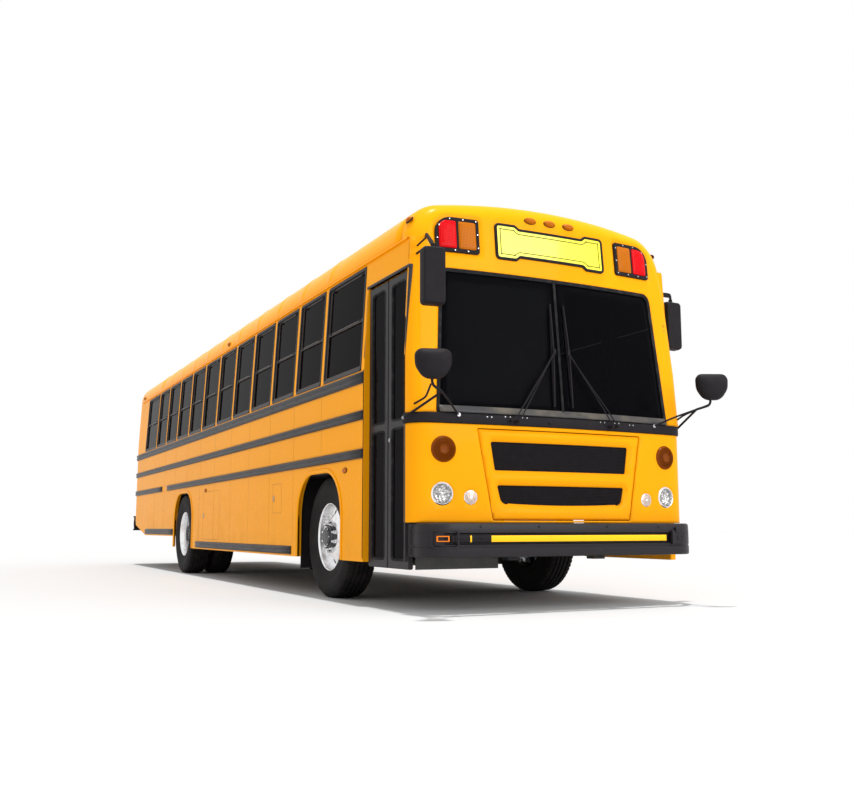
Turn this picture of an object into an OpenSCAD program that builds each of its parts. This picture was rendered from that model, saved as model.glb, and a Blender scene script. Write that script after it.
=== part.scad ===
// School bus with a flat front and a front engine, in millimetres.
// The nose points along -Y, the driver's side is +X and the road is Z = 0.

/* [Overall] */
// Width across the body sides
body_w = 2438; // [2300:1:2500]
// Height of the roof crown above the road
roof_z = 3090; // [3060:1:3200]
// Distance between the front and rear axles
wheelbase = 5283; // [5100:1:6600]
// From the front axle forward to the middle of the nose
nose_overhang = 1970; // [1950:1:2050]
// From the rear axle back to the rear wall
rear_overhang = 3750; // [3700:1:4200]
// How far the front mirrors reach ahead of the nose
mirror_reach = 340; // [320:1:420]
// How far the rear bumper stands behind the rear wall
rear_bumper_depth = 110; // [80:1:160]

/* [Body shell] */
// Thickness of the side walls
wall_t = 50; // [40:1:60]
// Thickness of the roof with its lining
roof_t = 40; // [30:1:60]
// Thickness of the moulded front panels
nose_t = 45; // [35:1:55]
// Height of the passenger floor
floor_z = 1120; // [1110:1:1160]
// Thickness of the floor panel
floor_t = 60; // [40:1:60]
// Bottom edge of the skirt between the axles
skirt_z = 337; // [300:1:380]
// Bottom edge of the skirt behind the rear axle
rear_skirt_z = 486; // [460:1:520]
// Height of the window sills, where the sides begin to lean in
belt_z = 1831; // [1800:1:1860]
// Height of the top of the window openings
window_head_z = 2690; // [2660:1:2700]
// Height at which the walls meet the roof
header_z = 2720; // [2710:1:2740]
// How far the sides lean in at that height
lean_in = 48; // [30:1:60]
// Radius of the rounded roof edge
roof_edge_r = 300; // [250:1:330]
// Radius of the gentle roof crown
roof_crown_r = 6500; // [6000:10:9000]
// Radius of the bowed nose, seen from above
nose_bow_r = 8800; // [8000:10:12000]
// Radius of the front corners below the windshield
nose_corner_r = 150; // [140:1:160]
// Radius of the corners of the front cap
cap_corner_r = 80; // [70:1:90]
// Radius of the rear corners
rear_corner_r = 130; // [120:1:140]
// Backward lean of the windshield and the front cap, in degrees
nose_lean = 5.3; // [4:0.1:6]
// Radius where the front cap rolls into the roof
cap_roll_r = 170; // [140:1:190]

/* [Front openings] */
// Top of the lower front, where the cowl strip begins
cowl_z = 1331; // [1325:1:1340]
// Height of the cowl strip
cowl_h = 76; // [70:1:80]
// Half width of the windshield at its foot
glass_foot_half_w = 1036; // [1020:1:1045]
// Half width of the windshield at its head
glass_head_half_w = 962; // [950:1:980]
// Height of the head of the windshield
glass_head_z = 2490; // [2470:1:2500]
// Thickness of the glass
glass_t = 6; // [5:1:8]
// Gap round each swinging panel and door
panel_gap = 6; // [6:1:9]
// Half width of the hinged grille panel at its top
hood_top_half_w = 732; // [720:1:740]
// Half width of the hinged grille panel at its foot
hood_foot_half_w = 612; // [600:1:620]
// Top of the hinged grille panel
hood_top_z = 1303; // [1295:1:1310]
// Foot of the hinged grille panel
hood_foot_z = 646; // [640:1:660]

/* [Side windows] */
// Number of passenger windows on each side
window_count = 12; // [10:1:12]
// Spacing of the window pillars
window_pitch = 738; // [700:1:740]
// Width of each pillar
pillar_w = 64; // [56:1:80]
// Front edge of the first passenger window, behind the front axle
first_window_y = -947; // [-960:1:-930]
// First pillar, behind the front axle
first_pillar_y = -58; // [-70:1:-40]
// Rear edge of the last passenger window, behind the last pillar
last_window_w = 900; // [850:1:930]
// Width of the black sash bars
sash_w = 32; // [26:1:40]
// Height of the meeting rail above the sill
meeting_rail_h = 430; // [400:1:460]

/* [Doors] */
// Front edge of the entrance doorway, from the front axle
door_front_y = -1745; // [-1750:1:-1740]
// Rear edge of the entrance doorway, from the front axle
door_rear_y = -1008; // [-1015:1:-1004]
// Bottom of the entrance door
door_foot_z = 302; // [295:1:310]
// Top of the entrance door
door_head_z = 2475; // [2460:1:2480]
// Thickness of a door leaf
leaf_t = 38; // [30:1:42]
// Width of a door leaf's frame bars
leaf_bar = 62; // [50:1:75]
// Height of the glass mullion in the door above the road
leaf_rail_z = 1350; // [1300:1:1400]
// Half width of the rear emergency door
rear_door_half_w = 330; // [320:1:350]
// Head of the rear emergency door
rear_door_head_z = 2560; // [2520:1:2580]

/* [Running gear] */
// Outside diameter of the tyres
tyre_d = 1040; // [1030:1:1046]
// Width of a tyre
tyre_w = 275; // [265:1:280]
// Diameter of the wheel rims
rim_d = 590; // [570:1:610]
// Half of the front track
front_track_half = 992; // [985:1:1000]
// Distance from the middle to the outer rear tyres
rear_outer_x = 1074; // [1070:1:1080]
// Spacing of each pair of rear tyres
dual_spacing = 322; // [318:1:330]
// Distance from the middle to each steering pivot
pivot_x = 880; // [870:1:885]
// Half width over the frame rails
rail_half_w = 431; // [420:1:436]
// Width of a frame rail's flange
rail_flange = 80; // [70:1:90]
// Bottom of the frame rails
rail_z = 690; // [680:1:700]
// Height of the frame rails
rail_h = 250; // [240:1:260]
// Thickness of the frame rails' metal
rail_t = 12; // [8:1:16]
// Radius of the holes in the four tow eyes
tow_eye_r = 25; // [20:1:28]
// Thickness of the tow eyes' plates
tow_eye_t = 20; // [16:1:30]

/* [Seats] */
// Number of passenger rows
row_count = 12; // [10:1:12]
// Spacing of the rows
row_pitch = 735; // [700:1:738]
// Front of the first row's cushion, from the front axle
first_row_y = -40; // [-60:1:0]
// Width of a bench
bench_w = 980; // [940:1:1000]
// Depth of a bench cushion
cushion_d = 390; // [370:1:400]
// Thickness of a bench cushion
cushion_t = 125; // [110:1:140]
// Height of a bench cushion's underside above the floor
bench_h = 310; // [300:1:330]
// Height of a bench back
back_h = 620; // [580:1:660]
// Thickness of a bench back
back_t = 80; // [60:1:90]

/* [Hidden] */
$fn = 48;

yellow = "#f9a800";
black = "#26262a";
grey = "#8b8d90";
glass_tint = "#20262b";

// Everything is measured from the front axle, then set down with the middle of the
// whole bus over the origin.
front_axle_y = (nose_overhang + mirror_reach - wheelbase - rear_overhang - rear_bumper_depth) / 2;
half_w = body_w / 2;
rear_y = wheelbase + rear_overhang;
nose_y = -nose_overhang;
seam = 0.3;
overcut = 400;

// Where the walls end and the front cap and rear wall take over
cap_side_y = door_front_y;
cap_roof_y = -1600;
rear_cap_y = rear_y - 180;
inner_w = half_w - wall_t;
cowl_top_z = cowl_z + cowl_h;

// ---- outlines ----

// Angle of the leaning window stretch of the sides
side_lean = atan(lean_in / (header_z - belt_z));
// The roof edge arc touches the leaning side and the crown arc
edge_n = [cos(side_lean), sin(side_lean)];
edge_s = [-sin(side_lean), cos(side_lean)];
crown_c = [0, roof_z - roof_crown_r];
edge_q = edge_n * (edge_n * [half_w, belt_z] - roof_edge_r) - crown_c;
edge_u = -edge_q * edge_s
    + sqrt(pow(edge_q * edge_s, 2) - edge_q * edge_q + pow(roof_crown_r - roof_edge_r, 2));
edge_c = crown_c + edge_q + edge_s * edge_u;
edge_top_a = atan2(edge_c[1] - crown_c[1], edge_c[0] - crown_c[0]);
arc_steps = 12;

function arc(c, r, a0, a1, n) = [for (i = [0:n]) let (a = a0 + (a1 - a0) * i / n) c + r * [cos(a), sin(a)]];
function flipped(points) = [for (i = [len(points) - 1:-1:0]) [-points[i][0], points[i][1]]];

// Half of the body's cross-section, from the foot of the side up to the crown
function half_section(in, foot) = concat(
    [[half_w - in, foot], [half_w - in, belt_z]],
    arc(edge_c, roof_edge_r - in, side_lean, edge_top_a, arc_steps),
    arc(crown_c, roof_crown_r - in, edge_top_a, 90, 5));

module section(in = 0, foot = 0)
    polygon(concat(half_section(in, foot), flipped(half_section(in, foot))));

module body_prism(y0, y1, in = 0, foot = 0)
    translate([0, y1, 0]) rotate([90, 0, 0]) linear_extrude(y1 - y0) section(in, foot);

// Half of an end of the body seen from above: side, corner arc and bowed face
function corner_x(r) = half_w - r;
function corner_y(bow_r, r) = -bow_r + sqrt(pow(bow_r - r, 2) - pow(corner_x(r), 2));
function half_end(bow_r, r, in, depth) = let (
        cy = corner_y(bow_r, r), a = atan2(cy + bow_r, corner_x(r))) concat(
    [[half_w - in, -depth]],
    arc([corner_x(r), cy], r - in, 0, a, 10),
    arc([0, -bow_r], bow_r - in, a, 90, 10));

// The end's outline with its face on Y = 0 and the body behind it, towards -Y
module end_outline(bow_r, r, in, depth)
    polygon(concat(half_end(bow_r, r, in, depth), flipped(half_end(bow_r, r, in, depth))));

module nose_prism(z0, z1, in = 0, depth = 600)
    translate([0, nose_y, z0]) mirror([0, 1, 0]) linear_extrude(z1 - z0)
        end_outline(nose_bow_r, nose_corner_r, in, depth);

// The same prism, leaning back from the top of the cowl strip
module leaning_nose(in = 0, depth = 700)
    translate([0, nose_y, cowl_z]) rotate([-nose_lean, 0, 0]) translate([0, 0, -200])
        mirror([0, 1, 0]) linear_extrude(roof_z) end_outline(nose_bow_r, cap_corner_r, in, depth);

module rear_prism(z0, z1, in = 0, depth = 400)
    translate([0, rear_y, z0]) linear_extrude(z1 - z0)
        end_outline(nose_bow_r * 2, rear_corner_r, in, depth);

// Side view of the front cap: a leaning face that rolls back into the roof
cap_face_top = nose_y + (roof_z - cowl_z) * tan(nose_lean);
module cap_side_view(in = 0)
    translate([-half_w, 0, 0]) rotate([90, 0, 90]) linear_extrude(body_w) polygon(concat(
        [[0, cowl_z - 100], [0, roof_z - in]],
        arc([cap_face_top + cap_roll_r, roof_z - cap_roll_r], cap_roll_r - in,
            90, 180 - nose_lean, 8),
        [[nose_y - 100 * tan(nose_lean) + in, cowl_z - 100]]));

// Puts a piece on the nose, its own -Y pointing outwards
function bow_y(x) = nose_bow_r - sqrt(pow(nose_bow_r, 2) - pow(x, 2));
function bow_a(x) = asin(x / nose_bow_r);
module on_fascia(x, z)
    translate([x, nose_y + bow_y(x), z]) rotate([0, 0, bow_a(x)]) children();
module on_cap(x, z)
    translate([x, nose_y + bow_y(x) + (z - cowl_z) * tan(nose_lean), z])
        rotate([-nose_lean, 0, 0]) rotate([0, 0, bow_a(x)]) children();

module at_axle() translate([0, front_axle_y, 0]) children();
module both_sides() { children(); mirror([1, 0, 0]) children(); }
module block(low, high) translate(low) cube(high - low);
module rod(p, q, r) {
    d = q - p;
    translate(p) rotate([0, acos(d[2] / norm(d)), atan2(d[1], d[0])]) cylinder(h = norm(d), r = r);
}
// A prism along Y whose front view is a trapezoid
module front_trapezoid(foot_w, head_w, z0, z1, y0, y1)
    translate([0, y1, 0]) rotate([90, 0, 0]) linear_extrude(y1 - y0)
        polygon([[-foot_w, z0], [foot_w, z0], [head_w, z1], [-head_w, z1]]);

// ---- side walls ----

window_edges = concat([first_window_y - pillar_w / 2],
    [for (i = [0:window_count - 2]) first_pillar_y + i * window_pitch],
    [first_pillar_y + (window_count - 2) * window_pitch + last_window_w + pillar_w / 2]);
driver_window = [-1640, -1060];
arch_half = 570;
arch_top_z = 1100;
arch_corner_r = 400;

module wall_strip(y0, y1)
    translate([0, y1, 0]) rotate([90, 0, 0]) linear_extrude(y1 - y0) intersection() {
        difference() { section(0, skirt_z); section(wall_t, 0); }
        translate([0, skirt_z]) square([half_w, header_z - skirt_z]);
    }

// Wheel arch: a tall opening with large round shoulders
module arch_cut(y) translate([half_w - overcut, y, 0]) rotate([90, 0, 90])
    linear_extrude(2 * overcut) {
        translate([-arch_half, 0]) square([2 * arch_half, arch_top_z - arch_corner_r]);
        translate([-(arch_half - arch_corner_r), 0])
            square([2 * (arch_half - arch_corner_r), arch_top_z]);
        for (s = [-1, 1]) translate([s * (arch_half - arch_corner_r), arch_top_z - arch_corner_r])
            circle(arch_corner_r, $fn = 96);
    }

module window_cut(y0, y1)
    block([half_w - overcut, y0, belt_z], [half_w + overcut, y1, window_head_z]);

// The skirt is cut up behind the rear wheels and chamfered towards the bumper
rear_chamfer_y = rear_y - 1060;
module rear_skirt_cut() translate([half_w - overcut, 0, 0]) rotate([90, 0, 90])
    linear_extrude(2 * overcut) polygon([[wheelbase, 0], [rear_y + 100, 0],
        [rear_y + 100, rear_skirt_z + (rear_y + 100 - rear_chamfer_y) * 0.19],
        [rear_chamfer_y, rear_skirt_z], [wheelbase, rear_skirt_z]]);

module wall_common() difference() {
    wall_strip(cap_side_y, rear_cap_y);
    for (i = [0:window_count - 1])
        window_cut(window_edges[i] + pillar_w / 2, window_edges[i + 1] - pillar_w / 2);
    arch_cut(0);
    arch_cut(wheelbase);
    rear_skirt_cut();
}

module left_wall() at_axle() color(yellow) difference() {
    wall_common();
    window_cut(driver_window[0], driver_window[1]);
}

module right_wall() at_axle() color(yellow) mirror([1, 0, 0]) difference() {
    wall_common();
    block([half_w - overcut, cap_side_y - 1, 0], [half_w + overcut, door_rear_y, door_head_z + panel_gap]);
}

// ---- roof, cap and rear wall ----

hatch_half = 300;
hatch_y = [1150, 6350];
hatch_curb = 30;

module hatch_frame(y, half, z0, z1) block([-half, y - half, z0], [half, y + half, z1]);
module roof() at_axle() color(yellow) difference() {
    union() {
        difference() {
            body_prism(cap_roof_y, rear_cap_y);
            body_prism(cap_roof_y - 1, rear_cap_y + 1, roof_t);
            block([-half_w, cap_roof_y - 1, -1], [half_w, rear_cap_y + 1, header_z]);
        }
        for (y = hatch_y) hatch_frame(y, hatch_half + 20, roof_z - roof_t, roof_z + 8 - seam);
    }
    for (y = hatch_y) hatch_frame(y, hatch_half, roof_z - overcut, roof_z + 10);
}

lamp_w = 352;
lamp_h = 272;
lamp_x = 808;
lamp_z = 2760;
sign_w = 1000;
sign_h = 290;
sign_z = 2750;
marker_x = 177;
marker_z = 2951;

module cap_pocket(x, z, w, h, depth)
    on_cap(x, z) block([-w / 2, -60, -h / 2], [w / 2, depth, h / 2]);

module cap_solid(in) intersection() {
    body_prism(nose_y - 100, cap_roof_y + 100, in);
    leaning_nose(in);
    nose_prism(cowl_z - 100, roof_z, in);
    cap_side_view(in);
}

module front_cap() at_axle() color(yellow) difference() {
    cap_solid(0);
    cap_solid(nose_t);
    // room for the walls, roof and cowl
    block([-half_w - 1, cap_side_y, 0], [half_w + 1, 0, header_z]);
    block([-half_w - 1, cap_roof_y, header_z - 1], [half_w + 1, 0, roof_z + 1]);
    block([-half_w - 1, nose_y - 200, 0], [half_w + 1, 0, cowl_top_z]);
    front_trapezoid(glass_foot_half_w, glass_head_half_w, cowl_top_z - 1, glass_head_z,
        nose_y - 200, nose_y + 400);
    for (s = [-1, 1]) cap_pocket(s * lamp_x, lamp_z, lamp_w, lamp_h, 14);
    cap_pocket(0, sign_z, sign_w, sign_h, 20);
}

module rear_shell(in) intersection() {
    body_prism(rear_cap_y - 50, rear_y + 1, in);
    rear_prism(rear_skirt_z, roof_z, in);
}

rear_wall_z = 700;
rear_glass = [[470, 1000], [1850, 2480]];
module rear_wall() at_axle() color(yellow) {
    rear_panel();
    for (z = hinge_z) door_knuckle(z - barrel_h - seam, -1);
}
module rear_panel() difference() {
    rear_shell(0);
    rear_shell(wall_t);
    block([-half_w - 1, 0, 0], [half_w + 1, rear_cap_y, roof_z + 1]);
    block([-half_w - 1, 0, 0], [half_w + 1, rear_y + 1, rear_wall_z]);
    // the doorway and the two fixed windows
    block([-rear_door_half_w - panel_gap, rear_y - overcut, floor_z - 20],
        [rear_door_half_w + panel_gap, rear_y + 1, rear_door_head_z + panel_gap]);
    both_sides() block([rear_glass[0][0], rear_y - overcut, rear_glass[1][0]],
        [rear_glass[0][1], rear_y + 1, rear_glass[1][1]]);
}

// ---- lower front ----

head_lamp = [1000, 832, 75];
small_lamp = [784, 808, 46];
turn_lamp = [993, 1146, 92];
lamp_clearance = 0.5;

module fascia_shell(z0, z1, in0 = 0, in1 = nose_t) difference() {
    nose_prism(z0, z1, in0);
    nose_prism(z0 - 1, z1 + 1, in1);
    block([-half_w - 50, cap_side_y, z0 - 2], [half_w + 50, 0, z1 + 2]);
}

module lamp_bore(lamp)
    both_sides() on_fascia(lamp[0], lamp[1]) rotate([-90, 0, 0])
        translate([0, 0, -60]) cylinder(h = 200, r = lamp[2] + lamp_clearance);

module front_fascia() at_axle() color(yellow) {
    fascia_panel();
    panel_stops();
}
module fascia_panel() difference() {
    fascia_shell(fascia_z, cowl_z);
    front_trapezoid(hood_foot_half_w, hood_top_half_w, hood_foot_z, hood_top_z,
        nose_y - 100, nose_y + 300);
    lamp_bore(head_lamp);
    lamp_bore(small_lamp);
}

// Rubber stops behind the lower corners of the grille panel, on tabs of the fascia
stop_x = [560, 645, 680];
stop_h = 40;
module panel_stops() both_sides() {
    intersection() {
        fascia_shell(hood_foot_z + 10, hood_foot_z + stop_h, nose_t + seam, nose_t + 25);
        block([stop_x[0], nose_y, 0], [stop_x[2], 0, hood_top_z]);
    }
    intersection() {
        fascia_shell(hood_foot_z + 10, hood_foot_z + stop_h, nose_t - 10, nose_t + 25);
        block([stop_x[1], nose_y, 0], [stop_x[2], 0, hood_top_z]);
    }
}

upper_grille = [583, 616, 1005, 1211];
lower_grille = [532, 567, 762, 898];

module grille_shape(g, gap = 0)
    front_trapezoid(g[0] - gap, g[1] - gap, g[2] + gap, g[3] - gap, nose_y - 100, nose_y + 300);

// The panel has a thin outer skin and a narrower inner frame, which clears as it lifts
hood_skin = 12;
hood_layers = [[0, hood_skin, panel_gap, panel_gap + 5],
    [hood_skin - 1, nose_t, panel_gap + 12, panel_gap + 17]];
module grille_panel() at_axle() color(yellow) difference() {
    for (l = hood_layers) intersection() {
        fascia_shell(hood_foot_z + panel_gap, hood_top_z - panel_gap, l[0], l[1]);
        front_trapezoid(hood_foot_half_w - l[2], hood_top_half_w - l[3],
            hood_foot_z, hood_top_z, nose_y - 100, nose_y + 300);
    }
    grille_shape(upper_grille);
    grille_shape(lower_grille);
}

module grilles() at_axle() color(black) for (g = [upper_grille, lower_grille])
    intersection() {
        fascia_shell(hood_foot_z, hood_top_z, 12, 24);
        grille_shape(g, seam);
    }

cowl_proud = 12;
module cowl() at_axle() color(black) fascia_shell(cowl_z, cowl_top_z, -cowl_proud, nose_t);

divider_gap = 12;
module windshield() at_axle() color(glass_tint) difference() {
    intersection() {
        difference() { leaning_nose(10); leaning_nose(10 + glass_t); }
        front_trapezoid(glass_foot_half_w - seam, glass_head_half_w - seam, cowl_top_z + seam,
            glass_head_z - seam, nose_y - 200, nose_y + 400);
    }
    block([-divider_gap / 2, nose_y - 200, 0], [divider_gap / 2, 0, roof_z]);
}

// ---- windows ----

module leaning_slab(y0, y1, z0, z1, out, t)
    translate([0, y1, 0]) rotate([90, 0, 0]) linear_extrude(y1 - y0) intersection() {
        difference() { section(out, 0); section(out + t, 0); }
        translate([0, z0]) square([half_w, z1 - z0]);
    }

frame_t = 28;
frame_in = 8;
module sash(y0, y1) difference() {
    leaning_slab(y0 + seam, y1 - seam, belt_z + seam, window_head_z - seam, frame_in, frame_t);
    block([0, y0 + sash_w, belt_z + sash_w], [half_w, y1 - sash_w, belt_z + meeting_rail_h - sash_w / 2]);
    block([0, y0 + sash_w, belt_z + meeting_rail_h + sash_w / 2],
        [half_w, y1 - sash_w, window_head_z - sash_w]);
}
module panes(y0, y1) {
    leaning_slab(y0 + sash_w + seam, y1 - sash_w - seam, belt_z + sash_w + seam,
        belt_z + meeting_rail_h - sash_w / 2 - seam, frame_in + 11, glass_t);
    leaning_slab(y0 + sash_w + seam, y1 - sash_w - seam,
        belt_z + meeting_rail_h + sash_w / 2 + seam, window_head_z - sash_w - seam, frame_in + 11, glass_t);
}
module rear_window_frame() difference() {
    block([rear_glass[0][0] + seam, rear_y - 46, rear_glass[1][0] + seam],
        [rear_glass[0][1] - seam, rear_y - 18, rear_glass[1][1] - seam]);
    block([rear_glass[0][0] + sash_w, rear_y - 60, rear_glass[1][0] + sash_w],
        [rear_glass[0][1] - sash_w, rear_y, rear_glass[1][1] - sash_w]);
}
module rear_window_pane()
    block([rear_glass[0][0] + sash_w + seam, rear_y - 35, rear_glass[1][0] + sash_w + seam],
        [rear_glass[0][1] - sash_w - seam, rear_y - 35 + glass_t, rear_glass[1][1] - sash_w - seam]);

module window_frames() at_axle() color(black) {
    both_sides() for (i = [0:window_count - 1])
        sash(window_edges[i] + pillar_w / 2, window_edges[i + 1] - pillar_w / 2);
    sash(driver_window[0], driver_window[1]);
    both_sides() rear_window_frame();
}
module window_glass() at_axle() color(glass_tint) {
    both_sides() for (i = [0:window_count - 1])
        panes(window_edges[i] + pillar_w / 2, window_edges[i + 1] - pillar_w / 2);
    panes(driver_window[0], driver_window[1]);
    both_sides() rear_window_pane();
}

// ---- entrance door and steps ----

leaf_inset = 43;
leaf_out_x = half_w - leaf_inset;
door_w = door_rear_y - door_front_y;
leaf_w = (door_w - 3 * panel_gap) / 2;
leaf_glass = [[door_foot_z + leaf_bar, leaf_rail_z - leaf_bar / 2],
    [leaf_rail_z + leaf_bar / 2, door_head_z - leaf_bar]];

leaf_r = leaf_t / 2;
hinge_pin_r = 8;

// A leaf whose round hinge edge is at y0; dir is 1 where the leaf reaches rearwards
module leaf(hinge_y, dir) color(black) {
    difference() {
        union() {
            block([-leaf_out_x, min(hinge_y, hinge_y + dir * (leaf_w - leaf_r)), door_foot_z],
                [-leaf_out_x + leaf_t, max(hinge_y, hinge_y + dir * (leaf_w - leaf_r)), door_head_z]);
            translate([-leaf_out_x + leaf_r, hinge_y, door_foot_z])
                cylinder(h = door_head_z - door_foot_z, r = leaf_r);
        }
        for (g = leaf_glass) block(
            [-leaf_out_x - 1, min(hinge_y + dir * (leaf_bar - leaf_r), hinge_y + dir * (leaf_w - leaf_r - leaf_bar)), g[0]],
            [-leaf_out_x + leaf_t + 1,
                max(hinge_y + dir * (leaf_bar - leaf_r), hinge_y + dir * (leaf_w - leaf_r - leaf_bar)), g[1]]);
    }
    // pivot that reaches up to the door header
    translate([-leaf_out_x + leaf_r, hinge_y, door_head_z - 10])
        cylinder(h = 10 + panel_gap - seam, r = hinge_pin_r);
}
module leaf_panes(y0) color(glass_tint) for (g = leaf_glass)
    block([-leaf_out_x + 12, y0 + leaf_bar + seam, g[0] + seam],
        [-leaf_out_x + 12 + glass_t, y0 + leaf_w - leaf_bar - seam, g[1] - seam]);

front_leaf_y = door_front_y + panel_gap;
rear_leaf_y = door_rear_y - panel_gap - leaf_w;
module front_door_leaf() at_axle() leaf(front_leaf_y + leaf_r, 1);
module front_leaf_glass() at_axle() leaf_panes(front_leaf_y);
module rear_door_leaf() at_axle() leaf(rear_leaf_y + leaf_w - leaf_r, -1);
module rear_leaf_glass() at_axle() leaf_panes(rear_leaf_y);

step_count = 3;
step_foot_z = 372;
step_t = 24;
step_out_x = leaf_out_x - leaf_t - 10;
step_in_x = 480;
step_rise = (floor_z - step_foot_z) / step_count;
step_run = (step_out_x - step_in_x) / step_count;
well_t = 8;
module entry_steps() at_axle() color(black) {
    translate([0, door_rear_y, 0]) rotate([90, 0, 0]) linear_extrude(door_w) polygon(concat(
        [for (i = [0:step_count - 1]) each [
            [-step_out_x + i * step_run, step_foot_z + i * step_rise],
            [-step_out_x + (i + 1) * step_run, step_foot_z + i * step_rise]]],
        [[-step_in_x, floor_z - floor_t], [-step_in_x + step_t, floor_z - floor_t]],
        [for (i = [step_count - 1:-1:0]) each [
            [-step_out_x + (i + 1) * step_run + step_t, step_foot_z + i * step_rise - step_t],
            [-step_out_x + i * step_run + (i == 0 ? 0 : step_t), step_foot_z + i * step_rise - step_t]]]));
    for (y = [door_front_y - well_t, door_rear_y])
        block([-step_out_x, y, door_foot_z], [-step_in_x + step_t, y + well_t, floor_z - floor_t]);
}

// ---- rear emergency door ----

rear_door_foot_z = floor_z - 14;
rear_pane = [[-230, 230], [1600, 2440]];
rear_pane_low_z = [1180, 1480];
barrel_r = 9;
barrel_y = rear_y + 10;
barrel_x = -rear_door_half_w - panel_gap / 2;
hinge_z = [1300, 1850, 2350];
barrel_h = 60;

// One hinge knuckle with its leaf, reaching dir along X from the barrel
module door_knuckle(z, dir) {
    translate([barrel_x, barrel_y, z]) cylinder(h = barrel_h, r = barrel_r);
    block([min(barrel_x, barrel_x + dir * 36), rear_y + (dir < 0 ? -8 : 0), z],
        [max(barrel_x, barrel_x + dir * 36), rear_y + 4, z + barrel_h]);
}
module emergency_door() at_axle() color(yellow) {
    door_panel();
    for (z = hinge_z) door_knuckle(z, 1);
}
module door_panel() difference() {
    block([-rear_door_half_w, rear_y - wall_t, rear_door_foot_z], [rear_door_half_w, rear_y, rear_door_head_z]);
    for (z = [rear_pane[1], rear_pane_low_z])
        block([rear_pane[0][0], rear_y - wall_t - 1, z[0]], [rear_pane[0][1], rear_y + 1, z[1]]);
}
module emergency_door_glass() at_axle() color(glass_tint) for (z = [rear_pane[1], rear_pane_low_z])
    block([rear_pane[0][0] + seam, rear_y - 30, z[0] + seam],
        [rear_pane[0][1] - seam, rear_y - 30 + glass_t, z[1] - seam]);

// ---- roof hatches ----

module hatch(y) at_axle() color(black) {
    // lid over the opening, with a skirt inside it
    block([-hatch_half - hatch_curb, y - hatch_half - hatch_curb, roof_z + 8],
        [hatch_half + hatch_curb, y + hatch_half + hatch_curb, roof_z + 40]);
    difference() {
        block([-hatch_half + panel_gap, y - hatch_half + panel_gap, roof_z - 10],
            [hatch_half - panel_gap, y + hatch_half - panel_gap, roof_z + 8]);
        block([-hatch_half + 30, y - hatch_half + 30, roof_z - 11],
            [hatch_half - 30, y + hatch_half - 30, roof_z + 8]);
    }
}
module front_roof_hatch() hatch(hatch_y[0]);
module rear_roof_hatch() hatch(hatch_y[1]);

// A layer on the bowed outside of the rear wall, within a box
module rear_skin(low, high, z0, z1, thick, lift = seam) intersection() {
    difference() {
        rear_prism(z0, z1, -thick - lift, 300);
        rear_prism(z0 - 1, z1 + 1, -lift, 300);
    }
    block([low, rear_y - 200, z0], [high, rear_y + 100, z1]);
}

// ---- rub rails ----

rail_d = 20;
rails_y = [-1000, rear_y - 120];
rail_gap_y = [6350, 6740];
rub_rail_z = [[1725, 1823], [1436, 1515], [1133, 1212]];
low_rail = [700, wheelbase - 800];
rear_low_rail = [wheelbase + 590, rear_chamfer_y - 20];

module side_rail(y0, y1, z)
    block([half_w, y0, z[0]], [half_w + rail_d, y1, z[1]]);

module side_rails(front_y) {
    for (i = [0:1]) side_rail(front_y, rails_y[1], rub_rail_z[i]);
    side_rail(front_y, rail_gap_y[0], rub_rail_z[2]);
    side_rail(rail_gap_y[1], rails_y[1], rub_rail_z[2]);
    side_rail(low_rail[0], low_rail[1], [352, 432]);
    side_rail(rear_low_rail[0], rear_low_rail[1], [502, 587]);
}
module rub_rails() at_axle() color(black) {
    side_rails(-1700);
    mirror([1, 0, 0]) side_rails(rails_y[0]);
    both_sides() for (z = rub_rail_z)
        rear_skin(rear_door_half_w + 60, half_w - rear_corner_r - 20, z[0], z[1], 14, 0);
}

// ---- bumpers ----

bumper_z = [391, 628];
fascia_z = bumper_z[1] + 4;
bumper_out = 100;
bumper_t = 60;
bumper_side = -34;
bumper_corner_r = 200;
channel_z = [478, 560];
channel_d = 26;
gate_hinge_x = -1000;
bracket_w = 60;

// The bumper's plan: straight across, with rounded corners that reach back to the doorway
module bumper_plan(in) translate([0, nose_y - bumper_out]) difference() {
    union() {
        translate([-(half_w + bumper_side - bumper_corner_r), in])
            square([2 * (half_w + bumper_side - bumper_corner_r), 200]);
        translate([-(half_w + bumper_side - in), bumper_corner_r]) square([2 * (half_w + bumper_side - in), 200]);
        for (s = [-1, 1]) translate([s * (half_w + bumper_side - bumper_corner_r), bumper_corner_r])
            circle(bumper_corner_r - in, $fn = 96);
    }
    translate([-body_w, bumper_out + (cap_side_y - nose_y) - 10]) square([2 * body_w, 600]);
}
module front_bumper() at_axle() color(black) {
    bumper_bar();
    translate([gate_hinge_x, gate_mid_y, channel_z[0] - 1])
        cylinder(h = channel_z[1] - channel_z[0] + 2, r = gate_pin_r);
}
module bumper_bar() difference() {
    translate([0, 0, bumper_z[0]]) linear_extrude(bumper_z[1] - bumper_z[0]) bumper_plan(0);
    translate([0, 0, bumper_z[0] - 1]) linear_extrude(bumper_z[1] - bumper_z[0] + 2) bumper_plan(bumper_t);
    // the channel that the crossing gate lies in
    block([gate_hinge_x - 60, nose_y - bumper_out - 1, channel_z[0]],
        [1020, nose_y - bumper_out + channel_d, channel_z[1]]);
}

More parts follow.
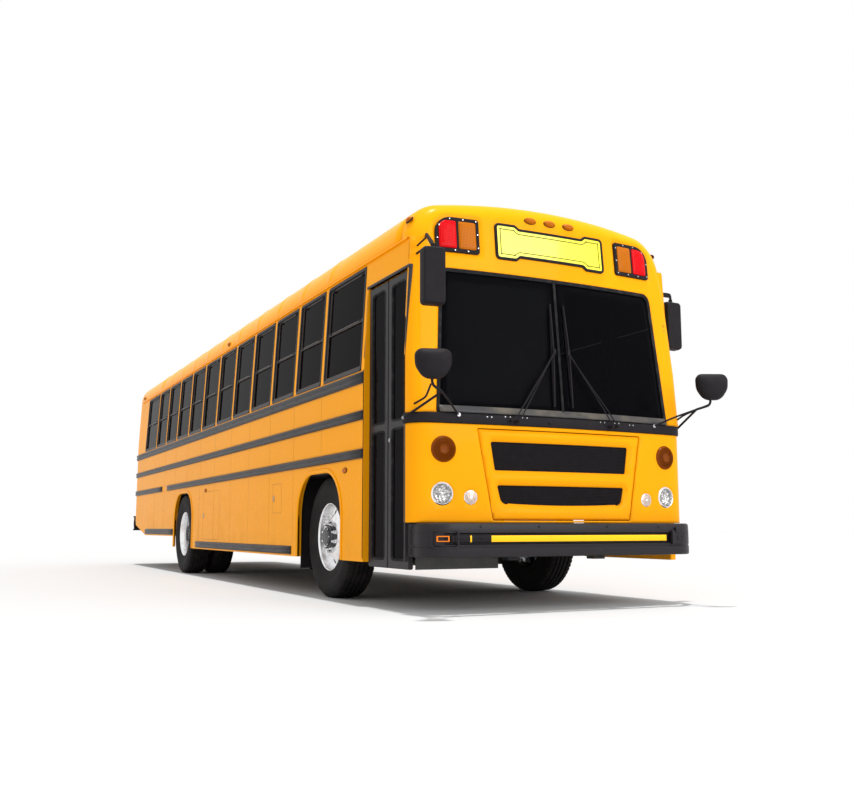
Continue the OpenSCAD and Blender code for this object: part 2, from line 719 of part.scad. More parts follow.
gate_len = 1850;
gate_z = [496, 542];
gate_y = [nose_y - bumper_out - 8, nose_y - bumper_out + 14];
gate_mid_y = (gate_y[0] + gate_y[1]) / 2;
gate_pin_r = 7.7;
module crossing_gate() at_axle() color(yellow) difference() {
    union() {
        block([gate_hinge_x, gate_y[0], gate_z[0]], [gate_hinge_x + gate_len, gate_y[1], gate_z[1]]);
        translate([gate_hinge_x, gate_mid_y, gate_z[0]]) cylinder(h = gate_z[1] - gate_z[0], r = 16);
    }
    translate([gate_hinge_x, gate_mid_y, gate_z[0] - 1]) cylinder(h = 60, r = gate_pin_r + seam);
}

module rear_bumper() at_axle() color(black) {
    z = [560, 800];
    difference() {
        block([-half_w + 10, rear_y + seam, z[0]], [half_w - 10, rear_y + rear_bumper_depth, z[1]]);
        block([-half_w + 1, rear_y - 1, z[0] + 14], [half_w - 1, rear_y + rear_bumper_depth - 14, z[1] - 14]);
    }
    both_sides() block([rail_half_w - rail_flange, rear_y - 330, rail_z - 90], [rail_half_w, rear_y + 1, rail_z]);
}

// ---- lamps and sign ----

module lamp_disc(lamp, back, proud)
    on_fascia(lamp[0], lamp[1]) rotate([90, 0, 0]) translate([0, 0, -back])
        cylinder(h = back + proud, r = lamp[2], $fn = 64);

module headlamps() at_axle() color(grey) both_sides() {
    lamp_disc(head_lamp, 40, 12);
    lamp_disc(small_lamp, 40, 8);
}

// One half of a warning lamp box, in its pocket
module warning_lamp(s, outer) on_cap(s * lamp_x, lamp_z) {
    side = outer ? s : -s;
    w = lamp_w / 2 - 1;
    translate([side > 0 ? 0.2 : -w - 0.2, -18, -lamp_h / 2 + 1]) cube([w, 31.5, lamp_h - 2]);
}
rear_lamp_z = 2640;
rear_marker_z = 2760;
tail_lamp_x = 1010;
tail_lamp_z = [1040, 1320];
side_marker = [[-1650, 2870], [3300, 2780], [rear_y - 330, 2780]];

module amber_lamps() at_axle() color("#e86c10") {
    for (s = [-1, 1]) {
        warning_lamp(s, false);
        on_fascia(s * turn_lamp[0], turn_lamp[1]) rotate([90, 0, 0]) translate([0, 0, 3])
            cylinder(h = 26, r = turn_lamp[2], $fn = 64);
        on_fascia(s * turn_lamp[0], turn_lamp[1]) rotate([90, 0, 0]) translate([0, 0, seam])
            cylinder(h = 10, r = turn_lamp[2] - 60);
    }
    difference() {
        for (x = [-marker_x, 0, marker_x]) on_cap(x, marker_z) rotate([90, 0, 0])
            translate([0, 0, -20]) cylinder(h = 42, r = 30);
        cap_solid(-seam);
    }
    both_sides() rear_skin(700, 900, rear_lamp_z - 90, rear_lamp_z + 90, 20);
}
module red_lamps() at_axle() color("#c8141c") {
    for (s = [-1, 1]) warning_lamp(s, true);
    both_sides() {
        rear_skin(905, 1060, rear_lamp_z - 90, rear_lamp_z + 90, 20);
        for (z = tail_lamp_z) intersection() {
            rear_skin(900, 1120, z - 100, z + 100, 22);
            translate([tail_lamp_x, rear_y - 200, z]) rotate([-90, 0, 0]) cylinder(h = 400, r = 60);
        }
    }
    for (x = [-marker_x, 0, marker_x]) intersection() {
        rear_skin(x - 50, x + 50, rear_marker_z - 50, rear_marker_z + 50, 22);
        translate([x, rear_y - 200, rear_marker_z]) rotate([-90, 0, 0]) cylinder(h = 400, r = 30);
    }
}
module sign_board() at_axle() color("#f6e21a")
    on_cap(0, sign_z) block([-sign_w / 2 + 1, -12, -sign_h / 2 + 1], [sign_w / 2 - 1, 19.7, sign_h / 2 - 1]);

// ---- mirrors and wipers ----

crossover = [1226, nose_y - 246, 1680];
right_mirror = [-1210, -2190, 2305];
left_mirror = [1302, -1695, 2285];
tube_r = 11;

module mirror_head(p) translate(p) block([-85, -50, -205], [85, 45, 205]);
module outer_body() {
    cap_solid(-seam);
    nose_prism(cowl_z - 60, cowl_top_z + 60, -cowl_proud - seam);
    body_prism(cap_roof_y, 0, -seam, 1200);
}
module mirrors() at_axle() color(black) difference() {
    mirror_set();
    outer_body();
}
module mirror_set() {
    mirror_head(right_mirror);
    mirror_head(left_mirror);
    // curb side: a triangle of tubes reaching forward from the corner
    top = right_mirror + [0, 0, 230];
    rod(right_mirror + [0, 0, 200], top + [0, 0, 15], tube_r);
    rod(top, [-1060, -1760, 2720], tube_r - 1);
    rod(top, [-1120, -1760, 2590], tube_r - 2);
    // driver's side: a plate arm down from the corner
    ltop = left_mirror + [0, 0, 280];
    rod(left_mirror + [0, 0, 160], ltop + [0, 0, 14], tube_r);
    rod(ltop, [1120, -1665, 2530], tube_r - 1);
    both_sides() {
        translate(crossover) scale(1) intersection() {
            sphere(r = 125, $fn = 64);
            block([-125, -90, -100], [125, 20, 125]);
        }
        foot = crossover + [0, 0, -130];
        rod(crossover + [0, 0, -95], foot, tube_r);
        rod(foot + [0, 0, 10], [1140, nose_y + 110, cowl_z + 40], tube_r);
        rod(foot + [0, 0, 10], [860, nose_y + 60, cowl_z + 40], tube_r);
    }
}

wiper_x = 420;
module wipers() at_axle() color(black) difference() {
    wiper_pair();
    nose_prism(cowl_z - 60, cowl_top_z + 5, -cowl_proud - seam);
    leaning_nose(8);
}
module wiper_pair() for (s = [-1, 1]) {
    x = s * wiper_x;
    rod([x, nose_y + 20, cowl_z + 30], [x, nose_y - 45, cowl_z + 30], 16);
    rod([x, nose_y - 36, cowl_z + 30], [s * 60, nose_y + 30, cowl_z + 560], 7);
    rod([s * 60 + 10 * s, nose_y - 8 + 0, cowl_z + 120], [s * 60, nose_y + 58, cowl_z + 880], 8);
}

// ---- floor, frame and running gear ----

engine_bay = [380, -150];
function clear_of_axles(y) = abs(y) > 700 && abs(y - wheelbase) > 700;
module floor() at_axle() color(grey) {
    difference() {
        union() {
            block([-inner_w, cap_side_y + 10, floor_z - floor_t], [inner_w, rear_cap_y, floor_z]);
            block([-1000, rear_cap_y - 1, floor_z - floor_t], [1000, rear_y - wall_t - 40, floor_z]);
            for (i = [0:10]) let (y = 1000 + i * 760) if (clear_of_axles(y) && y < rear_cap_y)
                block([-inner_w, y, rail_z + rail_h], [inner_w, y + 60, floor_z - floor_t + 1]);
        }
        block([-engine_bay[0], nose_y, 0], [engine_bay[0], engine_bay[1], floor_z + 1]);
        block([-half_w, nose_y, 0], [-step_in_x, door_rear_y + well_t, floor_z + 1]);
        block([-half_w, nose_y, 0], [-step_in_x + step_t, door_rear_y + well_t, floor_z - floor_t]);
    }
}

liner_t = 8;
liner_half = 630;
module housing(y, x0) both_sides() {
    block([x0, y - liner_half, floor_z - floor_t - liner_t], [inner_w, y + liner_half, floor_z - floor_t]);
    for (e = [y - liner_half, y + liner_half - liner_t])
        block([x0, e, rail_z], [inner_w, e + liner_t, floor_z - floor_t]);
}
module wheel_housings() at_axle() color(black) {
    housing(0, rail_half_w + 30);
    housing(wheelbase, rail_half_w + 30);
}

module rail(x) difference() {
    block([x, -1800, rail_z], [x + rail_flange, rear_y - 130, rail_z + rail_h]);
    block([x - 1, -1801, rail_z + rail_t], [x + rail_flange - rail_t, rear_y, rail_z + rail_h - rail_t]);
}
// A plate under a frame rail with a cross hole for a tow pin, hanging down to z
tow_eye_half = 45;
tow_eye_x = rail_half_w - 60;
// A plate hung from the rail and a foot with an upright hole, at height z
module tow_eye(y, z, top) {
    block([rail_half_w - tow_eye_t, y - tow_eye_half, z], [rail_half_w, y + tow_eye_half, top + 1]);
    difference() {
        block([rail_half_w - 105, y - tow_eye_half, z], [rail_half_w - 1, y + tow_eye_half, z + tow_eye_t]);
        translate([tow_eye_x, y, z - 1]) cylinder(h = tow_eye_t + 2, r = tow_eye_r);
    }
}
front_horn_z = [450, 590];
module chassis_frame() at_axle() color(black) {
    both_sides() {
        rail(rail_half_w - rail_flange);
        block([rail_half_w - rail_flange, nose_y - bumper_out + bumper_t + seam, front_horn_z[0]],
            [rail_half_w, -1680, front_horn_z[1]]);
        block([rail_half_w - 14, -1780, front_horn_z[0]], [rail_half_w, -1680, rail_z + 1]);
        tow_eye(nose_y + 160, front_horn_z[0] - 90, front_horn_z[0]);
        tow_eye(rear_y - 400, rail_z - 145, rail_z);
    }
    // engine mounts
    for (y = [-1200, -420]) both_sides()
        block([engine_box[1][0] + seam, y, rail_z], [rail_half_w - rail_t / 2, y + 80, rail_z + 70]);
    for (y = [-1700, 800, 2000, 3400, wheelbase - 750, wheelbase + 750, 7400, rear_y - 300])
        block([-rail_half_w + rail_t, y, rail_z + 60], [rail_half_w - rail_t, y + 70, rail_z + rail_h - 40]);
}

axle_z = tyre_d / 2;
beam_half = pivot_x - 60;
module spring(x, y, z, half_len) {
    // a shallow stack of leaves between two hangers under the rail
    translate([x - 35, y, 0]) rotate([90, 0, 90]) linear_extrude(70) polygon(concat(
        [for (i = [-8:8]) [i * half_len / 8, z + 60 * pow(i / 8, 2)]],
        [for (i = [8:-1:-8]) [i * half_len / 8, z + 12 + 46 * (1 - abs(i) / 8) + 60 * pow(i / 8, 2)]]));
}
module hangers(x, y, z, half_len) for (e = [-1, 1])
    block([x - 35, y + e * half_len - 25, z], [x + 35, y + e * half_len + 25, rail_z]);

module front_axle() at_axle() color(black) {
    both_sides() {
        block([-1, -45, axle_z - 90], [beam_half - 160, 45, axle_z - 10]);
        difference() {
            union() {
                block([beam_half - 200, -38, axle_z - 90], [pivot_x, 38, axle_z + 30]);
                translate([pivot_x, 0, axle_z - 90]) cylinder(h = 120, r = 40);
            }
            translate([pivot_x, 0, axle_z - 100]) cylinder(h = 200, r = 22);
        }
        block([355, -60, axle_z - 11], [425, 60, axle_z + 12]);
        spring(390, 0, axle_z + 10, 620);
        hangers(390, 0, axle_z + 80, 620);
    }
}
rear_tube_r = 70;
module rear_axle() at_axle() color(black) {
    translate([-1010, wheelbase, axle_z]) rotate([0, 90, 0]) cylinder(h = 2020, r = rear_tube_r);
    translate([0, wheelbase + 110, axle_z]) rotate([90, 0, 0]) cylinder(h = 220, r = 185);
    translate([0, wheelbase, axle_z]) rotate([90, 0, 0]) cylinder(h = 180, r = 80);
    both_sides() {
        block([355, wheelbase - 60, axle_z + 50], [425, wheelbase + 60, axle_z + 92]);
        spring(390, wheelbase, axle_z + 90, 640);
        block([355, wheelbase - 665, axle_z + 155], [425, wheelbase - 615, rail_z]);
        block([355, wheelbase + 615, axle_z + 155], [425, wheelbase + 665, rail_z]);
    }
}

spindle_r = 40;
module knuckle(s) at_axle() color(black) scale(1) {
    // king pin, fork and spindle
    translate([s * pivot_x, 0, axle_z - 130]) cylinder(h = 260, r = 21.95);
    for (z = [[-130, -96], [36, 70]])
        block([min(s * (pivot_x - 40), s * (pivot_x + 75)), -45, axle_z + z[0]],
            [max(s * (pivot_x - 40), s * (pivot_x + 75)), 45, axle_z + z[1]]);
    block([min(s * (pivot_x + 48), s * (pivot_x + 75)), -60, axle_z - 130],
        [max(s * (pivot_x + 48), s * (pivot_x + 75)), 60, axle_z + 70]);
    translate([s * (pivot_x + 74), 0, axle_z]) rotate([0, s * 90, 0]) cylinder(h = 110, r = spindle_r);
}
module left_knuckle() knuckle(1);
module right_knuckle() knuckle(-1);

// Half profile of a tyre round X: tread, shoulders and beads
module tyre(x, y) translate([x, y, axle_z]) rotate([0, 90, 0]) rotate_extrude($fn = 96)
    polygon([[rim_d / 2 - 4, -105], [rim_d / 2 + 40, -122], [rim_d / 2 + 110, -tyre_w / 2],
        [tyre_d / 2 - 60, -tyre_w / 2 + 4], [tyre_d / 2 - 22, -122], [tyre_d / 2 - 5, -108],
        [tyre_d / 2, -90], [tyre_d / 2, 90], [tyre_d / 2 - 5, 108], [tyre_d / 2 - 22, 122],
        [tyre_d / 2 - 60, tyre_w / 2 - 4], [rim_d / 2 + 110, tyre_w / 2], [rim_d / 2 + 40, 122],
        [rim_d / 2 - 4, 105]]);

// Disc wheel. dish is how far the disc stands out from the rim's middle.
hub_bore_r = spindle_r + 0.5;
module rim(x, y, dish, disc) {
    r = rim_d / 2 - 4 - seam;
    difference() {
        translate([x, y, axle_z]) rotate([0, 90, 0]) union() {
            rotate_extrude($fn = 96) polygon([[r - 22, -112], [r, -112], [r, 112], [r - 22, 112]]);
            if (disc) translate([0, 0, dish - 8]) difference() {
                cylinder(h = 16, r = r - 10, $fn = 96);
                for (a = [0:36:359]) rotate([0, 0, a + 18]) translate([200, 0, -1]) cylinder(h = 20, r = 24);
            }
        }
    }
}
module hub(s, x0, x1, y, r) translate([s * x0, y, axle_z]) rotate([0, s * 90, 0])
    cylinder(h = x1 - x0, r = r);

module front_rim(s) at_axle() color(grey) difference() {
    union() {
        rim(s * front_track_half, 0, s * 90, true);
        hub(s, front_track_half - 30, front_track_half + 165, 0, 95);
    }
    translate([s * (pivot_x + 70), 0, axle_z]) rotate([0, s * 90, 0]) cylinder(h = 120, r = hub_bore_r);
}
module rear_rims(s) at_axle() color(grey) difference() {
    union() {
        rim(s * rear_outer_x, wheelbase, -s * 90, true);
        rim(s * (rear_outer_x - dual_spacing), wheelbase, s * 90, false);
        hub(s, rear_outer_x - dual_spacing - 60, rear_outer_x + 95, wheelbase, 110);
        hub(s, rear_outer_x - dual_spacing + 82, rear_outer_x - dual_spacing + 98, wheelbase, rim_d / 2 - 14);
    }
    translate([0, wheelbase, axle_z]) rotate([0, s * 90, 0])
        cylinder(h = 1012, r = rear_tube_r + lamp_clearance);
}
module front_left_tyre() at_axle() color(black) tyre(front_track_half, 0);
module front_right_tyre() at_axle() color(black) tyre(-front_track_half, 0);
module front_left_rim() front_rim(1);
module front_right_rim() front_rim(-1);
module rear_tyres(s) at_axle() color(black) {
    tyre(s * rear_outer_x, wheelbase);
    tyre(s * (rear_outer_x - dual_spacing), wheelbase);
}
module rear_left_tyres() rear_tyres(1);
module rear_right_tyres() rear_tyres(-1);
module rear_left_rims() rear_rims(1);
module rear_right_rims() rear_rims(-1);

// ---- under the floor ----

engine_box = [[-330, -1350, 600], [330, -250, 1400]];
module engine() at_axle() color(grey) block(engine_box[0], engine_box[1]);
shaft_r = 48;
shaft_drop = 130;
// starts a seam behind the engine at its lower edge, whatever its slope
shaft_y = engine_box[1][1] + seam + shaft_r * shaft_drop / (wheelbase - engine_box[1][1]);
module drive_shaft() at_axle() color(grey)
    rod([0, shaft_y, axle_z + 20 + shaft_drop], [0, wheelbase - 182, axle_z + 20], shaft_r);
module fuel_tank() at_axle() color(black)
    block([rail_half_w + seam, 2100, 420], [1080, 3300, rail_z + rail_h - seam]);
module exhaust() at_axle() color(grey) {
    x = -640;
    translate([x, 1000, 700]) rotate([-90, 0, 0]) cylinder(h = 900, r = 120);
    translate([x, 1890, 700]) rotate([-90, 0, 0]) cylinder(h = 2300, r = 50);
    block([-rail_half_w - 190, 1300, 780], [-rail_half_w - seam, 1340, 820]);
}
flap_t = 8;
module mud_flaps() at_axle() color(black) both_sides() {
    for (f = [[0, 840], [wheelbase, 600]]) {
        y = f[0] + liner_half;
        block([f[1], y, 230], [inner_w - 20, y + flap_t, rail_z + 10]);
        block([rail_half_w + 30, y, rail_z], [inner_w - 20, y + flap_t, rail_z + 50]);
    }
}

// ---- inside ----

back_inset = 30;
barrier_t = 30;
module bench_place() both_sides() for (i = [0:row_count - 1])
    translate([inner_w - 10 - bench_w, first_row_y + i * row_pitch, floor_z]) children();
module seat_frames() at_axle() color(black) {
    bench_place() bench_frame();
    barrier(-inner_w + 30, -step_in_x, door_rear_y + 20);
    barrier(470, inner_w - 30, -500);
}
module bench_frame() {
    block([0, 0, bench_h - 26], [bench_w, cushion_d + back_t + 10, bench_h]);
    for (x = [120, bench_w - 150]) block([x, 60, 0], [x + 30, cushion_d - 20, bench_h - 25]);
}
// Panels behind the entrance steps and behind the driver
module barrier(x0, x1, y) {
    for (x = [x0 + 40, x1 - 70]) block([x, y, floor_z], [x + 30, y + barrier_t, floor_z + 260]);
    block([x0, y, floor_z + 250], [x1, y + barrier_t, floor_z + 830]);
}
module seat_pads() at_axle() color("#2c3a3c") bench_place() {
    block([0, 0, bench_h + seam], [bench_w, cushion_d, bench_h + cushion_t]);
    block([0, cushion_d + 6, bench_h + seam],
        [bench_w - back_inset, cushion_d + 6 + back_t, bench_h + cushion_t + back_h]);
}

driver_x = 720;
driver_seat_y = -950;
module driver_seat() at_axle() color("#2b2c2f") translate([driver_x, driver_seat_y, floor_z]) {
    block([-170, -60, 0], [170, 240, 260]);
    block([-235, -150, 260], [235, 330, 390]);
    block([-235, 300, 389], [235, 430, 1090]);
}

column_low = [driver_x, -1590, floor_z + 200];
column_high = [driver_x, -1360, floor_z + 520];
dash_y = [-1780, -1450];
module dashboard() at_axle() color(black) difference() {
    union() {
        intersection() {
            translate([-450, 0, 0]) rotate([90, 0, 90]) linear_extrude(450 + inner_w - 20) polygon([
                [dash_y[0] + 2, floor_z + seam], [dash_y[0] + 2, 1300], [-1890, 1300], [-1890, 1385],
                [-1560, 1450], [dash_y[1], 1400], [dash_y[1], 1290], [-1600, 1180],
                [-1600, floor_z + seam]]);
            nose_prism(floor_z, 1500, nose_t + 4);
        }
        rod(column_low, column_high, 36);
    }
    block([-engine_bay[0] - 70, -1800, floor_z - 1], [engine_bay[0] + 70, -1449, 1440]);
}
column_tilt = atan2(column_high[1] - column_low[1], column_high[2] - column_low[2]);
module steering_wheel() at_axle() color(black)
    translate(column_high) rotate([-column_tilt, 0, 0]) translate([0, 0, seam]) {
        cylinder(h = 30, r = 45);
        translate([0, 0, 26]) rotate_extrude($fn = 64) translate([222, 0]) circle(r = 14);
        for (a = [30, 150, 270]) rotate([0, 0, a]) block([30, -14, 16], [215, 14, 28]);
    }

cover_t = 20;
module engine_cover() at_axle() color("#3a3c3f") difference() {
    block([-440, dash_y[0] + 30, floor_z + seam], [440, -90, 1430]);
    block([-440 + cover_t, dash_y[0] + 30 + cover_t, 0], [440 - cover_t, -90 - cover_t, 1430 - cover_t]);
}

// ---- stop arm ----

stop_z = 1620;
stop_y = -620;
stop_r = 225;
stop_pin_r = 8;
stop_pin_x = half_w + rail_d + 22;
stop_half = 70;
module stop_arm() at_axle() color("#b8171c") {
    // octagonal blade on a swing bracket
    translate([stop_pin_x - 4, stop_y + 300, stop_z]) rotate([0, 90, 0]) rotate([0, 0, 22.5])
        cylinder(h = 8, r = stop_r + 18, $fn = 8);
    difference() {
        union() {
            block([stop_pin_x - 7, stop_y, stop_z - stop_half], [stop_pin_x + 7, stop_y + 220, stop_z + stop_half]);
            translate([stop_pin_x, stop_y, stop_z - stop_half]) cylinder(h = 2 * stop_half, r = 16);
        }
        translate([stop_pin_x, stop_y, stop_z - 100]) cylinder(h = 200, r = stop_pin_r + seam);
    }
}
module stop_arm_bracket() at_axle() color(black) {
    block([half_w, stop_y - 40, stop_z - 92], [half_w + 14, stop_y + 40, stop_z + 92]);
    for (z = [stop_z - 92, stop_z + 76])
        block([half_w, stop_y - 20, z], [stop_pin_x + 16, stop_y + 20, z + 16]);
    translate([stop_pin_x, stop_y, stop_z - 80]) cylinder(h = 160, r = stop_pin_r);
}

// ---- nodes ----

chassis_frame();
floor();
wheel_housings();
left_wall();
right_wall();
roof();
front_cap();
rear_wall();
front_fascia();
cowl();
windshield();
entry_steps();
window_frames();
window_glass();
rub_rails();
front_bumper();
rear_bumper();
headlamps();
amber_lamps();
red_lamps();
sign_board();
mirrors();
wipers();
seat_frames();
seat_pads();
driver_seat();
dashboard();
engine_cover();
engine();
fuel_tank();
exhaust();
drive_shaft();
mud_flaps();
front_axle();
rear_axle();
grille_panel();
grilles();
front_door_leaf();
front_leaf_glass();
rear_door_leaf();
rear_leaf_glass();
emergency_door();
emergency_door_glass();
front_roof_hatch();
rear_roof_hatch();
crossing_gate();
stop_arm_bracket();
stop_arm();
steering_wheel();
left_knuckle();
right_knuckle();
front_left_tyre();
front_left_rim();
front_right_tyre();
front_right_rim();
rear_left_tyres();
rear_left_rims();
rear_right_tyres();
rear_right_rims();
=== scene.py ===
"""A flat-front school bus: every visible surface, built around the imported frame."""

import math

import bmesh
import bpy
import numpy as np
from bpy.props import FloatProperty, FloatVectorProperty, PointerProperty
from mathutils.geometry import delaunay_2d_cdt
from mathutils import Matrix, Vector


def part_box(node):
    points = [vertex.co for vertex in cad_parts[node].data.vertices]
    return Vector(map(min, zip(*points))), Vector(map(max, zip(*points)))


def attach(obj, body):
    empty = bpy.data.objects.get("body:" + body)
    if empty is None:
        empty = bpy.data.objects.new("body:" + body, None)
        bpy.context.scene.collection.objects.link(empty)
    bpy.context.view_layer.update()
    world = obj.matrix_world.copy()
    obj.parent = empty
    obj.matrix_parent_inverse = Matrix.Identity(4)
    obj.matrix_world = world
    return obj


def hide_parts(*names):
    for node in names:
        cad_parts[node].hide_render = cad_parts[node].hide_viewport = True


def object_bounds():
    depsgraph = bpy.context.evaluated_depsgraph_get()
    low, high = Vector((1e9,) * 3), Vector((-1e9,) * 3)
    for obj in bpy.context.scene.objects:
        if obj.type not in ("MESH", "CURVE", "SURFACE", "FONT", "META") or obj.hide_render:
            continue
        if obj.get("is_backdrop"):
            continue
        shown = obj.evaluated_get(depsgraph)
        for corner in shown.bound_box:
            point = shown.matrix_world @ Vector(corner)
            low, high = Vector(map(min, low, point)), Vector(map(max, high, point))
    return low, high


bl_info = {
    "name": "School bus",
    "version": (1, 0, 0),
    "blender": (4, 5, 0),
    "location": "View3D > Sidebar > School bus",
    "description": "Builds the body, glass, lamps, wheels, seats and studio of a school bus",
    "category": "Object",
}

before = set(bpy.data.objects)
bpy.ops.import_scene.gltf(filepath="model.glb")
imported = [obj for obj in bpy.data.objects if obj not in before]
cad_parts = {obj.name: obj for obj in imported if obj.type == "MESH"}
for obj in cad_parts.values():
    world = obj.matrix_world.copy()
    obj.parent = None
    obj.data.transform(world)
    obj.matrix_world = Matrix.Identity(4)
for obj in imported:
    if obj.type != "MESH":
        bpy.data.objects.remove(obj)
CAD_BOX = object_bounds()


# ---------------------------------------------------------------- sizes from the frame


def span(node):
    """The lowest and highest corner of a CAD node, as arrays."""
    low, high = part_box(node)
    return np.array(low), np.array(high)


FRONT_TYRE = span("front_left_tyre")
REAR_TYRES = span("rear_left_tyres")
AXLE_Y, AXLE_Z = (FRONT_TYRE[0] + FRONT_TYRE[1])[1:] / 2
REAR_AXLE_Y = (REAR_TYRES[0] + REAR_TYRES[1])[1] / 2
TYRE_R = (FRONT_TYRE[1] - FRONT_TYRE[0])[2] / 2
TYRE_W = (FRONT_TYRE[1] - FRONT_TYRE[0])[0]
HALF_W = span("left_wall")[1][0]
FACE_Y = span("front_fascia")[0][1]
TAIL_Y = span("rear_wall")[1][1]
CAP_SIDE_Y = span("left_wall")[0][1]
CAP_ROOF_Y = span("roof")[0][1]
TAIL_CAP_Y = span("roof")[1][1]
HEADER_Z = span("left_wall")[1][2]
ROOF_Z = span("front_cap")[1][2]
COWL_Z, COWL_TOP_Z = span("cowl")[0][2], span("cowl")[1][2]
SKIRT_Z = span("left_wall")[0][2]

# Axes (u, v, w) of a place whose height w points up, or to the rear
UPWARD = (1, 0, 0), (0, 1, 0), (0, 0, 1)
REARWARD = (1, 0, 0), (0, 0, 1), (0, 1, 0)

BELT_Z = 1.831
LEAN_IN = 0.048
EDGE_R = 0.3
CROWN_R = 6.5
BOW_R = 8.8
CORNER_R = 0.15
CAP_SIDE_R = 0.08
CAP_TOP_R = 0.15
FACE_LEAN = math.tan(math.radians(5.3))
OUT_OF_FACE = np.array([0, -1, FACE_LEAN])
SIDE_LEAN = LEAN_IN / (HEADER_Z - BELT_Z)


def at_axle(y):
    """A distance behind the front axle, as a Y of the frame."""
    return AXLE_Y + y


# ---------------------------------------------------------------- mesh building


def smooth_step(x, low, high):
    """0 below low, 1 above high, and the cubic 3t^2 - 2t^3 between."""
    t = np.clip((np.asarray(x, float) - low) / (high - low), 0, 1)
    return t * t * (3 - 2 * t)


def arc(centre, radius, start, end, count):
    """Points on a circle: centre + radius (cos a, sin a), with a from start to end in degrees."""
    a = np.radians(np.linspace(start, end, count + 1))
    return np.c_[centre[0] + radius * np.cos(a), centre[1] + radius * np.sin(a)]


def ring(centre, radius, count=32):
    """A closed circle of points, counter-clockwise."""
    return arc(centre, radius, 0, 360, count)[:-1]


def rounded(corners, radii, count=6):
    """A closed polygon whose corners are quarter-like arcs: each corner is replaced by
    a quadratic curve between the two points a tangent length away from it."""
    corners = np.asarray(corners, float)
    radii = np.broadcast_to(radii, len(corners))
    out = []
    for i, corner in enumerate(corners):
        before, after = corners[i - 1] - corner, corners[(i + 1) % len(corners)] - corner
        a, b = before / np.linalg.norm(before), after / np.linalg.norm(after)
        if radii[i] <= 0:
            out.append(corner[None])
            continue
        half = math.acos(np.clip(a @ b, -1, 1)) / 2
        cut = min(radii[i] / math.tan(half), np.linalg.norm(before) / 2, np.linalg.norm(after) / 2)
        r = cut * math.tan(half)
        centre = corner + (a + b) / np.linalg.norm(a + b) * math.hypot(r, cut)
        start = corner + a * cut - centre
        end = corner + b * cut - centre
        a0 = math.atan2(start[1], start[0])
        turn = (math.atan2(end[1], end[0]) - a0 + math.pi) % (2 * math.pi) - math.pi
        angles = a0 + turn * np.linspace(0, 1, count + 1)
        out.append(np.c_[centre[0] + r * np.cos(angles), centre[1] + r * np.sin(angles)])
    return np.concatenate(out)


def rectangle(x0, y0, x1, y1, radius=0.0, count=5):
    """A rounded rectangle, counter-clockwise."""
    return rounded([[x0, y0], [x1, y0], [x1, y1], [x0, y1]], radius, count)


def resampled(points, step, closed=False):
    """The same line with points about one step apart, its own corners kept."""
    points = np.asarray(points, float)
    ends = np.concatenate([points, points[:1]]) if closed else points
    out = []
    for p, q in zip(ends[:-1], ends[1:]):
        n = max(1, int(round(np.linalg.norm(q - p) / step)))
        out.append(p + (q - p) * (np.arange(n) / n)[:, None])
    if not closed:
        out.append(points[-1:])
    return np.concatenate(out)


def line_normals(points, closed):
    """Unit normals to the right of a 2D line's direction, averaged at each point."""
    if closed:
        ahead, behind = np.roll(points, -1, 0), np.roll(points, 1, 0)
    else:
        ahead = np.concatenate([points[1:], points[-1:]])
        behind = np.concatenate([points[:1], points[:-1]])
    d1, d0 = ahead - points, points - behind
    for d in (d0, d1):
        d /= np.maximum(np.linalg.norm(d, axis=1), 1e-12)[:, None]
    d = d0 + d1
    d /= np.maximum(np.linalg.norm(d, axis=1), 1e-12)[:, None]
    n = np.c_[d[:, 1], -d[:, 0]]
    n1 = np.c_[d1[:, 1], -d1[:, 0]]
    use = np.linalg.norm(d1, axis=1) > 0.5
    stretch = np.where(use, (n * n1).sum(1), 1)
    return n / np.clip(stretch, 0.5, 1)[:, None]


def inside(points, outline):
    """Which 2D points lie inside a closed outline, by counting the edges that a ray crosses."""
    x, y = points[:, :1], points[:, 1:]
    a, b = outline, np.roll(outline, -1, 0)
    spans = (a[:, 1] > y) != (b[:, 1] > y)
    rise = np.where(b[:, 1] == a[:, 1], 1e-12, b[:, 1] - a[:, 1])
    cross = x < (b[:, 0] - a[:, 0]) * (y - a[:, 1]) / rise + a[:, 0]
    return (spans & cross).sum(1) % 2 == 1


def outline_distance(points, outline):
    """Distance from 2D points to a closed outline, negative inside it."""
    a, d = outline, np.roll(outline, -1, 0) - outline
    length = np.maximum((d * d).sum(1), 1e-12)
    best = np.full(len(points), np.inf)
    for i in range(0, len(points), 4000):
        p = points[i : i + 4000, None]
        t = np.clip(((p - a) * d).sum(2) / length, 0, 1)
        best[i : i + 4000] = np.sqrt((((p - a - t[..., None] * d)) ** 2).sum(2)).min(1)
    return np.where(inside(points, outline), -best, best)


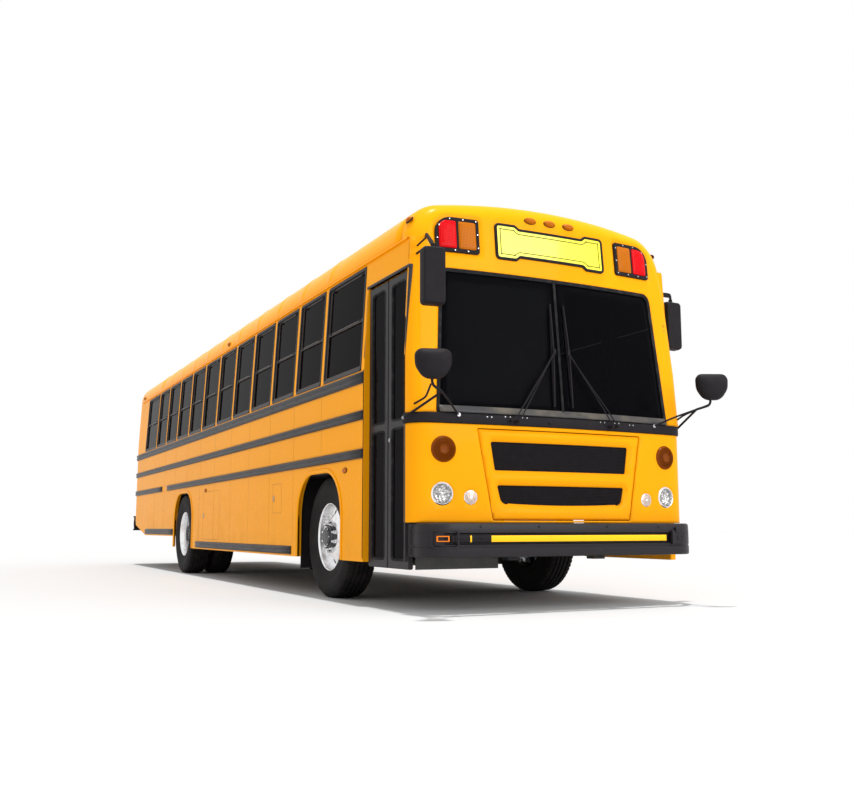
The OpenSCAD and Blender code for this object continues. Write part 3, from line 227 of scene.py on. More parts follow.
def panel(outer, holes=(), step=0.05, creases=()):
    """Triangles that fill a 2D outline around its holes: a square grid of points, with the
    outlines and the closed crease lines as fixed edges. Returns the points and triangles."""
    loops = [resampled(loop, step, True) for loop in (outer, *holes)]
    creases = [resampled(loop, step, True) for loop in creases]
    low, high = loops[0].min(0), loops[0].max(0)
    gx, gy = (np.arange(low[i] + step / 2, high[i], step) for i in (0, 1))
    grid = np.stack(np.meshgrid(gx, gy), -1).reshape(-1, 2)
    if len(grid):
        keep = outline_distance(grid, loops[0]) < -step * 0.4
        for loop in loops[1:]:
            keep &= outline_distance(grid, loop) > step * 0.4
        for loop in creases:
            keep &= np.abs(outline_distance(grid, loop)) > step * 0.3
        grid = grid[keep]
    points = np.concatenate([*loops, *creases, grid])
    edges, start = [], 0
    for loop in [*loops, *creases]:
        n = len(loop)
        edges += [(start + i, start + (i + 1) % n) for i in range(n)]
        start += n
    out = delaunay_2d_cdt([tuple(p) for p in points], edges, [], 0, 1e-7)
    found = np.array([tuple(v) for v in out[0]])
    faces = np.array([f for f in out[2] if len(f) == 3])
    middle = found[faces].mean(1)
    keep = inside(middle, loops[0])
    for loop in loops[1:]:
        keep &= ~inside(middle, loop)
    faces = faces[keep]
    a, b, c = (found[faces[:, i]] for i in range(3))
    turned = (b[:, 0] - a[:, 0]) * (c[:, 1] - a[:, 1]) - (b[:, 1] - a[:, 1]) * (c[:, 0]
        - a[:, 0]) < 0
    faces[turned] = faces[turned][:, ::-1]
    return found, faces


def raised(place, loop, h):
    """A loop of 2D points set at the height h."""
    return place(np.c_[loop, np.full(len(loop), h)])


class Shape:
    """Vertices and faces gathered from several surfaces, made into one mesh object at the end."""

    def __init__(self):
        self.points, self.faces, self.marks, self.count = [], [], [], 0

    def add(self, points, faces, mark=0):
        """Adds a surface; mark is the number of its material."""
        points = np.asarray(points, float).reshape(-1, 3)
        faces = np.asarray(faces, int)
        self.points.append(points)
        self.faces.append(faces + self.count)
        self.marks += [mark] * len(faces)
        self.count += len(points)
        return self

    def grid(self, points, wrap_u=False, wrap_v=False, mark=0, flip=False):
        """A sheet of quads over an array of points [u, v, 3], joined up where it wraps."""
        nu, nv = points.shape[:2]
        u = np.arange(nu if wrap_u else nu - 1)
        v = np.arange(nv if wrap_v else nv - 1)
        u, v = np.meshgrid(u, v, indexing="ij")
        u1, v1 = (u + 1) % nu, (v + 1) % nv
        quads = np.stack([u * nv + v, u1 * nv + v, u1 * nv + v1, u * nv + v1], -1).reshape(-1, 4)
        return self.add(points, quads[:, ::-1] if flip else quads, mark)

    def filled(self, points, mark=0, flip=False):
        """One flat many-sided face."""
        n = len(points)
        order = np.arange(n)[::-1] if flip else np.arange(n)
        self.points.append(np.asarray(points, float))
        self.faces.append([tuple(order + self.count)])
        self.marks.append(mark)
        self.count += n
        return self

    def rings(self, place, loops, mark=0, flip=False):
        """Joins (loop, height) pairs into a closed band; returns its rows of points."""
        rows = [raised(place, loop, h) for loop, h in loops]
        self.grid(np.array(rows), wrap_v=True, mark=mark, flip=flip)
        return rows

    def loft(self, outline, layers, place, mark=0):
        """A closed solid: the 2D outline, pulled in by each layer's inset and set at its height."""
        normal = line_normals(outline, True)
        rows = self.rings(place, [(outline - normal * inset, h) for inset, h in layers], mark=mark)
        self.filled(rows[0], mark, flip=True)
        return self.filled(rows[-1], mark)

    def lathe(self, profile, place, count=48, mark=0):
        """A profile of (radius, height) turned about the height axis."""
        a = full_turn(count)
        r, h = np.asarray(profile, float).T
        points = np.stack(
            [r[:, None] * np.cos(a), r[:, None] * np.sin(a), h[:, None] * np.ones(count)], -1
        )
        return self.grid(place(points), wrap_v=True, mark=mark)

    def run(self, rows, closed=False, mark=0):
        """Closed rows joined into a bar; its two ends are filled unless it closes on itself."""
        self.grid(rows, wrap_u=closed, wrap_v=True, mark=mark)
        if not closed:
            self.filled(rows[0], mark, flip=True)
            self.filled(rows[-1], mark)
        return self

    def tube(self, path, radius, count=10, mark=0, closed=False):
        """A round tube along a 3D line: circles across it, turned with the least twist."""
        path = np.asarray(path, float)
        ahead = np.roll(path, -1, 0) if closed else np.concatenate([path[1:],
            2 * path[-1:] - path[-2:-1]])
        behind = np.roll(path, 1, 0) if closed else np.concatenate([2 * path[:1] - path[1:2],
            path[:-1]])
        along = ahead - behind
        along /= np.linalg.norm(along, axis=1)[:, None]
        side = np.cross(along[0], [0, 0, 1] if abs(along[0][2]) < 0.9 else [1, 0, 0])
        sides = []
        for direction in along:
            side = side - direction * (side @ direction)
            side = side / np.linalg.norm(side)
            sides.append(side)
        sides = np.array(sides)
        ups = np.cross(along, sides)
        a = full_turn(count)
        radius = np.broadcast_to(radius, len(path))[:, None, None]
        rows = path[:, None] + radius * (
            np.cos(a)[:, None] * sides[:, None] + np.sin(a)[:, None] * ups[:, None]
        )
        return self.run(rows, closed, mark)

    def sweep(self, path, side, out, profile, closed=True, mark=0):
        """A closed 2D profile carried along a 3D line: each profile point (a, b) lies at
        path + a side + b out."""
        profile = np.asarray(profile, float)
        rows = (
            path[:, None]
            + profile[None, :, :1] * np.broadcast_to(side, path.shape)[:, None]
            + profile[None, :, 1:] * np.broadcast_to(out, path.shape)[:, None]
        )
        return self.run(rows, closed, mark)

    def build(self, name, body, materials, slot=None, replaces=(), closed=True, angle=35, thick=0.0,
            lined=False, merge=1e-5):
        """Makes the mesh object, with its doubles merged and its closed parts facing outwards."""
        mesh = bpy.data.meshes.new(name)
        faces = [tuple(f) for group in self.faces
            for f in (group if isinstance(group, list) else group.tolist())]
        mesh.from_pydata(np.concatenate(self.points).tolist(), [], faces)
        mesh.polygons.foreach_set("material_index", self.marks)
        mesh.polygons.foreach_set("use_smooth", [True] * len(faces))
        bm = bmesh.new()
        bm.from_mesh(mesh)
        bmesh.ops.remove_doubles(bm, verts=bm.verts, dist=merge)
        bmesh.ops.dissolve_degenerate(bm, dist=merge / 10, edges=bm.edges)
        if closed:
            bmesh.ops.recalc_face_normals(bm, faces=bm.faces)
        bm.to_mesh(mesh)
        bm.free()
        mesh.set_sharp_from_angle(angle=math.radians(angle))
        obj = bpy.data.objects.new(name, mesh)
        bpy.context.scene.collection.objects.link(obj)
        for material in materials if isinstance(materials, (list, tuple)) else [materials]:
            mesh.materials.append(finish(material))
        if thick:
            wall = obj.modifiers.new("Wall", "SOLIDIFY")
            wall.thickness, wall.offset = thick, -1
            wall.material_offset = 1 if lined else 0
        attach(obj, body)
        if replaces:
            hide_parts(*replaces)
        return obj


def full_turn(count):
    """Angles all the way round a circle."""
    return np.linspace(0, 2 * math.pi, count, endpoint=False)


def placed(origin, u=(1, 0, 0), v=(0, 0, 1), w=(0, -1, 0)):
    """A function that sets (a, b, h) at origin + a u + b v + h w."""
    axes = np.array([u, v, w], float)
    return lambda points: np.asarray(points, float) @ axes + np.asarray(origin, float)


def unit(v):
    """The vector with length 1."""
    v = np.asarray(v, float)
    return v / np.linalg.norm(v)


def curve_through(points, count=8):
    """A smooth line through the points: cubic pieces whose slope at a point is half the step
    between its neighbours."""
    p = np.asarray(points, float)
    p = np.concatenate([2 * p[:1] - p[1:2], p, 2 * p[-1:] - p[-2:-1]])
    t = np.linspace(0, 1, count, endpoint=False)[:, None]
    out = [
        0.5 * (2 * b + (c - a) * t + (2 * a - 5 * b + 4 * c - d) * t**2 + (3 * b - a - 3 * c + d)
            * t**3)
        for a, b, c, d in zip(p[:-3], p[1:-2], p[2:-1], p[3:])
    ]
    return np.concatenate([*out, p[-2:-1]])


def bent(points, radius=0.02, count=5):
    """A 3D line with its inner corners rounded by quadratic curves."""
    p = np.asarray(points, float)
    out = [p[:1]]
    t = np.linspace(0, 1, count + 1)[:, None]
    for a, b, c in zip(p[:-2], p[1:-1], p[2:]):
        d0, d1 = a - b, c - b
        cut = min(radius, np.linalg.norm(d0) / 2, np.linalg.norm(d1) / 2)
        s, e = b + unit(d0) * cut, b + unit(d1) * cut
        out.append((1 - t) ** 2 * s + 2 * t * (1 - t) * b + t**2 * e)
    out.append(p[-1:])
    return np.concatenate(out)


# ---------------------------------------------------------------- shader maths


class Num:
    """A number on a socket. Arithmetic on it adds Math nodes."""

    def __init__(self, tree, socket):
        self.tree, self.socket = tree, socket

    def maths(self, operation, *values):
        node = self.tree.nodes.new("ShaderNodeMath")
        node.operation = operation
        for slot, value in zip(node.inputs, values):
            if isinstance(value, Num):
                self.tree.links.new(value.socket, slot)
            else:
                slot.default_value = value
        return Num(self.tree, node.outputs[0])

    def __add__(self, other):
        return self.maths("ADD", self, other)

    def __sub__(self, other):
        return self.maths("SUBTRACT", self, other)

    def __rsub__(self, other):
        return self.maths("SUBTRACT", other, self)

    def __mul__(self, other):
        return self.maths("MULTIPLY", self, other)

    def __truediv__(self, other):
        return self.maths("DIVIDE", self, other)

    __radd__, __rmul__ = __add__, __mul__

    def abs(self):
        return self.maths("ABSOLUTE", self)

    def sin(self):
        return self.maths("SINE", self)

    def at_least(self, other):
        return self.maths("MAXIMUM", self, other)

    def wave(self, pitch):
        """Distance to the nearest multiple of pitch."""
        return (self.maths("PINGPONG", self, pitch / 2)).abs()

    def step(self, low, high):
        """A smooth step from 0 at low to 1 at high."""
        node = self.tree.nodes.new("ShaderNodeMapRange")
        node.interpolation_type = "SMOOTHSTEP"
        self.tree.links.new(self.socket, node.inputs["Value"])
        node.inputs["From Min"].default_value = low
        node.inputs["From Max"].default_value = high
        return Num(self.tree, node.outputs["Result"])


class Finish:
    """A material under way: its Principled shader, with constants set on the shader itself."""

    def __init__(self, color, roughness=0.5, metallic=0.0, **constants):
        self.material = bpy.data.materials.new("finish")
        self.material.use_nodes = True
        self.tree = self.material.node_tree
        self.shader = self.tree.nodes["Principled BSDF"]
        self.set("Base Color", (*color[:3], 1))
        self.set("Roughness", roughness)
        self.set("Metallic", metallic)
        for key, value in constants.items():
            self.set(key.replace("_", " "), value)
        self.material.diffuse_color = (*color[:3], 1)

    def set(self, socket, value):
        """Puts a constant or a link on one of the shader's sockets."""
        slot = self.shader.inputs[socket]
        if isinstance(value, Num):
            self.tree.links.new(value.socket, slot)
        elif isinstance(value, bpy.types.NodeSocket):
            self.tree.links.new(value, slot)
        else:
            slot.default_value = value

    def node(self, kind, settings=None, **values):
        """Adds a node, sets its settings first and then its sockets."""
        node = self.tree.nodes.new(kind)
        for key, value in (settings or {}).items():
            setattr(node, key, value)
        for key, value in values.items():
            slot = node.inputs[key.replace("_", " ")]
            if isinstance(value, Num):
                value = value.socket
            if isinstance(value, bpy.types.NodeSocket):
                self.tree.links.new(value, slot)
            else:
                slot.default_value = value
        return node

    def place(self, stretch=None):
        """Object coordinates, stretched by three factors if they are given."""
        coordinates = self.node("ShaderNodeTexCoord").outputs["Object"]
        if stretch is None:
            return coordinates
        mapping = self.node("ShaderNodeMapping", Scale=stretch)
        self.tree.links.new(coordinates, mapping.inputs["Vector"])
        return mapping.outputs["Vector"]

    def xyz(self):
        """The three object coordinates as numbers."""
        outputs = self.node("ShaderNodeSeparateXYZ", Vector=self.place()).outputs
        return [Num(self.tree, outputs[i]) for i in range(3)]

    def noise(self, scale, detail=3.0, stretch=None):
        """Soft noise from 0 to 1."""
        node = self.node("ShaderNodeTexNoise", Scale=scale, Detail=detail,
            Vector=self.place(stretch))
        return Num(self.tree, node.outputs["Fac"])

    def cells(self, scale, stretch=None, feature="F1"):
        """Distance to the points of a cell pattern."""
        node = self.node("ShaderNodeTexVoronoi", {"feature": feature}, Scale=scale,
            Vector=self.place(stretch))
        return Num(self.tree, node.outputs["Distance"])

    def mix(self, factor, first, second):
        """A colour between two colours."""
        node = self.node("ShaderNodeMix", {"data_type": "RGBA"})
        self.tree.links.new(factor.socket, node.inputs[0])
        for index, value in ((6, first), (7, second)):
            if isinstance(value, bpy.types.NodeSocket):
                self.tree.links.new(value, node.inputs[index])
            else:
                node.inputs[index].default_value = (*value[:3], 1)
        return node.outputs[2]

    def color(self, factor, first, second):
        """Sets the base colour between two colours."""
        self.set("Base Color", self.mix(factor, first, second))

    def bump(self, height, distance, strength=1.0):
        """Raises the surface's shading by height times distance."""
        node = self.node("ShaderNodeBump", Strength=strength, Distance=distance, Height=height)
        self.set("Normal", node.outputs["Normal"])
        return self


def shade(color, factor):
    """The colour, darker or lighter by a factor."""
    return tuple(min(1.0, c * factor) for c in color[:3])


# ---------------------------------------------------------------- finishes


def yellow_paint(looks):
    """Baked enamel: faint mottling, road dirt and painted shade low down, orange peel under a clear
    coat.
    """
    f = Finish(looks.body_color, 0.24, Coat_Weight=0.04, Coat_Roughness=0.04)
    f.set("Specular IOR Level", 0.02)
    z = f.xyz()[2]
    mottle = f.noise(1.3, 5).step(0.3, 0.7)
    # painted shade: darker, browner patches low down; they also roughen the paint like road dirt
    dirt_and_shade = (1 - z.step(0.3, 1.0)) * f.noise(6, 6).step(0.35, 0.75)
    tone = f.mix(mottle, shade(looks.body_color, 0.97), looks.body_color)
    f.color(dirt_and_shade * 0.16, tone, (0.42, 0.25, 0.05))
    f.set("Roughness", 0.22 + 0.05 * f.noise(30, 2) + 0.14 * dirt_and_shade)
    return f.bump(f.noise(240, 2), 0.00022)


def wall_paint(looks):
    """The side walls: yellow outside, pale lining inside, with pressed seams and lap joints."""
    f = Finish(looks.body_color, 0.26, Coat_Weight=0.04, Coat_Roughness=0.04)
    f.set("Specular IOR Level", 0.02)
    x, y, z = f.xyz()
    outer = HALF_W - (z - BELT_Z).at_least(0) * SIDE_LEAN
    lining = (outer - x.abs()).step(0.012, 0.02) * z.step(1.1, 1.14) * y.step(DOORWAY[1] + 0.012,
        DOORWAY[1] + 0.02)
    # painted shade: darker, browner patches low down on the walls; they also roughen the paint like
    # road dirt
    dirt_and_shade = (1 - z.step(0.3, 1.1)) * f.noise(6, 6).step(0.35, 0.75)
    mottle = f.noise(0.9, 5, (1, 0.35, 1)).step(0.3, 0.7)
    tone = f.mix(mottle, shade(looks.body_color, 0.965), looks.body_color)
    tone = f.mix(dirt_and_shade * 0.18, tone, (0.42, 0.25, 0.05))
    f.color(lining, tone, (0.52, 0.53, 0.5))
    f.set("Roughness", 0.24 + 0.05 * f.noise(30, 2) + 0.14 * dirt_and_shade + lining * 0.3)
    waves = f.noise(1.6, 2, (1, 1, 0.6)) * 8
    return f.bump(f.noise(240, 2) + waves, 0.00022)


def black_paint(looks):
    """Satin charcoal enamel on rails, bumpers and frames, scuffed along its length."""
    f = Finish(looks.trim_color, 0.42, Coat_Weight=0.05, Coat_Roughness=0.2)
    f.set("Specular IOR Level", 0.16)
    scuffs = f.noise(9, 8, (4, 0.25, 4)).step(0.55, 0.8)
    f.color(scuffs * 0.5, looks.trim_color, shade(looks.trim_color, 1.8))
    f.set("Roughness", 0.38 + 0.18 * scuffs + 0.08 * f.noise(25, 3))
    return f.bump(f.noise(420, 3), 0.00015)


def black_plastic(looks):
    """Moulded black plastic with a fine leathery grain."""
    f = Finish(shade(looks.trim_color, 0.9), 0.5)
    f.set("Specular IOR Level", 0.05)
    f.color(f.noise(14, 4), shade(looks.trim_color, 0.75), shade(looks.trim_color, 1.2))
    f.set("Roughness", 0.44 + 0.14 * f.noise(60, 2))
    return f.bump(f.cells(900) + f.noise(300, 3), 0.00018)


def rubber(looks):
    """Window and door seals: dull black with a faint bloom."""
    f = Finish((0.012, 0.012, 0.013), 0.72)
    f.set("Specular IOR Level", 0.1)
    f.color(f.noise(18, 5).step(0.4, 0.8), (0.01, 0.01, 0.011), (0.03, 0.029, 0.028))
    return f.bump(f.noise(500, 2), 0.0002)


def glass(tint, alpha):
    """Tinted safety glass: a dark clear sheet, wiped smears in its gloss."""
    f = Finish(tint, 0.02, Alpha=alpha)
    f.set("Specular IOR Level", 0.01)
    f.set("Roughness", 0.015 + 0.05 * f.noise(3.5, 4, (1, 1, 0.4)).step(0.5, 0.9))
    f.bump(f.noise(1.1, 1), 0.0012)
    f.material.surface_render_method = "BLENDED"
    return f


def lens(color, pitch):
    """Moulded lens plastic: small prisms behind a glossy face, lit from inside a little."""
    f = Finish(color, 0.12, Coat_Weight=0.06, Coat_Roughness=0.03)
    f.set("Specular IOR Level", 0.05)
    x, _, z = f.xyz()
    prisms = (x.wave(pitch) + z.wave(pitch)) / pitch
    f.color(prisms.step(0.2, 0.9), shade(color, 0.62), color)
    f.set("Roughness", 0.1 + 0.1 * f.noise(40, 2))
    f.set("Emission Color", (*color[:3], 1))
    f.set("Emission Strength", 0.03)
    return f.bump(prisms, 0.002, 0.6)


def polished(color, roughness):
    """Polished or cast metal, with fine turning marks."""
    f = Finish(color, roughness, 1.0)
    stains = f.noise(11, 6).step(0.45, 0.8)
    f.color(stains, color, shade(color, 0.72))
    f.set("Roughness", roughness + 0.14 * stains + 0.04 * f.noise(90, 3))
    return f.bump(f.noise(60, 4), 0.0003)


def cast(color, roughness=0.62):
    """Painted cast iron or rolled steel of the chassis, dusty and slightly pitted."""
    f = Finish(color, roughness)
    f.set("Specular IOR Level", 0.3)
    dust = f.noise(5, 7).step(0.4, 0.75)
    f.color(dust, color, (0.1, 0.085, 0.065))
    f.set("Roughness", roughness + 0.2 * dust)
    return f.bump(f.noise(130, 5), 0.0009)


def tyre_rubber(looks):
    """Tyre rubber: near black, dusted on the tread and with a brownish bloom on the walls."""
    f = Finish((0.018, 0.017, 0.017), 0.78)
    f.set("Specular IOR Level", 0.1)
    bloom = f.noise(7, 6).step(0.35, 0.8)
    f.color(bloom, (0.01, 0.0095, 0.0098), (0.026, 0.021, 0.021))
    f.set("Roughness", 0.66 + 0.2 * bloom)
    return f.bump(f.noise(220, 4), 0.0006)


def vinyl(color):
    """Seat vinyl: a leather-like grain of small cells, worn shinier on top."""
    f = Finish(color, 0.45)
    worn = f.noise(7, 4).step(0.4, 0.7)
    f.color(worn, color, shade(color, 1.35))
    f.set("Roughness", 0.36 + 0.16 * f.noise(11, 3))
    return f.bump(f.cells(260) + f.noise(500, 2) * 0.4, 0.0007)


def ribbed_rubber(looks):
    """Floor covering: ribbed dark rubber, with scuffs."""
    f = Finish((0.035, 0.036, 0.038), 0.7)
    x = f.xyz()[0]
    f.color(f.noise(6, 6), (0.028, 0.029, 0.031), (0.07, 0.068, 0.064))
    return f.bump(x.wave(0.018) * 60, 0.002)


def sign_sheet(looks):
    """Bright retroreflective sheet: tiny cells under a smooth top layer, glowing a little as
    painted light.
    """
    f = Finish(looks.sign_color, 0.3, Coat_Weight=0.4, Coat_Roughness=0.06)
    f.color(f.cells(210).step(0.1, 0.5), shade(looks.sign_color, 0.93), looks.sign_color)
    # painted light: the sheet glows a little, though it is no lamp
    f.set("Emission Color", (*looks.sign_color[:3], 1))
    f.set("Emission Strength", 0.1)
    return f.bump(f.cells(210), 0.0002)


def frosted(looks):
    """A milky lamp reflector seen through its lens."""
    f = Finish((0.62, 0.5, 0.42), 0.22, 0.35)
    f.color(f.noise(45, 3), (0.66, 0.56, 0.5), (0.38, 0.26, 0.21))
    return f.bump(f.cells(140), 0.001)


def facets(looks):
    """A bright faceted lamp reflector, each facet painted light in its middle and dark at its edge:
    painted glints.
    """
    f = Finish((0.82, 0.8, 0.78), 0.08, 0.9)
    # painted glints: light centres and dark edges on each cell, on top of its bumps
    f.color(f.cells(52).step(0.15, 0.75), (0.93, 0.91, 0.9), (0.22, 0.19, 0.18))
    return f.bump(f.cells(52), 0.006)


def enamel(color):
    """Enamel of small parts, scratched along their length."""
    f = Finish(color, 0.32, Coat_Weight=0.05)
    f.set("Specular IOR Level", 0.1)
    f.color(f.noise(60, 5, (0.1, 1, 1)).step(0.6, 0.8), color, shade(color, 0.65))
    return f.bump(f.noise(200, 3), 0.0002)


def lining_panel(looks):
    """Pale painted ceiling and dash lining."""
    f = Finish((0.5, 0.51, 0.49), 0.5)
    f.color(f.noise(3, 4), (0.46, 0.47, 0.45), (0.56, 0.57, 0.55))
    return f.bump(f.noise(180, 3), 0.0003)


def floor_paper(looks):
    """Seamless studio floor."""
    f = Finish(looks.floor_color, 0.85)
    f.set("Specular IOR Level", 0.0)
    f.color(f.noise(0.4, 3), looks.floor_color, shade(looks.floor_color, 1.02))
    return f.bump(f.noise(70, 4), 0.0003)


FINISHES = {
    "yellow": yellow_paint,
    "wall": wall_paint,
    "black": black_paint,
    "plastic": black_plastic,
    "rubber": rubber,
    "windshield": lambda looks: glass((0.003, 0.003, 0.004), 0.87),
    "window": lambda looks: glass((0.004, 0.003, 0.004), 0.96),
    "clear": lambda looks: glass((0.75, 0.78, 0.8), 0.16),
    "red_lens": lambda looks: lens(looks.red_color, 0.012),
    "amber_lens": lambda looks: lens(looks.amber_color, 0.012),
    "dark_amber": lambda looks: lens((0.24, 0.055, 0.004), 0.01),
    "aluminium": lambda looks: polished((0.86, 0.86, 0.87), 0.16),
    "steel": lambda looks: polished((0.36, 0.36, 0.37), 0.34),
    "hub": lambda looks: polished((0.1, 0.1, 0.105), 0.36),
    "bright": lambda looks: polished((0.85, 0.85, 0.86), 0.12),
    "mirror": lambda looks: polished((0.88, 0.9, 0.92), 0.02),
    "chassis": lambda looks: cast((0.022, 0.022, 0.024)),
    "engine": lambda looks: cast((0.16, 0.16, 0.165), 0.5),
    "tyre": tyre_rubber,
    "seat": lambda looks: vinyl((0.03, 0.055, 0.075)),
    "driver_seat": lambda looks: vinyl((0.022, 0.024, 0.028)),
    "floor_rubber": ribbed_rubber,
    "orange": lambda looks: enamel((0.8, 0.2, 0.015)),
    "sign": sign_sheet,
    "gate": lambda looks: enamel((0.96, 0.53, 0.012)),
    # the stop blade takes the lens finish, so the octagon glows a little: painted light, though it
    # is no lamp
    "stop": lambda looks: lens((0.62, 0.01, 0.016), 0.004),
    "white": lambda looks: vinyl((0.82, 0.82, 0.8)),
    "frosted": frosted,
    "facets": facets,
    "seal": lambda looks: cast((0.06, 0.042, 0.032), 0.6),
    "seam": lambda looks: cast((0.3, 0.1, 0.004), 0.7),
    "vent": lambda looks: cast((0.032, 0.031, 0.033), 0.4),
    "lining": lining_panel,
    "paper": floor_paper,
}


def finish(name):
    """The named finish's material, made the first time that it is asked for."""
    made = bpy.data.materials.get("finish_" + name)
    if made is None:
        made = FINISHES[name](bpy.context.scene.bus_looks).material
        made.name = "finish_" + name
    return made


def paint(name, *nodes):
    """Gives CAD nodes a finish."""
    for node in nodes:
        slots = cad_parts[node].data.materials
        slots.clear()
        slots.append(finish(name))
# ---------------------------------------------------------------- the front of the body

GLASS_FOOT, GLASS_HEAD, GLASS_TOP_Z = 1.036, 0.962, 2.49
FASCIA_Z = 0.632
HOOD = [[-0.612, 0.646], [0.612, 0.646], [0.732, 1.303], [-0.732, 1.303]]
UPPER_GRILLE = [[-0.583, 1.005], [0.583, 1.005], [0.616, 1.211], [-0.616, 1.211]]
LOWER_GRILLE = [[-0.532, 0.762], [0.532, 0.762], [0.567, 0.898], [-0.567, 0.898]]
HEAD_LAMP, SMALL_LAMP, TURN_LAMP = (1.0, 0.832, 0.075), (0.784, 0.808, 0.046), (0.993, 1.146, 0.092)
WARNING_X, WARNING_Z = 0.808, 2.76


def section(foot, step=0.02):
    """The body's outline from the front: up the side, along the edge arc that touches the leaning
    side and the crown, over the crown and down the other side."""
    n = unit([1, SIDE_LEAN])
    s = np.array([-n[1], n[0]])
    crown = np.array([0, ROOF_Z - CROWN_R])
    q = n * (n @ [HALF_W, BELT_Z] - EDGE_R) - crown
    edge = crown + q + s * (-(q @ s) + math.sqrt((q @ s) ** 2 - q @ q + (CROWN_R - EDGE_R) ** 2))
    top = math.degrees(math.atan2(edge[1] - crown[1], edge[0]))
    lean = math.degrees(math.atan(SIDE_LEAN))
    side = [[HALF_W, foot], [HALF_W, BELT_Z]] if foot < BELT_Z else [[HALF_W - (foot - BELT_Z)
        * SIDE_LEAN, foot]]
    side.append([HALF_W - (HEADER_Z - BELT_Z) * SIDE_LEAN, HEADER_Z])
    half = np.concatenate([side, arc(edge, EDGE_R, lean, top, 18),
        arc(crown, CROWN_R, top, 90, 12)[1:]])
    half = resampled(half, step)
    return np.concatenate([half, (half * [-1, 1])[-2::-1]])


def face_y(x, z):
    """The front face: a bow across it, leaning back above the cowl."""
    return FACE_Y + BOW_R - np.sqrt(BOW_R**2 - np.square(x)) + np.maximum(z - COWL_Z, 0) * FACE_LEAN


def on_face(points):
    """Sets (x, z, h) on the leaning face, h outwards."""
    x, z, h = np.moveaxis(np.asarray(points, float), -1, 0)
    return np.stack([x + h * x / BOW_R, face_y(x, z) - h, z + h * FACE_LEAN], -1)


def plan_line(corner, foot_y):
    """Half of the nose from above, as (x, y) from the middle out: bow, corner arc, side."""
    cx = HALF_W - corner
    cy = BOW_R - math.sqrt((BOW_R - corner) ** 2 - cx**2)
    a = math.degrees(math.atan2(BOW_R - cy, cx))
    bow = arc([0, -BOW_R], BOW_R, 90, a, 60)
    half = np.concatenate([bow, arc([cx, -cy], corner, a, 0, 14)[1:]]) * [1, -1] + [0, FACE_Y]
    return np.concatenate([half, resampled([half[-1], [HALF_W, foot_y]], 0.04)[1:]])


def along_nose(corner=CORNER_R, foot_y=None):
    """Sets (s, z, h) around the nose: s is the way along its plan, h outwards. Also gives the
    half length of the plan."""
    half = plan_line(corner, CAP_SIDE_Y - 0.002 if foot_y is None else foot_y)
    line = np.concatenate([(half * [-1, 1])[:0:-1], half])
    steps = np.linalg.norm(np.diff(line, axis=0), axis=1)
    s = np.concatenate([[0], np.cumsum(steps)])
    s -= s[-1] / 2
    n = line_normals(line, False)

    def place(points):
        p = np.asarray(points, float)
        x, y, nx, ny = (np.interp(p[..., 0], s, v)
            for v in (line[:, 0], line[:, 1], n[:, 0], n[:, 1]))
        return np.stack([x + nx * p[..., 2], y + ny * p[..., 2], p[..., 1]], -1)

    return place, s[-1]


def lamp_outline(side, grow=0.0):
    """A warning lamp box: its upper outer corner is far rounder than the others."""
    a, b = 0.176 + grow, 0.136 + grow
    radii = [0.02, 0.02, 0.13, 0.02]
    box = rounded([[-a, -b], [a, -b], [a, b], [-a, b]], radii, 8)
    return (box if side > 0 else (box * [-1, 1])[::-1]) + [side * WARNING_X, WARNING_Z]


def front_cap():
    """The moulded cap: a leaning bowed face with a notch for the windshield, a rolled rim that
    widens over the roof, dished pockets for the lamp boxes."""
    line = section(COWL_TOP_Z)
    rim = CAP_SIDE_R + (CAP_TOP_R - CAP_SIDE_R) * smooth_step(line[:, 1], 2.45, 2.98)
    n = line_normals(line, False)
    lamps = [lamp_outline(side, 0.006) for side in (1, -1)]
    outer_lamps = [lamp_outline(side, 0.03) for side in (1, -1)]

    def dish(points):
        return sum(0.014 * (1 - smooth_step(outline_distance(points, lamp), 0, 0.022))
            for lamp in lamps)

    shape = Shape()
    rows = []
    back = np.where(line[:, 1] < HEADER_Z - 1e-6, CAP_SIDE_Y - 0.003, CAP_ROOF_Y - 0.003)
    for angle in np.radians(np.linspace(0, 90, 11)):
        at = line - n * (rim * (1 - math.sin(angle)))[:, None]
        y = face_y(at[:, 0], at[:, 1]) + rim * (1 - math.cos(angle)) + dish(at) * (1 - angle)
        rows.append(np.c_[at[:, 0], np.minimum(y, back), at[:, 1]])
    for t in (0.5, 1):
        rows.append(np.c_[line[:, 0], rows[10][:, 1] * (1 - t) + back * t, line[:, 1]])
    shape.grid(np.array(rows))
    inner = rows[0][:, [0, 2]]
    notch = [[-GLASS_FOOT, COWL_TOP_Z], [-GLASS_HEAD, GLASS_TOP_Z], [GLASS_HEAD, GLASS_TOP_Z],
        [GLASS_FOOT, COWL_TOP_Z]]
    notch = resampled(rounded(notch, [0, 0.07, 0.07, 0], 8), 0.04)
    points, faces = panel(np.concatenate([inner, notch]), (), 0.035, [*lamps, *outer_lamps])
    y = face_y(points[:, 0], points[:, 1]) + dish(points)
    shape.add(np.c_[points[:, 0], y, points[:, 1]], faces, 0)
    shape.build("front_cap_skin", "root", ["yellow", "lining"], replaces=["front_cap"],
        closed=False, thick=0.018, lined=True, angle=50)


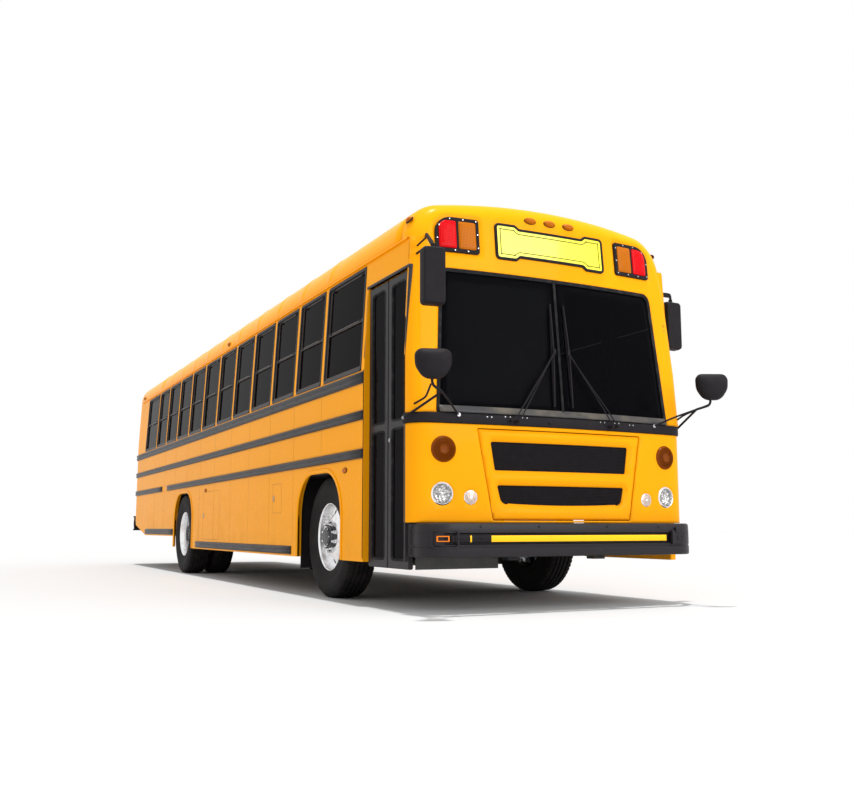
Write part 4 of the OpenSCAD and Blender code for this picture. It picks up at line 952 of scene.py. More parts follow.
def windshield():
    """Two bowed panes, and the rubber around them and down the middle."""
    shape = Shape()
    for side in (-1, 1):
        x = np.linspace(0.006, 1, 14)[:, None]
        z = np.linspace(COWL_TOP_Z + 0.004, GLASS_TOP_Z - 0.004, 12)[None]
        half = GLASS_FOOT + (GLASS_HEAD - GLASS_FOOT) * (z - COWL_TOP_Z) / (GLASS_TOP_Z
            - COWL_TOP_Z)
        xx = side * x * (half - 0.004)
        sheet = on_face(np.stack([xx, z + 0 * xx, -0.008 + 0 * xx], -1))
        shape.grid(sheet, flip=side > 0)
    shape.build("windshield_panes", "root", "windshield", replaces=["windshield"], closed=False,
        thick=0.006)

    seal = Shape()
    border = rounded([[-GLASS_FOOT, COWL_TOP_Z], [GLASS_FOOT, COWL_TOP_Z],
        [GLASS_HEAD, GLASS_TOP_Z], [-GLASS_HEAD, GLASS_TOP_Z]],
        [0.02, 0.02, 0.07, 0.07], 8)
    border = resampled(border, 0.05, True)
    n = line_normals(border, True)
    profile = rectangle(-0.024, -0.012, 0.004, 0.004, 0.003, 2)
    path = on_face(np.c_[border, np.zeros(len(border))])
    side = np.c_[n[:, 0], np.zeros(len(n)), n[:, 1]]
    seal.sweep(path, side, OUT_OF_FACE, profile)
    middle = on_face(np.c_[np.zeros(20), np.linspace(COWL_TOP_Z, GLASS_TOP_Z, 20), np.zeros(20)])
    seal.sweep(middle, [1.0, 0, 0], OUT_OF_FACE, rectangle(-0.011, -0.01, 0.011, 0.006, 0.003, 2),
        False)
    seal.build("windshield_rubber", "root", "rubber")


def grille_mesh(outline, depth, place, shape):
    """A woven grille: a sheet with staggered hexagonal holes, clipped to the outline."""
    pitch = 0.0125
    low, high = outline.min(0), outline.max(0)
    rows = int((high[1] - low[1]) / (pitch * 0.866)) + 2
    columns = int((high[0] - low[0]) / pitch) + 2
    i, j = np.meshgrid(np.arange(columns), np.arange(rows))
    centres = np.stack([low[0] + (i + (j % 2) * 0.5) * pitch, low[1] + j * pitch * 0.866],
        -1).reshape(-1, 2)
    centres = centres[outline_distance(centres, outline) < -0.004]
    a = np.radians(np.arange(6) * 60 + 30)
    star = np.c_[np.cos(a), np.sin(a)]
    outer, inner = star * pitch * 0.577, star * pitch * 0.43
    count = len(centres)
    rim = np.concatenate([centres[:, None] + outer, centres[:, None] + inner,
        centres[:, None] + inner], 1)
    h = np.tile(np.repeat([depth + 0.002, depth + 0.002, depth - 0.004], 6), count)
    points = place(np.c_[rim.reshape(-1, 2), h])
    base = (np.arange(count) * 18)[:, None, None]
    k = np.arange(6)
    k1 = (k + 1) % 6
    quads = np.stack([k, k1, k1 + 6, k + 6], -1)
    walls = np.stack([k + 6, k1 + 6, k1 + 12, k + 12], -1)
    shape.add(points, (np.concatenate([quads, walls])[None] + base).reshape(-1, 4))


def grille_outline(corners, bowed, grow=0.0):
    """A grille opening with soft corners; the lower one's foot bows down to its middle."""
    corners = np.array(corners)
    middle = corners.mean(0)
    corners = corners + np.sign(corners - middle) * grow
    if not bowed:
        return resampled(rounded(corners, 0.014 + grow, 5), 0.04, True)
    x = np.linspace(corners[0][0] + 0.055, corners[1][0] - 0.055, 24)
    foot = np.c_[x, corners[0][1] - 0.012 * (1 - (x / x[-1]) ** 2) + 0.006]
    rest = rounded([corners[1], corners[2], corners[3], corners[0]],
        [0.055, 0.014 + grow, 0.014 + grow, 0.055], 6)
    return resampled(np.concatenate([foot, rest]), 0.04, True)


def fascia():
    """Nose panel around the grille panel, the grille panel with its pressed surround, both grilles."""
    nose, half = along_nose()
    shape = Shape()
    border = [[-half, FASCIA_Z], [half, FASCIA_Z], [half, COWL_Z - 0.001], [-half, COWL_Z - 0.001]]
    gap = rounded(HOOD, 0.012, 3)
    lamps = [ring([s * x, z], r + 0.012, 40) for s in (-1, 1)
        for x, z, r in (HEAD_LAMP, SMALL_LAMP)]
    inner = [ring([s * x, z], r + 0.001, 40) for s in (-1, 1)
        for x, z, r in (HEAD_LAMP, SMALL_LAMP)]
    discs = [ring([s * TURN_LAMP[0], TURN_LAMP[1]], TURN_LAMP[2] + g, 48) for s in (-1, 1)
        for g in (0.004, 0.02)]
    points, faces = panel(border, [gap, *inner], 0.035, [*lamps, *discs])
    h = np.zeros(len(points))
    for s in (-1, 1):
        for x, z, r in (HEAD_LAMP, SMALL_LAMP):
            far = np.hypot(points[:, 0] - s * x, points[:, 1] - z) - r
            h -= 0.01 * (1 - smooth_step(far, 0, 0.012))
        far = np.hypot(points[:, 0] - s * TURN_LAMP[0], points[:, 1] - TURN_LAMP[1]) - TURN_LAMP[2]
        h += 0.004 * (1 - smooth_step(far, 0.004, 0.02))
    shape.add(nose(np.c_[points, h]), faces)
    shape.build("nose_panel", "root", "yellow", replaces=["front_fascia"], closed=False,
        thick=0.016, angle=50)

    shape = Shape()
    border = rounded(np.array(HOOD) + np.array([[1, 1], [-1, 1], [-1, -1], [1, -1]])
        * [0.006, 0.006], 0.01, 4)
    outer = [grille_outline(UPPER_GRILLE, False, 0.034), grille_outline(LOWER_GRILLE, True, 0.034)]
    step = [grille_outline(UPPER_GRILLE, False, 0.014), grille_outline(LOWER_GRILLE, True, 0.014)]
    holes = [grille_outline(UPPER_GRILLE, False), grille_outline(LOWER_GRILLE, True)]
    points, faces = panel(border, holes, 0.03, [*outer, *step])
    h = np.zeros(len(points))
    for hole in holes:
        far = outline_distance(points, hole)
        h -= 0.022 * (1 - smooth_step(far, 0.01, 0.026))
    h -= 0.006 * (1 - smooth_step(-outline_distance(points, border), 0, 0.01))
    shape.add(nose(np.c_[points, h]), faces)
    shape.build("grille_panel_skin", "grille_panel", "yellow", replaces=["grille_panel"],
        closed=False, thick=0.012, angle=50)

    shape = Shape()
    for hole in holes:
        grille_mesh(hole, -0.029, nose, shape)
        points, faces = panel(hole, (), 0.05)
        shape.add(raised(nose, points, -0.042), faces, 1)
        edge = raised(nose, hole, -0.027)
        shape.tube(edge, 0.0035, 5, closed=True)
    shape.build("grille_mesh", "grille_panel", ["plastic", "rubber"], replaces=["grilles"],
        closed=False)


def cowl():
    """The dark strip under the windshield: rolled edges, a ledge with a paler vent lip, bolts."""
    nose, half = along_nose()
    shape = Shape()
    profile = [(-0.02, COWL_Z + 0.002), (0.006, COWL_Z + 0.001), (0.011, COWL_Z + 0.006),
        (0.012, COWL_Z + 0.014),
        (0.012, COWL_TOP_Z - 0.016), (0.009, COWL_TOP_Z - 0.005), (0.001, COWL_TOP_Z),
        (-0.03, COWL_TOP_Z + 0.001)]
    s = np.concatenate([np.linspace(-half, -1.0, 24), np.linspace(-1.0, 1.0, 50)[1:-1],
        np.linspace(1.0, half, 24)])
    h, z = np.array(profile).T
    grid = nose(np.stack([s[:, None] + 0 * h, z + 0 * s[:, None], h + 0 * s[:, None]], -1))
    shape.grid(grid)
    for x, z, r in [(0.33, 1.392, 0.006), (0.37, 1.392, 0.006), (0.47, 1.392, 0.006),
            (0.51, 1.392, 0.006), (0.62, 1.385, 0.006), (0.655, 1.385, 0.006)]:
        for side in (-1, 1):
            bolt(shape, nose, side * x, z, 0.012, r, mark=1)
    bolt(shape, nose, -0.13, 1.366, 0.011, 0.018, mark=0)
    shape.build("cowl_strip", "root", ["plastic", "steel"], replaces=["cowl"], closed=False)

    lip = Shape()
    x = np.linspace(-1.02, 1.02, 60)
    foot = on_face(np.c_[x, np.full(60, COWL_TOP_Z + 0.001), np.full(60, 0.004)])
    rows = [foot + [0, -0.014, 0.002], foot + [0, -0.014, 0.012], foot + [0, -0.004, 0.032],
        foot + [0, 0.006, 0.052], foot + [0, 0.016, 0.054]]
    lip.grid(np.array(rows), flip=True)
    lip.build("vent_lip", "root", "vent", closed=False, thick=0.003)


def bolt(shape, place, s, z, h, r, mark=0, count=10):
    """A domed screw head standing on a surface."""
    domes = [(r, h - 0.003), (r, h + r * 0.25), (r * 0.7, h + r * 0.55), (0.0001, h + r * 0.6)]
    a = full_turn(count)
    rows = [np.c_[s + q * np.cos(a), z + q * np.sin(a), np.full(count, k)] for q, k in domes]
    shape.grid(place(np.array(rows)), wrap_v=True, mark=mark)
# ---------------------------------------------------------------- lamps, sign, bumper


def warning_lamps():
    """Black lamp boxes sunk in their pockets: red outer and amber inner crowned lenses, a bar
    between them, small screws around the frame."""
    frames, reds, ambers = Shape(), Shape(), Shape()
    for side in (-1, 1):
        outline = lamp_outline(side)
        hole = [lamp_half(side, part) for part in (1, -1)]
        points, faces = panel(outline, hole, 0.05)
        front = raised(on_face, points, 0.004)
        frames.add(front, faces)
        n = line_normals(outline, True)
        rows = frames.rings(on_face, [(outline + n * g, h)
            for g, h in ((0, 0.004), (0.001, 0.001), (0.001, -0.022))])
        for loop in hole:
            frames.rings(on_face, [(loop, h) for h in (0.004, -0.014)])
        corners = lamp_outline(side, -0.013)
        length = np.concatenate([[0],
            np.cumsum(np.linalg.norm(np.diff(np.concatenate([corners, corners[:1]]), axis=0),
                axis=1))])
        for t in np.linspace(0, length[-1], 11)[:-1] + 0.02:
            i = min(np.searchsorted(length, t % length[-1]) - 1, len(corners) - 1)
            a, b = corners[i], corners[(i + 1) % len(corners)]
            x, z = a + (b - a) * ((t % length[-1]) - length[i]) / max(length[i + 1] - length[i],
                1e-9)
            bolt(frames, on_face, x, z, 0.0065, 0.0055, 1)
        for part, shape in ((1, reds), (-1, ambers)):
            loop = lamp_half(side, part, -0.002)
            rows = []
            for inset, h in ((0, -0.006), (0.001, 0.005), (0.006, 0.01), (0.016, 0.0125),
                    (0.045, 0.0145)):
                centre = loop.mean(0)
                size = np.abs(loop - centre).max(0)
                rows.append(raised(on_face, centre + (loop - centre) * (1 - inset / size), h))
            shape.grid(np.array(rows), wrap_v=True)
            shape.filled(rows[-1])
    frames.build("warning_lamp_frames", "root", ["plastic", "bright"], closed=False, angle=30)
    reds.build("warning_lamp_red", "root", "red_lens", slot="red_lens", closed=False)
    ambers.build("warning_lamp_amber", "root", "amber_lens", slot="amber_lens", closed=False)


def lamp_half(side, part, grow=0.0):
    """The outer (1) or inner (-1) lens opening of a lamp box."""
    x0, x1, b = (0.007, 0.152, 0.11) if part > 0 else (-0.152, -0.007, 0.11)
    radii = [0.014, 0.014, 0.105 if part > 0 else 0.014, 0.014]
    box = rounded([[x0 - grow, -b - grow], [x1 + grow, -b - grow], [x1 + grow, b + grow],
        [x0 - grow, b + grow]], radii, 7)
    box = resampled(box, 0.03, True)
    return (box if side > 0 else (box * [-1, 1])[::-1]) + [side * WARNING_X, WARNING_Z]


def sign_outline(grow=0.0):
    """The sign's edge: its ends stand taller than the middle, with slanted steps."""
    a, b, c = 0.499, 0.322, 0.287
    half = np.array([[0.0, -0.118], [c, -0.118], [b, -0.145], [a, -0.145], [a, 0.145], [b, 0.145],
        [c, 0.118], [0.0, 0.118]])
    line = np.concatenate([half[1:-1], (half * [-1, 1])[-2:0:-1]])
    radii = [0.012, 0.012, 0.035, 0.035, 0.012, 0.012] * 2
    line = resampled(rounded(line, radii, 4), 0.06, True)
    return line + line_normals(line, True) * grow + [0, 2.75]


def sign():
    """A blank bright sign in a black frame, and the three domed lamps above it."""
    board, edge, domes = Shape(), Shape(), Shape()
    points, faces = panel(sign_outline(-0.018), (), 0.08)
    board.add(raised(on_face, points, 0.01), faces)
    board.build("sign_sheet", "root", "sign", slot="sign_yellow", replaces=["sign_board"],
        closed=False)
    outer, inner = sign_outline(), sign_outline(-0.02)
    rows = []
    for t, h in ((0, -0.01), (0, 0.012), (0.12, 0.015), (0.88, 0.015), (1, 0.012), (1, 0.004)):
        rows.append(raised(on_face, outer + (inner - outer) * t, h))
    edge.grid(np.array(rows), wrap_v=True)
    edge.rings(on_face, [(sign_outline(g), 0.012) for g in (-0.042, -0.048)])
    edge.build("sign_frame", "root", "plastic", closed=False)
    for x in (-0.177, 0, 0.177):
        dome_lamp(domes, on_face, x, 2.951, 0.048, 0.024, 0.0, 0.03)
    for sx in (-1, 1):
        for y, z in ((at_axle(-1.65), 2.872), (at_axle(3.3), 2.782), (TAIL_Y - 0.33, 2.782)):
            domes_side(domes, sx, y, z)
    domes.build("clearance_lamps", "root", ["amber_lens", "plastic"], slot="amber_lens",
        closed=False)


def dome_lamp(shape, place, s, z, a, b, base, height):
    """An oval lamp: a flat base and a crowned lens, an ellipse shrinking as it rises."""
    t = full_turn(28)
    oval = np.c_[a * np.cos(t), b * np.sin(t)]
    shape.rings(place, [(oval * k + [s, z], base + h)
        for k, h in ((1.12, -0.004), (1.12, 0.004), (1.04, 0.006))], mark=1)
    rows = []
    for angle in np.radians(np.linspace(0, 88, 7)):
        k, h = math.cos(angle), 0.005 + (height - 0.005) * math.sin(angle)
        rows.append(raised(place, oval * max(k, 0.02) + [s, z], base + h))
    shape.grid(np.array(rows), wrap_v=True)


def domes_side(shape, side, y, z):
    """A clearance lamp on the roof edge, low and oval, leaning with the roof."""
    n = unit([side * 0.8, 0, 0.6]) if z > 2.8 else unit([side * 0.97, 0, 0.25])
    up = np.cross(n, [0, side, 0])
    line = section(2.0, 0.004)
    line = line[line[:, 0] * side > 0]
    x = side * abs(line[np.argmin(np.abs(line[:, 1] - z)), 0])
    dome_lamp(shape, placed([x, y, z], (0, side, 0), up, n), 0, 0, 0.045, 0.024, -0.002, 0.026)


def front_lamps():
    """Round lamps of the nose: amber turn lamps with a ribbed crown, headlamps with a faceted
    bowl, bulb and bezel, small frosted lamps between them."""
    nose = along_nose()[0]
    amber, bowl, pane, bezel, small = Shape(), Shape(), Shape(), Shape(), Shape()
    for side in (-1, 1):
        x, z, r = TURN_LAMP
        p = lamp_place(nose, side * x, z)
        profile = [(r + 0.002, -0.002), (r + 0.002, 0.008), (r - 0.006, 0.014)]
        rings = np.linspace(r - 0.008, 0.036, 34)
        profile += [(q, 0.016 + 0.012 * (1 - (q / r) ** 2) + 0.0016 * math.sin(i * math.pi / 1.5))
            for i, q in enumerate(rings)]
        profile += [(0.034, 0.024), (0.03, 0.019), (0.012, 0.018), (0.0005, 0.018)]
        amber.lathe(profile, p, 56)
        for turn in range(40):
            a = turn * math.pi / 20
            q = np.array([[c * math.cos(a), c * math.sin(a), 0.0195 + 0.012 * (1 - (c / r) ** 2)]
                for c in np.linspace(0.042, r - 0.012, 7)])
            amber.tube(p(q), 0.0014, 4)
        x, z, r = HEAD_LAMP
        p = lamp_place(nose, side * x, z)
        bowl.lathe([(r - 0.004, 0.0), (r - 0.01, -0.008), (r * 0.78, -0.024), (r * 0.52, -0.036),
            (0.016, -0.042), (0.014, -0.042)], p, 40)
        bowl.lathe([(0.0145, -0.043), (0.0145, -0.03), (0.011, -0.016), (0.008, -0.006),
            (0.0005, -0.004)], p, 16, mark=1)
        bowl.tube(p(np.array([[-r * 0.7, 0.012, -0.02], [0, 0.004, -0.012],
            [r * 0.7, 0.012, -0.02]])), 0.0022, 5, mark=1)
        pane.lathe([(r - 0.001, 0.001), (r * 0.93, 0.006), (r * 0.7, 0.0095), (r * 0.35, 0.0115),
            (0.0005, 0.012)], p, 40)
        bezel.lathe([(r + 0.011, -0.012), (r + 0.01, -0.004), (r + 0.004, 0.001), (r, 0.003),
            (r - 0.004, 0.001), (r - 0.004, -0.006)], p, 48)
        x, z, r = SMALL_LAMP
        p = lamp_place(nose, side * x, z)
        small.lathe([(r, -0.002), (r * 0.96, 0.003), (r * 0.7, 0.0068), (r * 0.4, 0.008),
            (0.0005, 0.0082)], p, 32)
        small.lathe([(0.01, 0.008), (0.009, 0.0084), (0.0005, 0.0085)], p, 12, mark=1)
        bezel.lathe([(r + 0.01, -0.012), (r + 0.008, -0.003), (r + 0.003, 0.002),
            (r - 0.001, 0.003), (r - 0.003, 0.0)], p, 40)
        for turn in (30, 150, 270):
            a = math.radians(turn)
            bolt(bezel, p, (r + 0.006) * math.cos(a), (r + 0.006) * math.sin(a), 0.0, 0.003)
    amber.build("turn_lamps", "root", "dark_amber", slot="amber_lens", closed=False, angle=60)
    bowl.build("headlamp_bowls", "root", ["facets", "bright"], replaces=["headlamps"], closed=False)
    pane.build("headlamp_glass", "root", "clear", slot="clear_lens", closed=False)
    bezel.build("lamp_bezels", "root", "bright", closed=False)
    small.build("small_lamps", "root", ["frosted", "bright"], closed=False)


def lamp_place(nose, s, z):
    """Local axes of a lamp on the nose: u across, v up, w out of the panel."""
    origin = nose([s, z, 0.0])
    w = unit(nose([s, z, 1.0]) - origin)
    u = unit(np.cross([0, 0, 1], -w)) * 1.0
    return placed(origin, u, (0, 0, 1), w)


def bumper():
    """The black front bumper: a bar with rounded ends and edges, a channel for the crossing
    gate, the gate's actuator box and latch, and the gate itself."""
    out_y = FACE_Y - 0.1
    r = 0.2
    half_w = HALF_W - 0.034
    z0, z1 = span("front_bumper")[0][2], span("front_bumper")[1][2]
    half = [[0, out_y], [half_w - r, out_y]]
    half = np.concatenate([resampled(half, 0.06), arc([half_w - r, out_y + r], r, -90, 0, 12)[1:]])
    half = np.concatenate([half, resampled([half[-1], [half_w, CAP_SIDE_Y - 0.012]], 0.05)[1:]])
    line = np.concatenate([(half * [-1, 1])[:0:-1], half])
    n = line_normals(line, False)
    n = n / np.linalg.norm(n, axis=1)[:, None]
    shape = Shape()
    outer = [(-0.04, z0 + 0.001), (-0.01, z0), (-0.003, z0 + 0.004), (0, z0 + 0.012),
        (0, z0 + 0.066), (-0.004, z0 + 0.07), (-0.004, z0 + 0.076), (0, z0 + 0.082),
        (0, z0 + 0.087), (0, z1 - 0.07), (0, z1 - 0.062), (-0.002, z1 - 0.016),
        (-0.006, z1 - 0.006), (-0.016, z1), (-0.058, z1), (-0.06, z1 - 0.004),
        (-0.06, z0 + 0.004)]
    h, z = np.array(outer).T
    low, high, deep = 0.478, 0.56, 0.026
    x = line[:, 0]
    keep_left, keep_right = -1.06, 0.98
    # the channel: extra rows between its two edges, pushed in over its length
    rows_h = np.concatenate([h[:9], [0, -0.004, -deep, -deep, -0.004, 0], h[9:]])
    rows_z = np.concatenate([z[:9], [low, low + 0.003, low + 0.007, high - 0.007, high - 0.003,
        high], z[9:]])
    extra = np.array([keep_left, keep_left + 0.004, keep_right - 0.004, keep_right])
    spots = np.sort(np.concatenate([x, extra]), kind="stable")
    px, py, nx, ny = (np.interp(spots, x, v)[:, None]
        for v in (line[:, 0], line[:, 1], n[:, 0], n[:, 1]))
    depth = np.zeros((len(spots), len(rows_h))) + rows_h
    inner = (spots > keep_left + 0.002) & (spots < keep_right - 0.002)
    depth[:, 9:15] = np.where(inner[:, None], rows_h[9:15], 0)
    front = np.abs(spots) < half_w - 1e-4
    body = np.stack([px + nx * depth, py + ny * depth, rows_z + 0 * depth], -1)[front]
    tail = grid_tail(half, half_w, rows_h, rows_z)
    body = np.concatenate([(tail * [-1, 1, 1])[::-1], body, tail])
    shape.grid(body, wrap_v=True, flip=True)
    shape.filled(body[0])
    shape.filled(body[-1], flip=True)
    # actuator box, latch and details at the channel's ends
    gate = span("crossing_gate")

    def place(points):
        px, pz, ph = np.moveaxis(np.asarray(points, float), -1, 0)
        t = np.clip(np.abs(px) - (half_w - r), 0, r * 0.98)
        nx, ny = np.sign(px) * t / r, -np.sqrt(1 - (t / r) ** 2)
        return np.stack([px + nx * ph, out_y + r + ny * (r + ph), pz], -1)

    box = rectangle(-1.135, 0.455, -0.955, 0.583, 0.022, 5)
    edge = rectangle(-1.123, 0.467, -0.967, 0.571, 0.014, 5)
    shape.rings(place, [(box, -0.001), (box, 0.006), (box * 0.98 + edge * 0.02, 0.01), (edge, 0.01),
        (edge, 0.0005)])
    slot = rectangle(-1.105, 0.5, -1.025, 0.54, 0.004, 3)
    inner = rectangle(-1.096, 0.507, -1.034, 0.533, 0.003, 3)
    shape.rings(place, [(slot, 0.0), (slot, 0.006), (inner, 0.006), (inner, 0.001)], mark=1)
    for x0, x1, a, b, y0, y1 in ((0.895, 0.915, 0.47, 0.575, -0.006, 0.026),
            (0.915, 1.02, 0.474, 0.57, -0.003, 0.012), (0.935, 0.97, 0.56, 0.6, 0.0, 0.02)):
        block(shape, (x0, out_y - y1, a), (x1, out_y - y0, b), 0.004)
    shape.lathe([(0.016, -0.004), (0.016, 0.016), (0.012, 0.019), (0.0005, 0.019)],
        placed([0.968, out_y, 0.52]), 20, mark=0)
    for q in (0.0, 0.03, 0.052):
        bolt(shape, place, 0.99 + q * 0.5, 0.495 + q, 0.013, 0.005, 0)
    for q in ((-0.78, 0.604), (-0.3, 0.604), (0.3, 0.604), (0.78, 0.604)):
        bolt(shape, place, q[0], q[1], 0.001, 0.008)
    shape.build("front_bumper_bar", "root", ["black", "orange", "bright"],
        replaces=["front_bumper"], closed=False, angle=32)

    arm = Shape()
    low, high = gate
    y0, y1, z0, z1 = low[1], high[1], low[2], high[2]
    yc, zc = (y0 + y1) / 2, (z0 + z1) / 2
    hy, hz = 0.01, (z1 - z0) / 2 - 0.001
    hinge = -1.0
    bar = rectangle(-hy, -hz, hy, hz, 0.005, 3)
    for x0, x1, mark, g in ((-0.7, high[0] - 0.001, 0, 0.0), (-0.868, -0.856, 0, 0.0008),
            (-0.985, -0.7, 1, 0.0005)):
        rows = np.array([np.c_[np.full(len(bar), x), yc + bar[:, 0] * (1 + g * 60),
            zc + bar[:, 1] * (1 + g * 30)] for x in (x0, x1)])
        arm.grid(rows, wrap_v=True, mark=mark)
        arm.filled(rows[0], mark)
        arm.filled(rows[1], mark, flip=True)
    arm.lathe([(0.0005, hz + 0.0005), (0.0145, hz), (0.0155, hz - 0.002), (0.0155, 0.002 - hz),
        (0.0145, -hz), (0.0005, -hz - 0.0005)], placed([hinge, yc, zc], *UPWARD), 24, mark=1)
    for q in (-0.955, -0.78):
        bolt(arm, placed([0, y0, 0]), q, zc, 0.0, 0.005, 1)
    arm.build("crossing_gate_arm", "crossing_gate", ["gate", "plastic"], replaces=["crossing_gate"],
        angle=32)


def grid_tail(half, half_w, rows_h, rows_z):
    """The bumper's straight return beside the body, where the channel has run out."""
    y = half[half[:, 0] > half_w - 1e-4][:, 1]
    flat = np.where((rows_h < -0.0035) & (rows_h > -0.0265) & (rows_z > 0.477) & (rows_z < 0.561),
        0, rows_h)
    return np.stack([half_w + flat + 0 * y[:, None], y[:, None] + 0 * flat,
        rows_z + 0 * y[:, None]], -1)


def block(shape, low, high, bevel=0.003, mark=0):
    """A box with bevelled upright edges and a small chamfer top and bottom."""
    x0, y0, z0 = low
    x1, y1, z1 = high
    bevel = min(bevel, (x1 - x0) / 3, (y1 - y0) / 3, (z1 - z0) / 3)
    outline = rectangle(x0, y0, x1, y1, bevel, 2)
    inner = rectangle(x0 + bevel / 2, y0 + bevel / 2, x1 - bevel / 2, y1 - bevel / 2, bevel, 2)
    rows = [np.c_[q, np.full(len(q), k)]
        for q, k in ((inner, z0), (outline, z0 + bevel / 2), (outline, z1 - bevel / 2),
            (inner, z1))]
    shape.grid(np.array(rows), wrap_v=True, mark=mark)
    shape.filled(rows[0], mark, flip=True)
    shape.filled(rows[-1], mark)


# ---------------------------------------------------------------- mirrors and wipers


def mirror_head(shape, centre, yaw):
    """A tall mirror: a moulded housing with ridges down its back, and the glass in its face."""
    a = math.radians(yaw)
    u, w = np.array([math.cos(a), math.sin(a), 0]), np.array([math.sin(a), -math.cos(a), 0])
    place = placed(centre, u, (0, 0, 1), w)
    outline = resampled(rectangle(-0.083, -0.203, 0.083, 0.203, 0.028, 6), 0.03, True)
    rows = []
    for k, h in ((0.965, -0.043), (1, -0.036), (1, -0.01), (0.99, 0.018), (0.93, 0.038),
            (0.8, 0.046)):
        size = outline * (1 - (1 - k) * np.array([1, 0.35]))
        ridges = 0.0025 * np.abs(np.sin(size[:, 0] * 95)) * (h > 0.02)
        rows.append(place(np.c_[size, h + ridges]))
    shape.grid(np.array(rows), wrap_v=True)
    shape.filled(rows[-1])
    inner = outline * [0.92, 0.965]
    shape.rings(place, ((outline * [0.965, 0.985], -0.043), (inner, -0.041), (inner, -0.034)),
        flip=True)
    shape.filled(raised(place, inner, -0.036), 1, flip=True)
    band = place(np.array([[x, -0.075, -0.0405] for x in (-0.078, 0.078)]))
    shape.tube(band, 0.004, 6)
    for x in (-0.045, -0.015, 0.015, 0.045):
        shape.tube(place(np.array([[x, z, 0.042 - 0.4 * (abs(z) > 0.15) * 0.01]
            for z in np.linspace(-0.165, 0.165, 8)])), 0.0035, 6)


def crossover_mirror(shape, side, centre):
    """A D-shaped domed mirror: a shell bulging forward, glass behind, on three thin arms."""
    corners = [[-0.118, 0.092], [-0.112, -0.02], [-0.06, -0.096], [0.06, -0.096], [0.112, -0.02],
        [0.118, 0.092]]
    outline = resampled(rounded(corners, [0.05, 0.1, 0.08, 0.08, 0.1, 0.05], 8), 0.02, True) * 1.1
    a = math.radians(-25 if side > 0 else -18)
    place = placed(np.array(centre) + [0, -0.01, 0.012], (math.cos(a), math.sin(a), 0), (0, 0, 1),
        (math.sin(a), -math.cos(a), 0))
    rows = []
    for angle in np.radians(np.linspace(0, 86, 9)):
        k = math.cos(angle) ** 0.75
        rows.append(raised(place, outline * k, 0.066 * math.sin(angle)))
    shape.grid(np.array(rows), wrap_v=True)
    shape.filled(rows[-1])
    shape.rings(place, [(outline * k, h)
        for k, h in ((1, 0), (1.015, -0.004), (1.0, -0.01), (0.94, -0.01), (0.93, -0.006))],
        flip=True)
    shape.filled(raised(place, outline * 0.935, -0.008), 1, flip=True)


def mirrors():
    """Flat mirrors on tube and plate brackets, crossover mirrors on tripod arms."""
    shape = Shape()
    right, left = np.array([-1.21, at_axle(-2.19), 2.305]), np.array([1.302, at_axle(-1.695),
        2.285])
    mirror_head(shape, right, -8)
    mirror_head(shape, left, 6)
    top = right + [0, 0, 0.232]
    shape.tube(bent([right + [0, 0, 0.12], top, [-1.13, at_axle(-1.93), 2.69],
        [-1.055, at_axle(-1.772), 2.722]], 0.05), 0.0105)
    shape.tube(bent([right + [0, 0, 0.16] + [0.004, 0, 0], top + [0.006, 0.01, -0.045],
        [-1.14, at_axle(-1.9), 2.585], [-1.128, at_axle(-1.762), 2.585]], 0.05), 0.0085)
    shape.tube(bent([top + [0, 0.02, -0.01], [-1.135, at_axle(-1.95), 2.66],
        [-1.125, at_axle(-1.77), 2.645]], 0.03), 0.007)
    shape.tube(bent([left + [0, 0, 0.12], left + [0, 0, 0.276], [1.215, at_axle(-1.68), 2.562],
        [1.125, at_axle(-1.67), 2.545]], 0.03), 0.0105)
    block(shape, (1.15, at_axle(-1.715), 2.47), (1.162, at_axle(-1.635), 2.6), 0.004)
    block(shape, (1.16, at_axle(-1.7), 2.53), (1.305, at_axle(-1.688), 2.566), 0.004)
    for base in (right, left):
        for t in (0.15, 0.185):
            block(shape, tuple(base + [-0.018, -0.016, t]), tuple(base + [0.018, 0.016, t + 0.016]),
                0.004, 2)
        shape.lathe([(0.016, 0), (0.016, 0.024), (0.01, 0.028), (0.0005, 0.028)],
            placed(base + [0, 0, 0.204], *UPWARD), 16)
    nose = along_nose()[0]
    for side in (-1, 1):
        c = np.array([side * 1.226, FACE_Y - 0.246, 1.68])
        crossover_mirror(shape, side, c)
        foot = c + [0, 0.01, -0.13]
        knot = foot + [-side * 0.1, 0.05, -0.035]
        shape.tube(bent([c + [0, 0.01, 0.02], c + [0, 0.012, -0.06], foot, knot], 0.04), 0.0095)
        anchors = [nose([side * 1.3, 1.372, 0.008]), nose([side * 0.88, 1.392, 0.008]),
            np.array([side * 1.198, FACE_Y + 0.165, 1.452])]
        for i, anchor in enumerate(anchors):
            shape.tube(bent([knot if i != 2 else foot + [0, 0.02, 0.004],
                (knot + anchor) / 2 + [0, 0, 0.006 * i], anchor], 0.05), 0.0075 if i else 0.009)
            shape.lathe([(0.0005, -0.012), (0.014, -0.012), (0.014, 0.01), (0.0005, 0.01)],
                placed(anchor, (1, 0, 0), (0, 0, 1), (0, -1, 0)), 12, mark=2)
        block(shape, tuple(c + [-0.012, 0.006, -0.055]), tuple(c + [0.012, 0.026, 0.02]), 0.004, 2)
    shape.build("mirror_set", "root", ["plastic", "mirror", "steel"], replaces=["mirrors"],
        closed=False, angle=40)


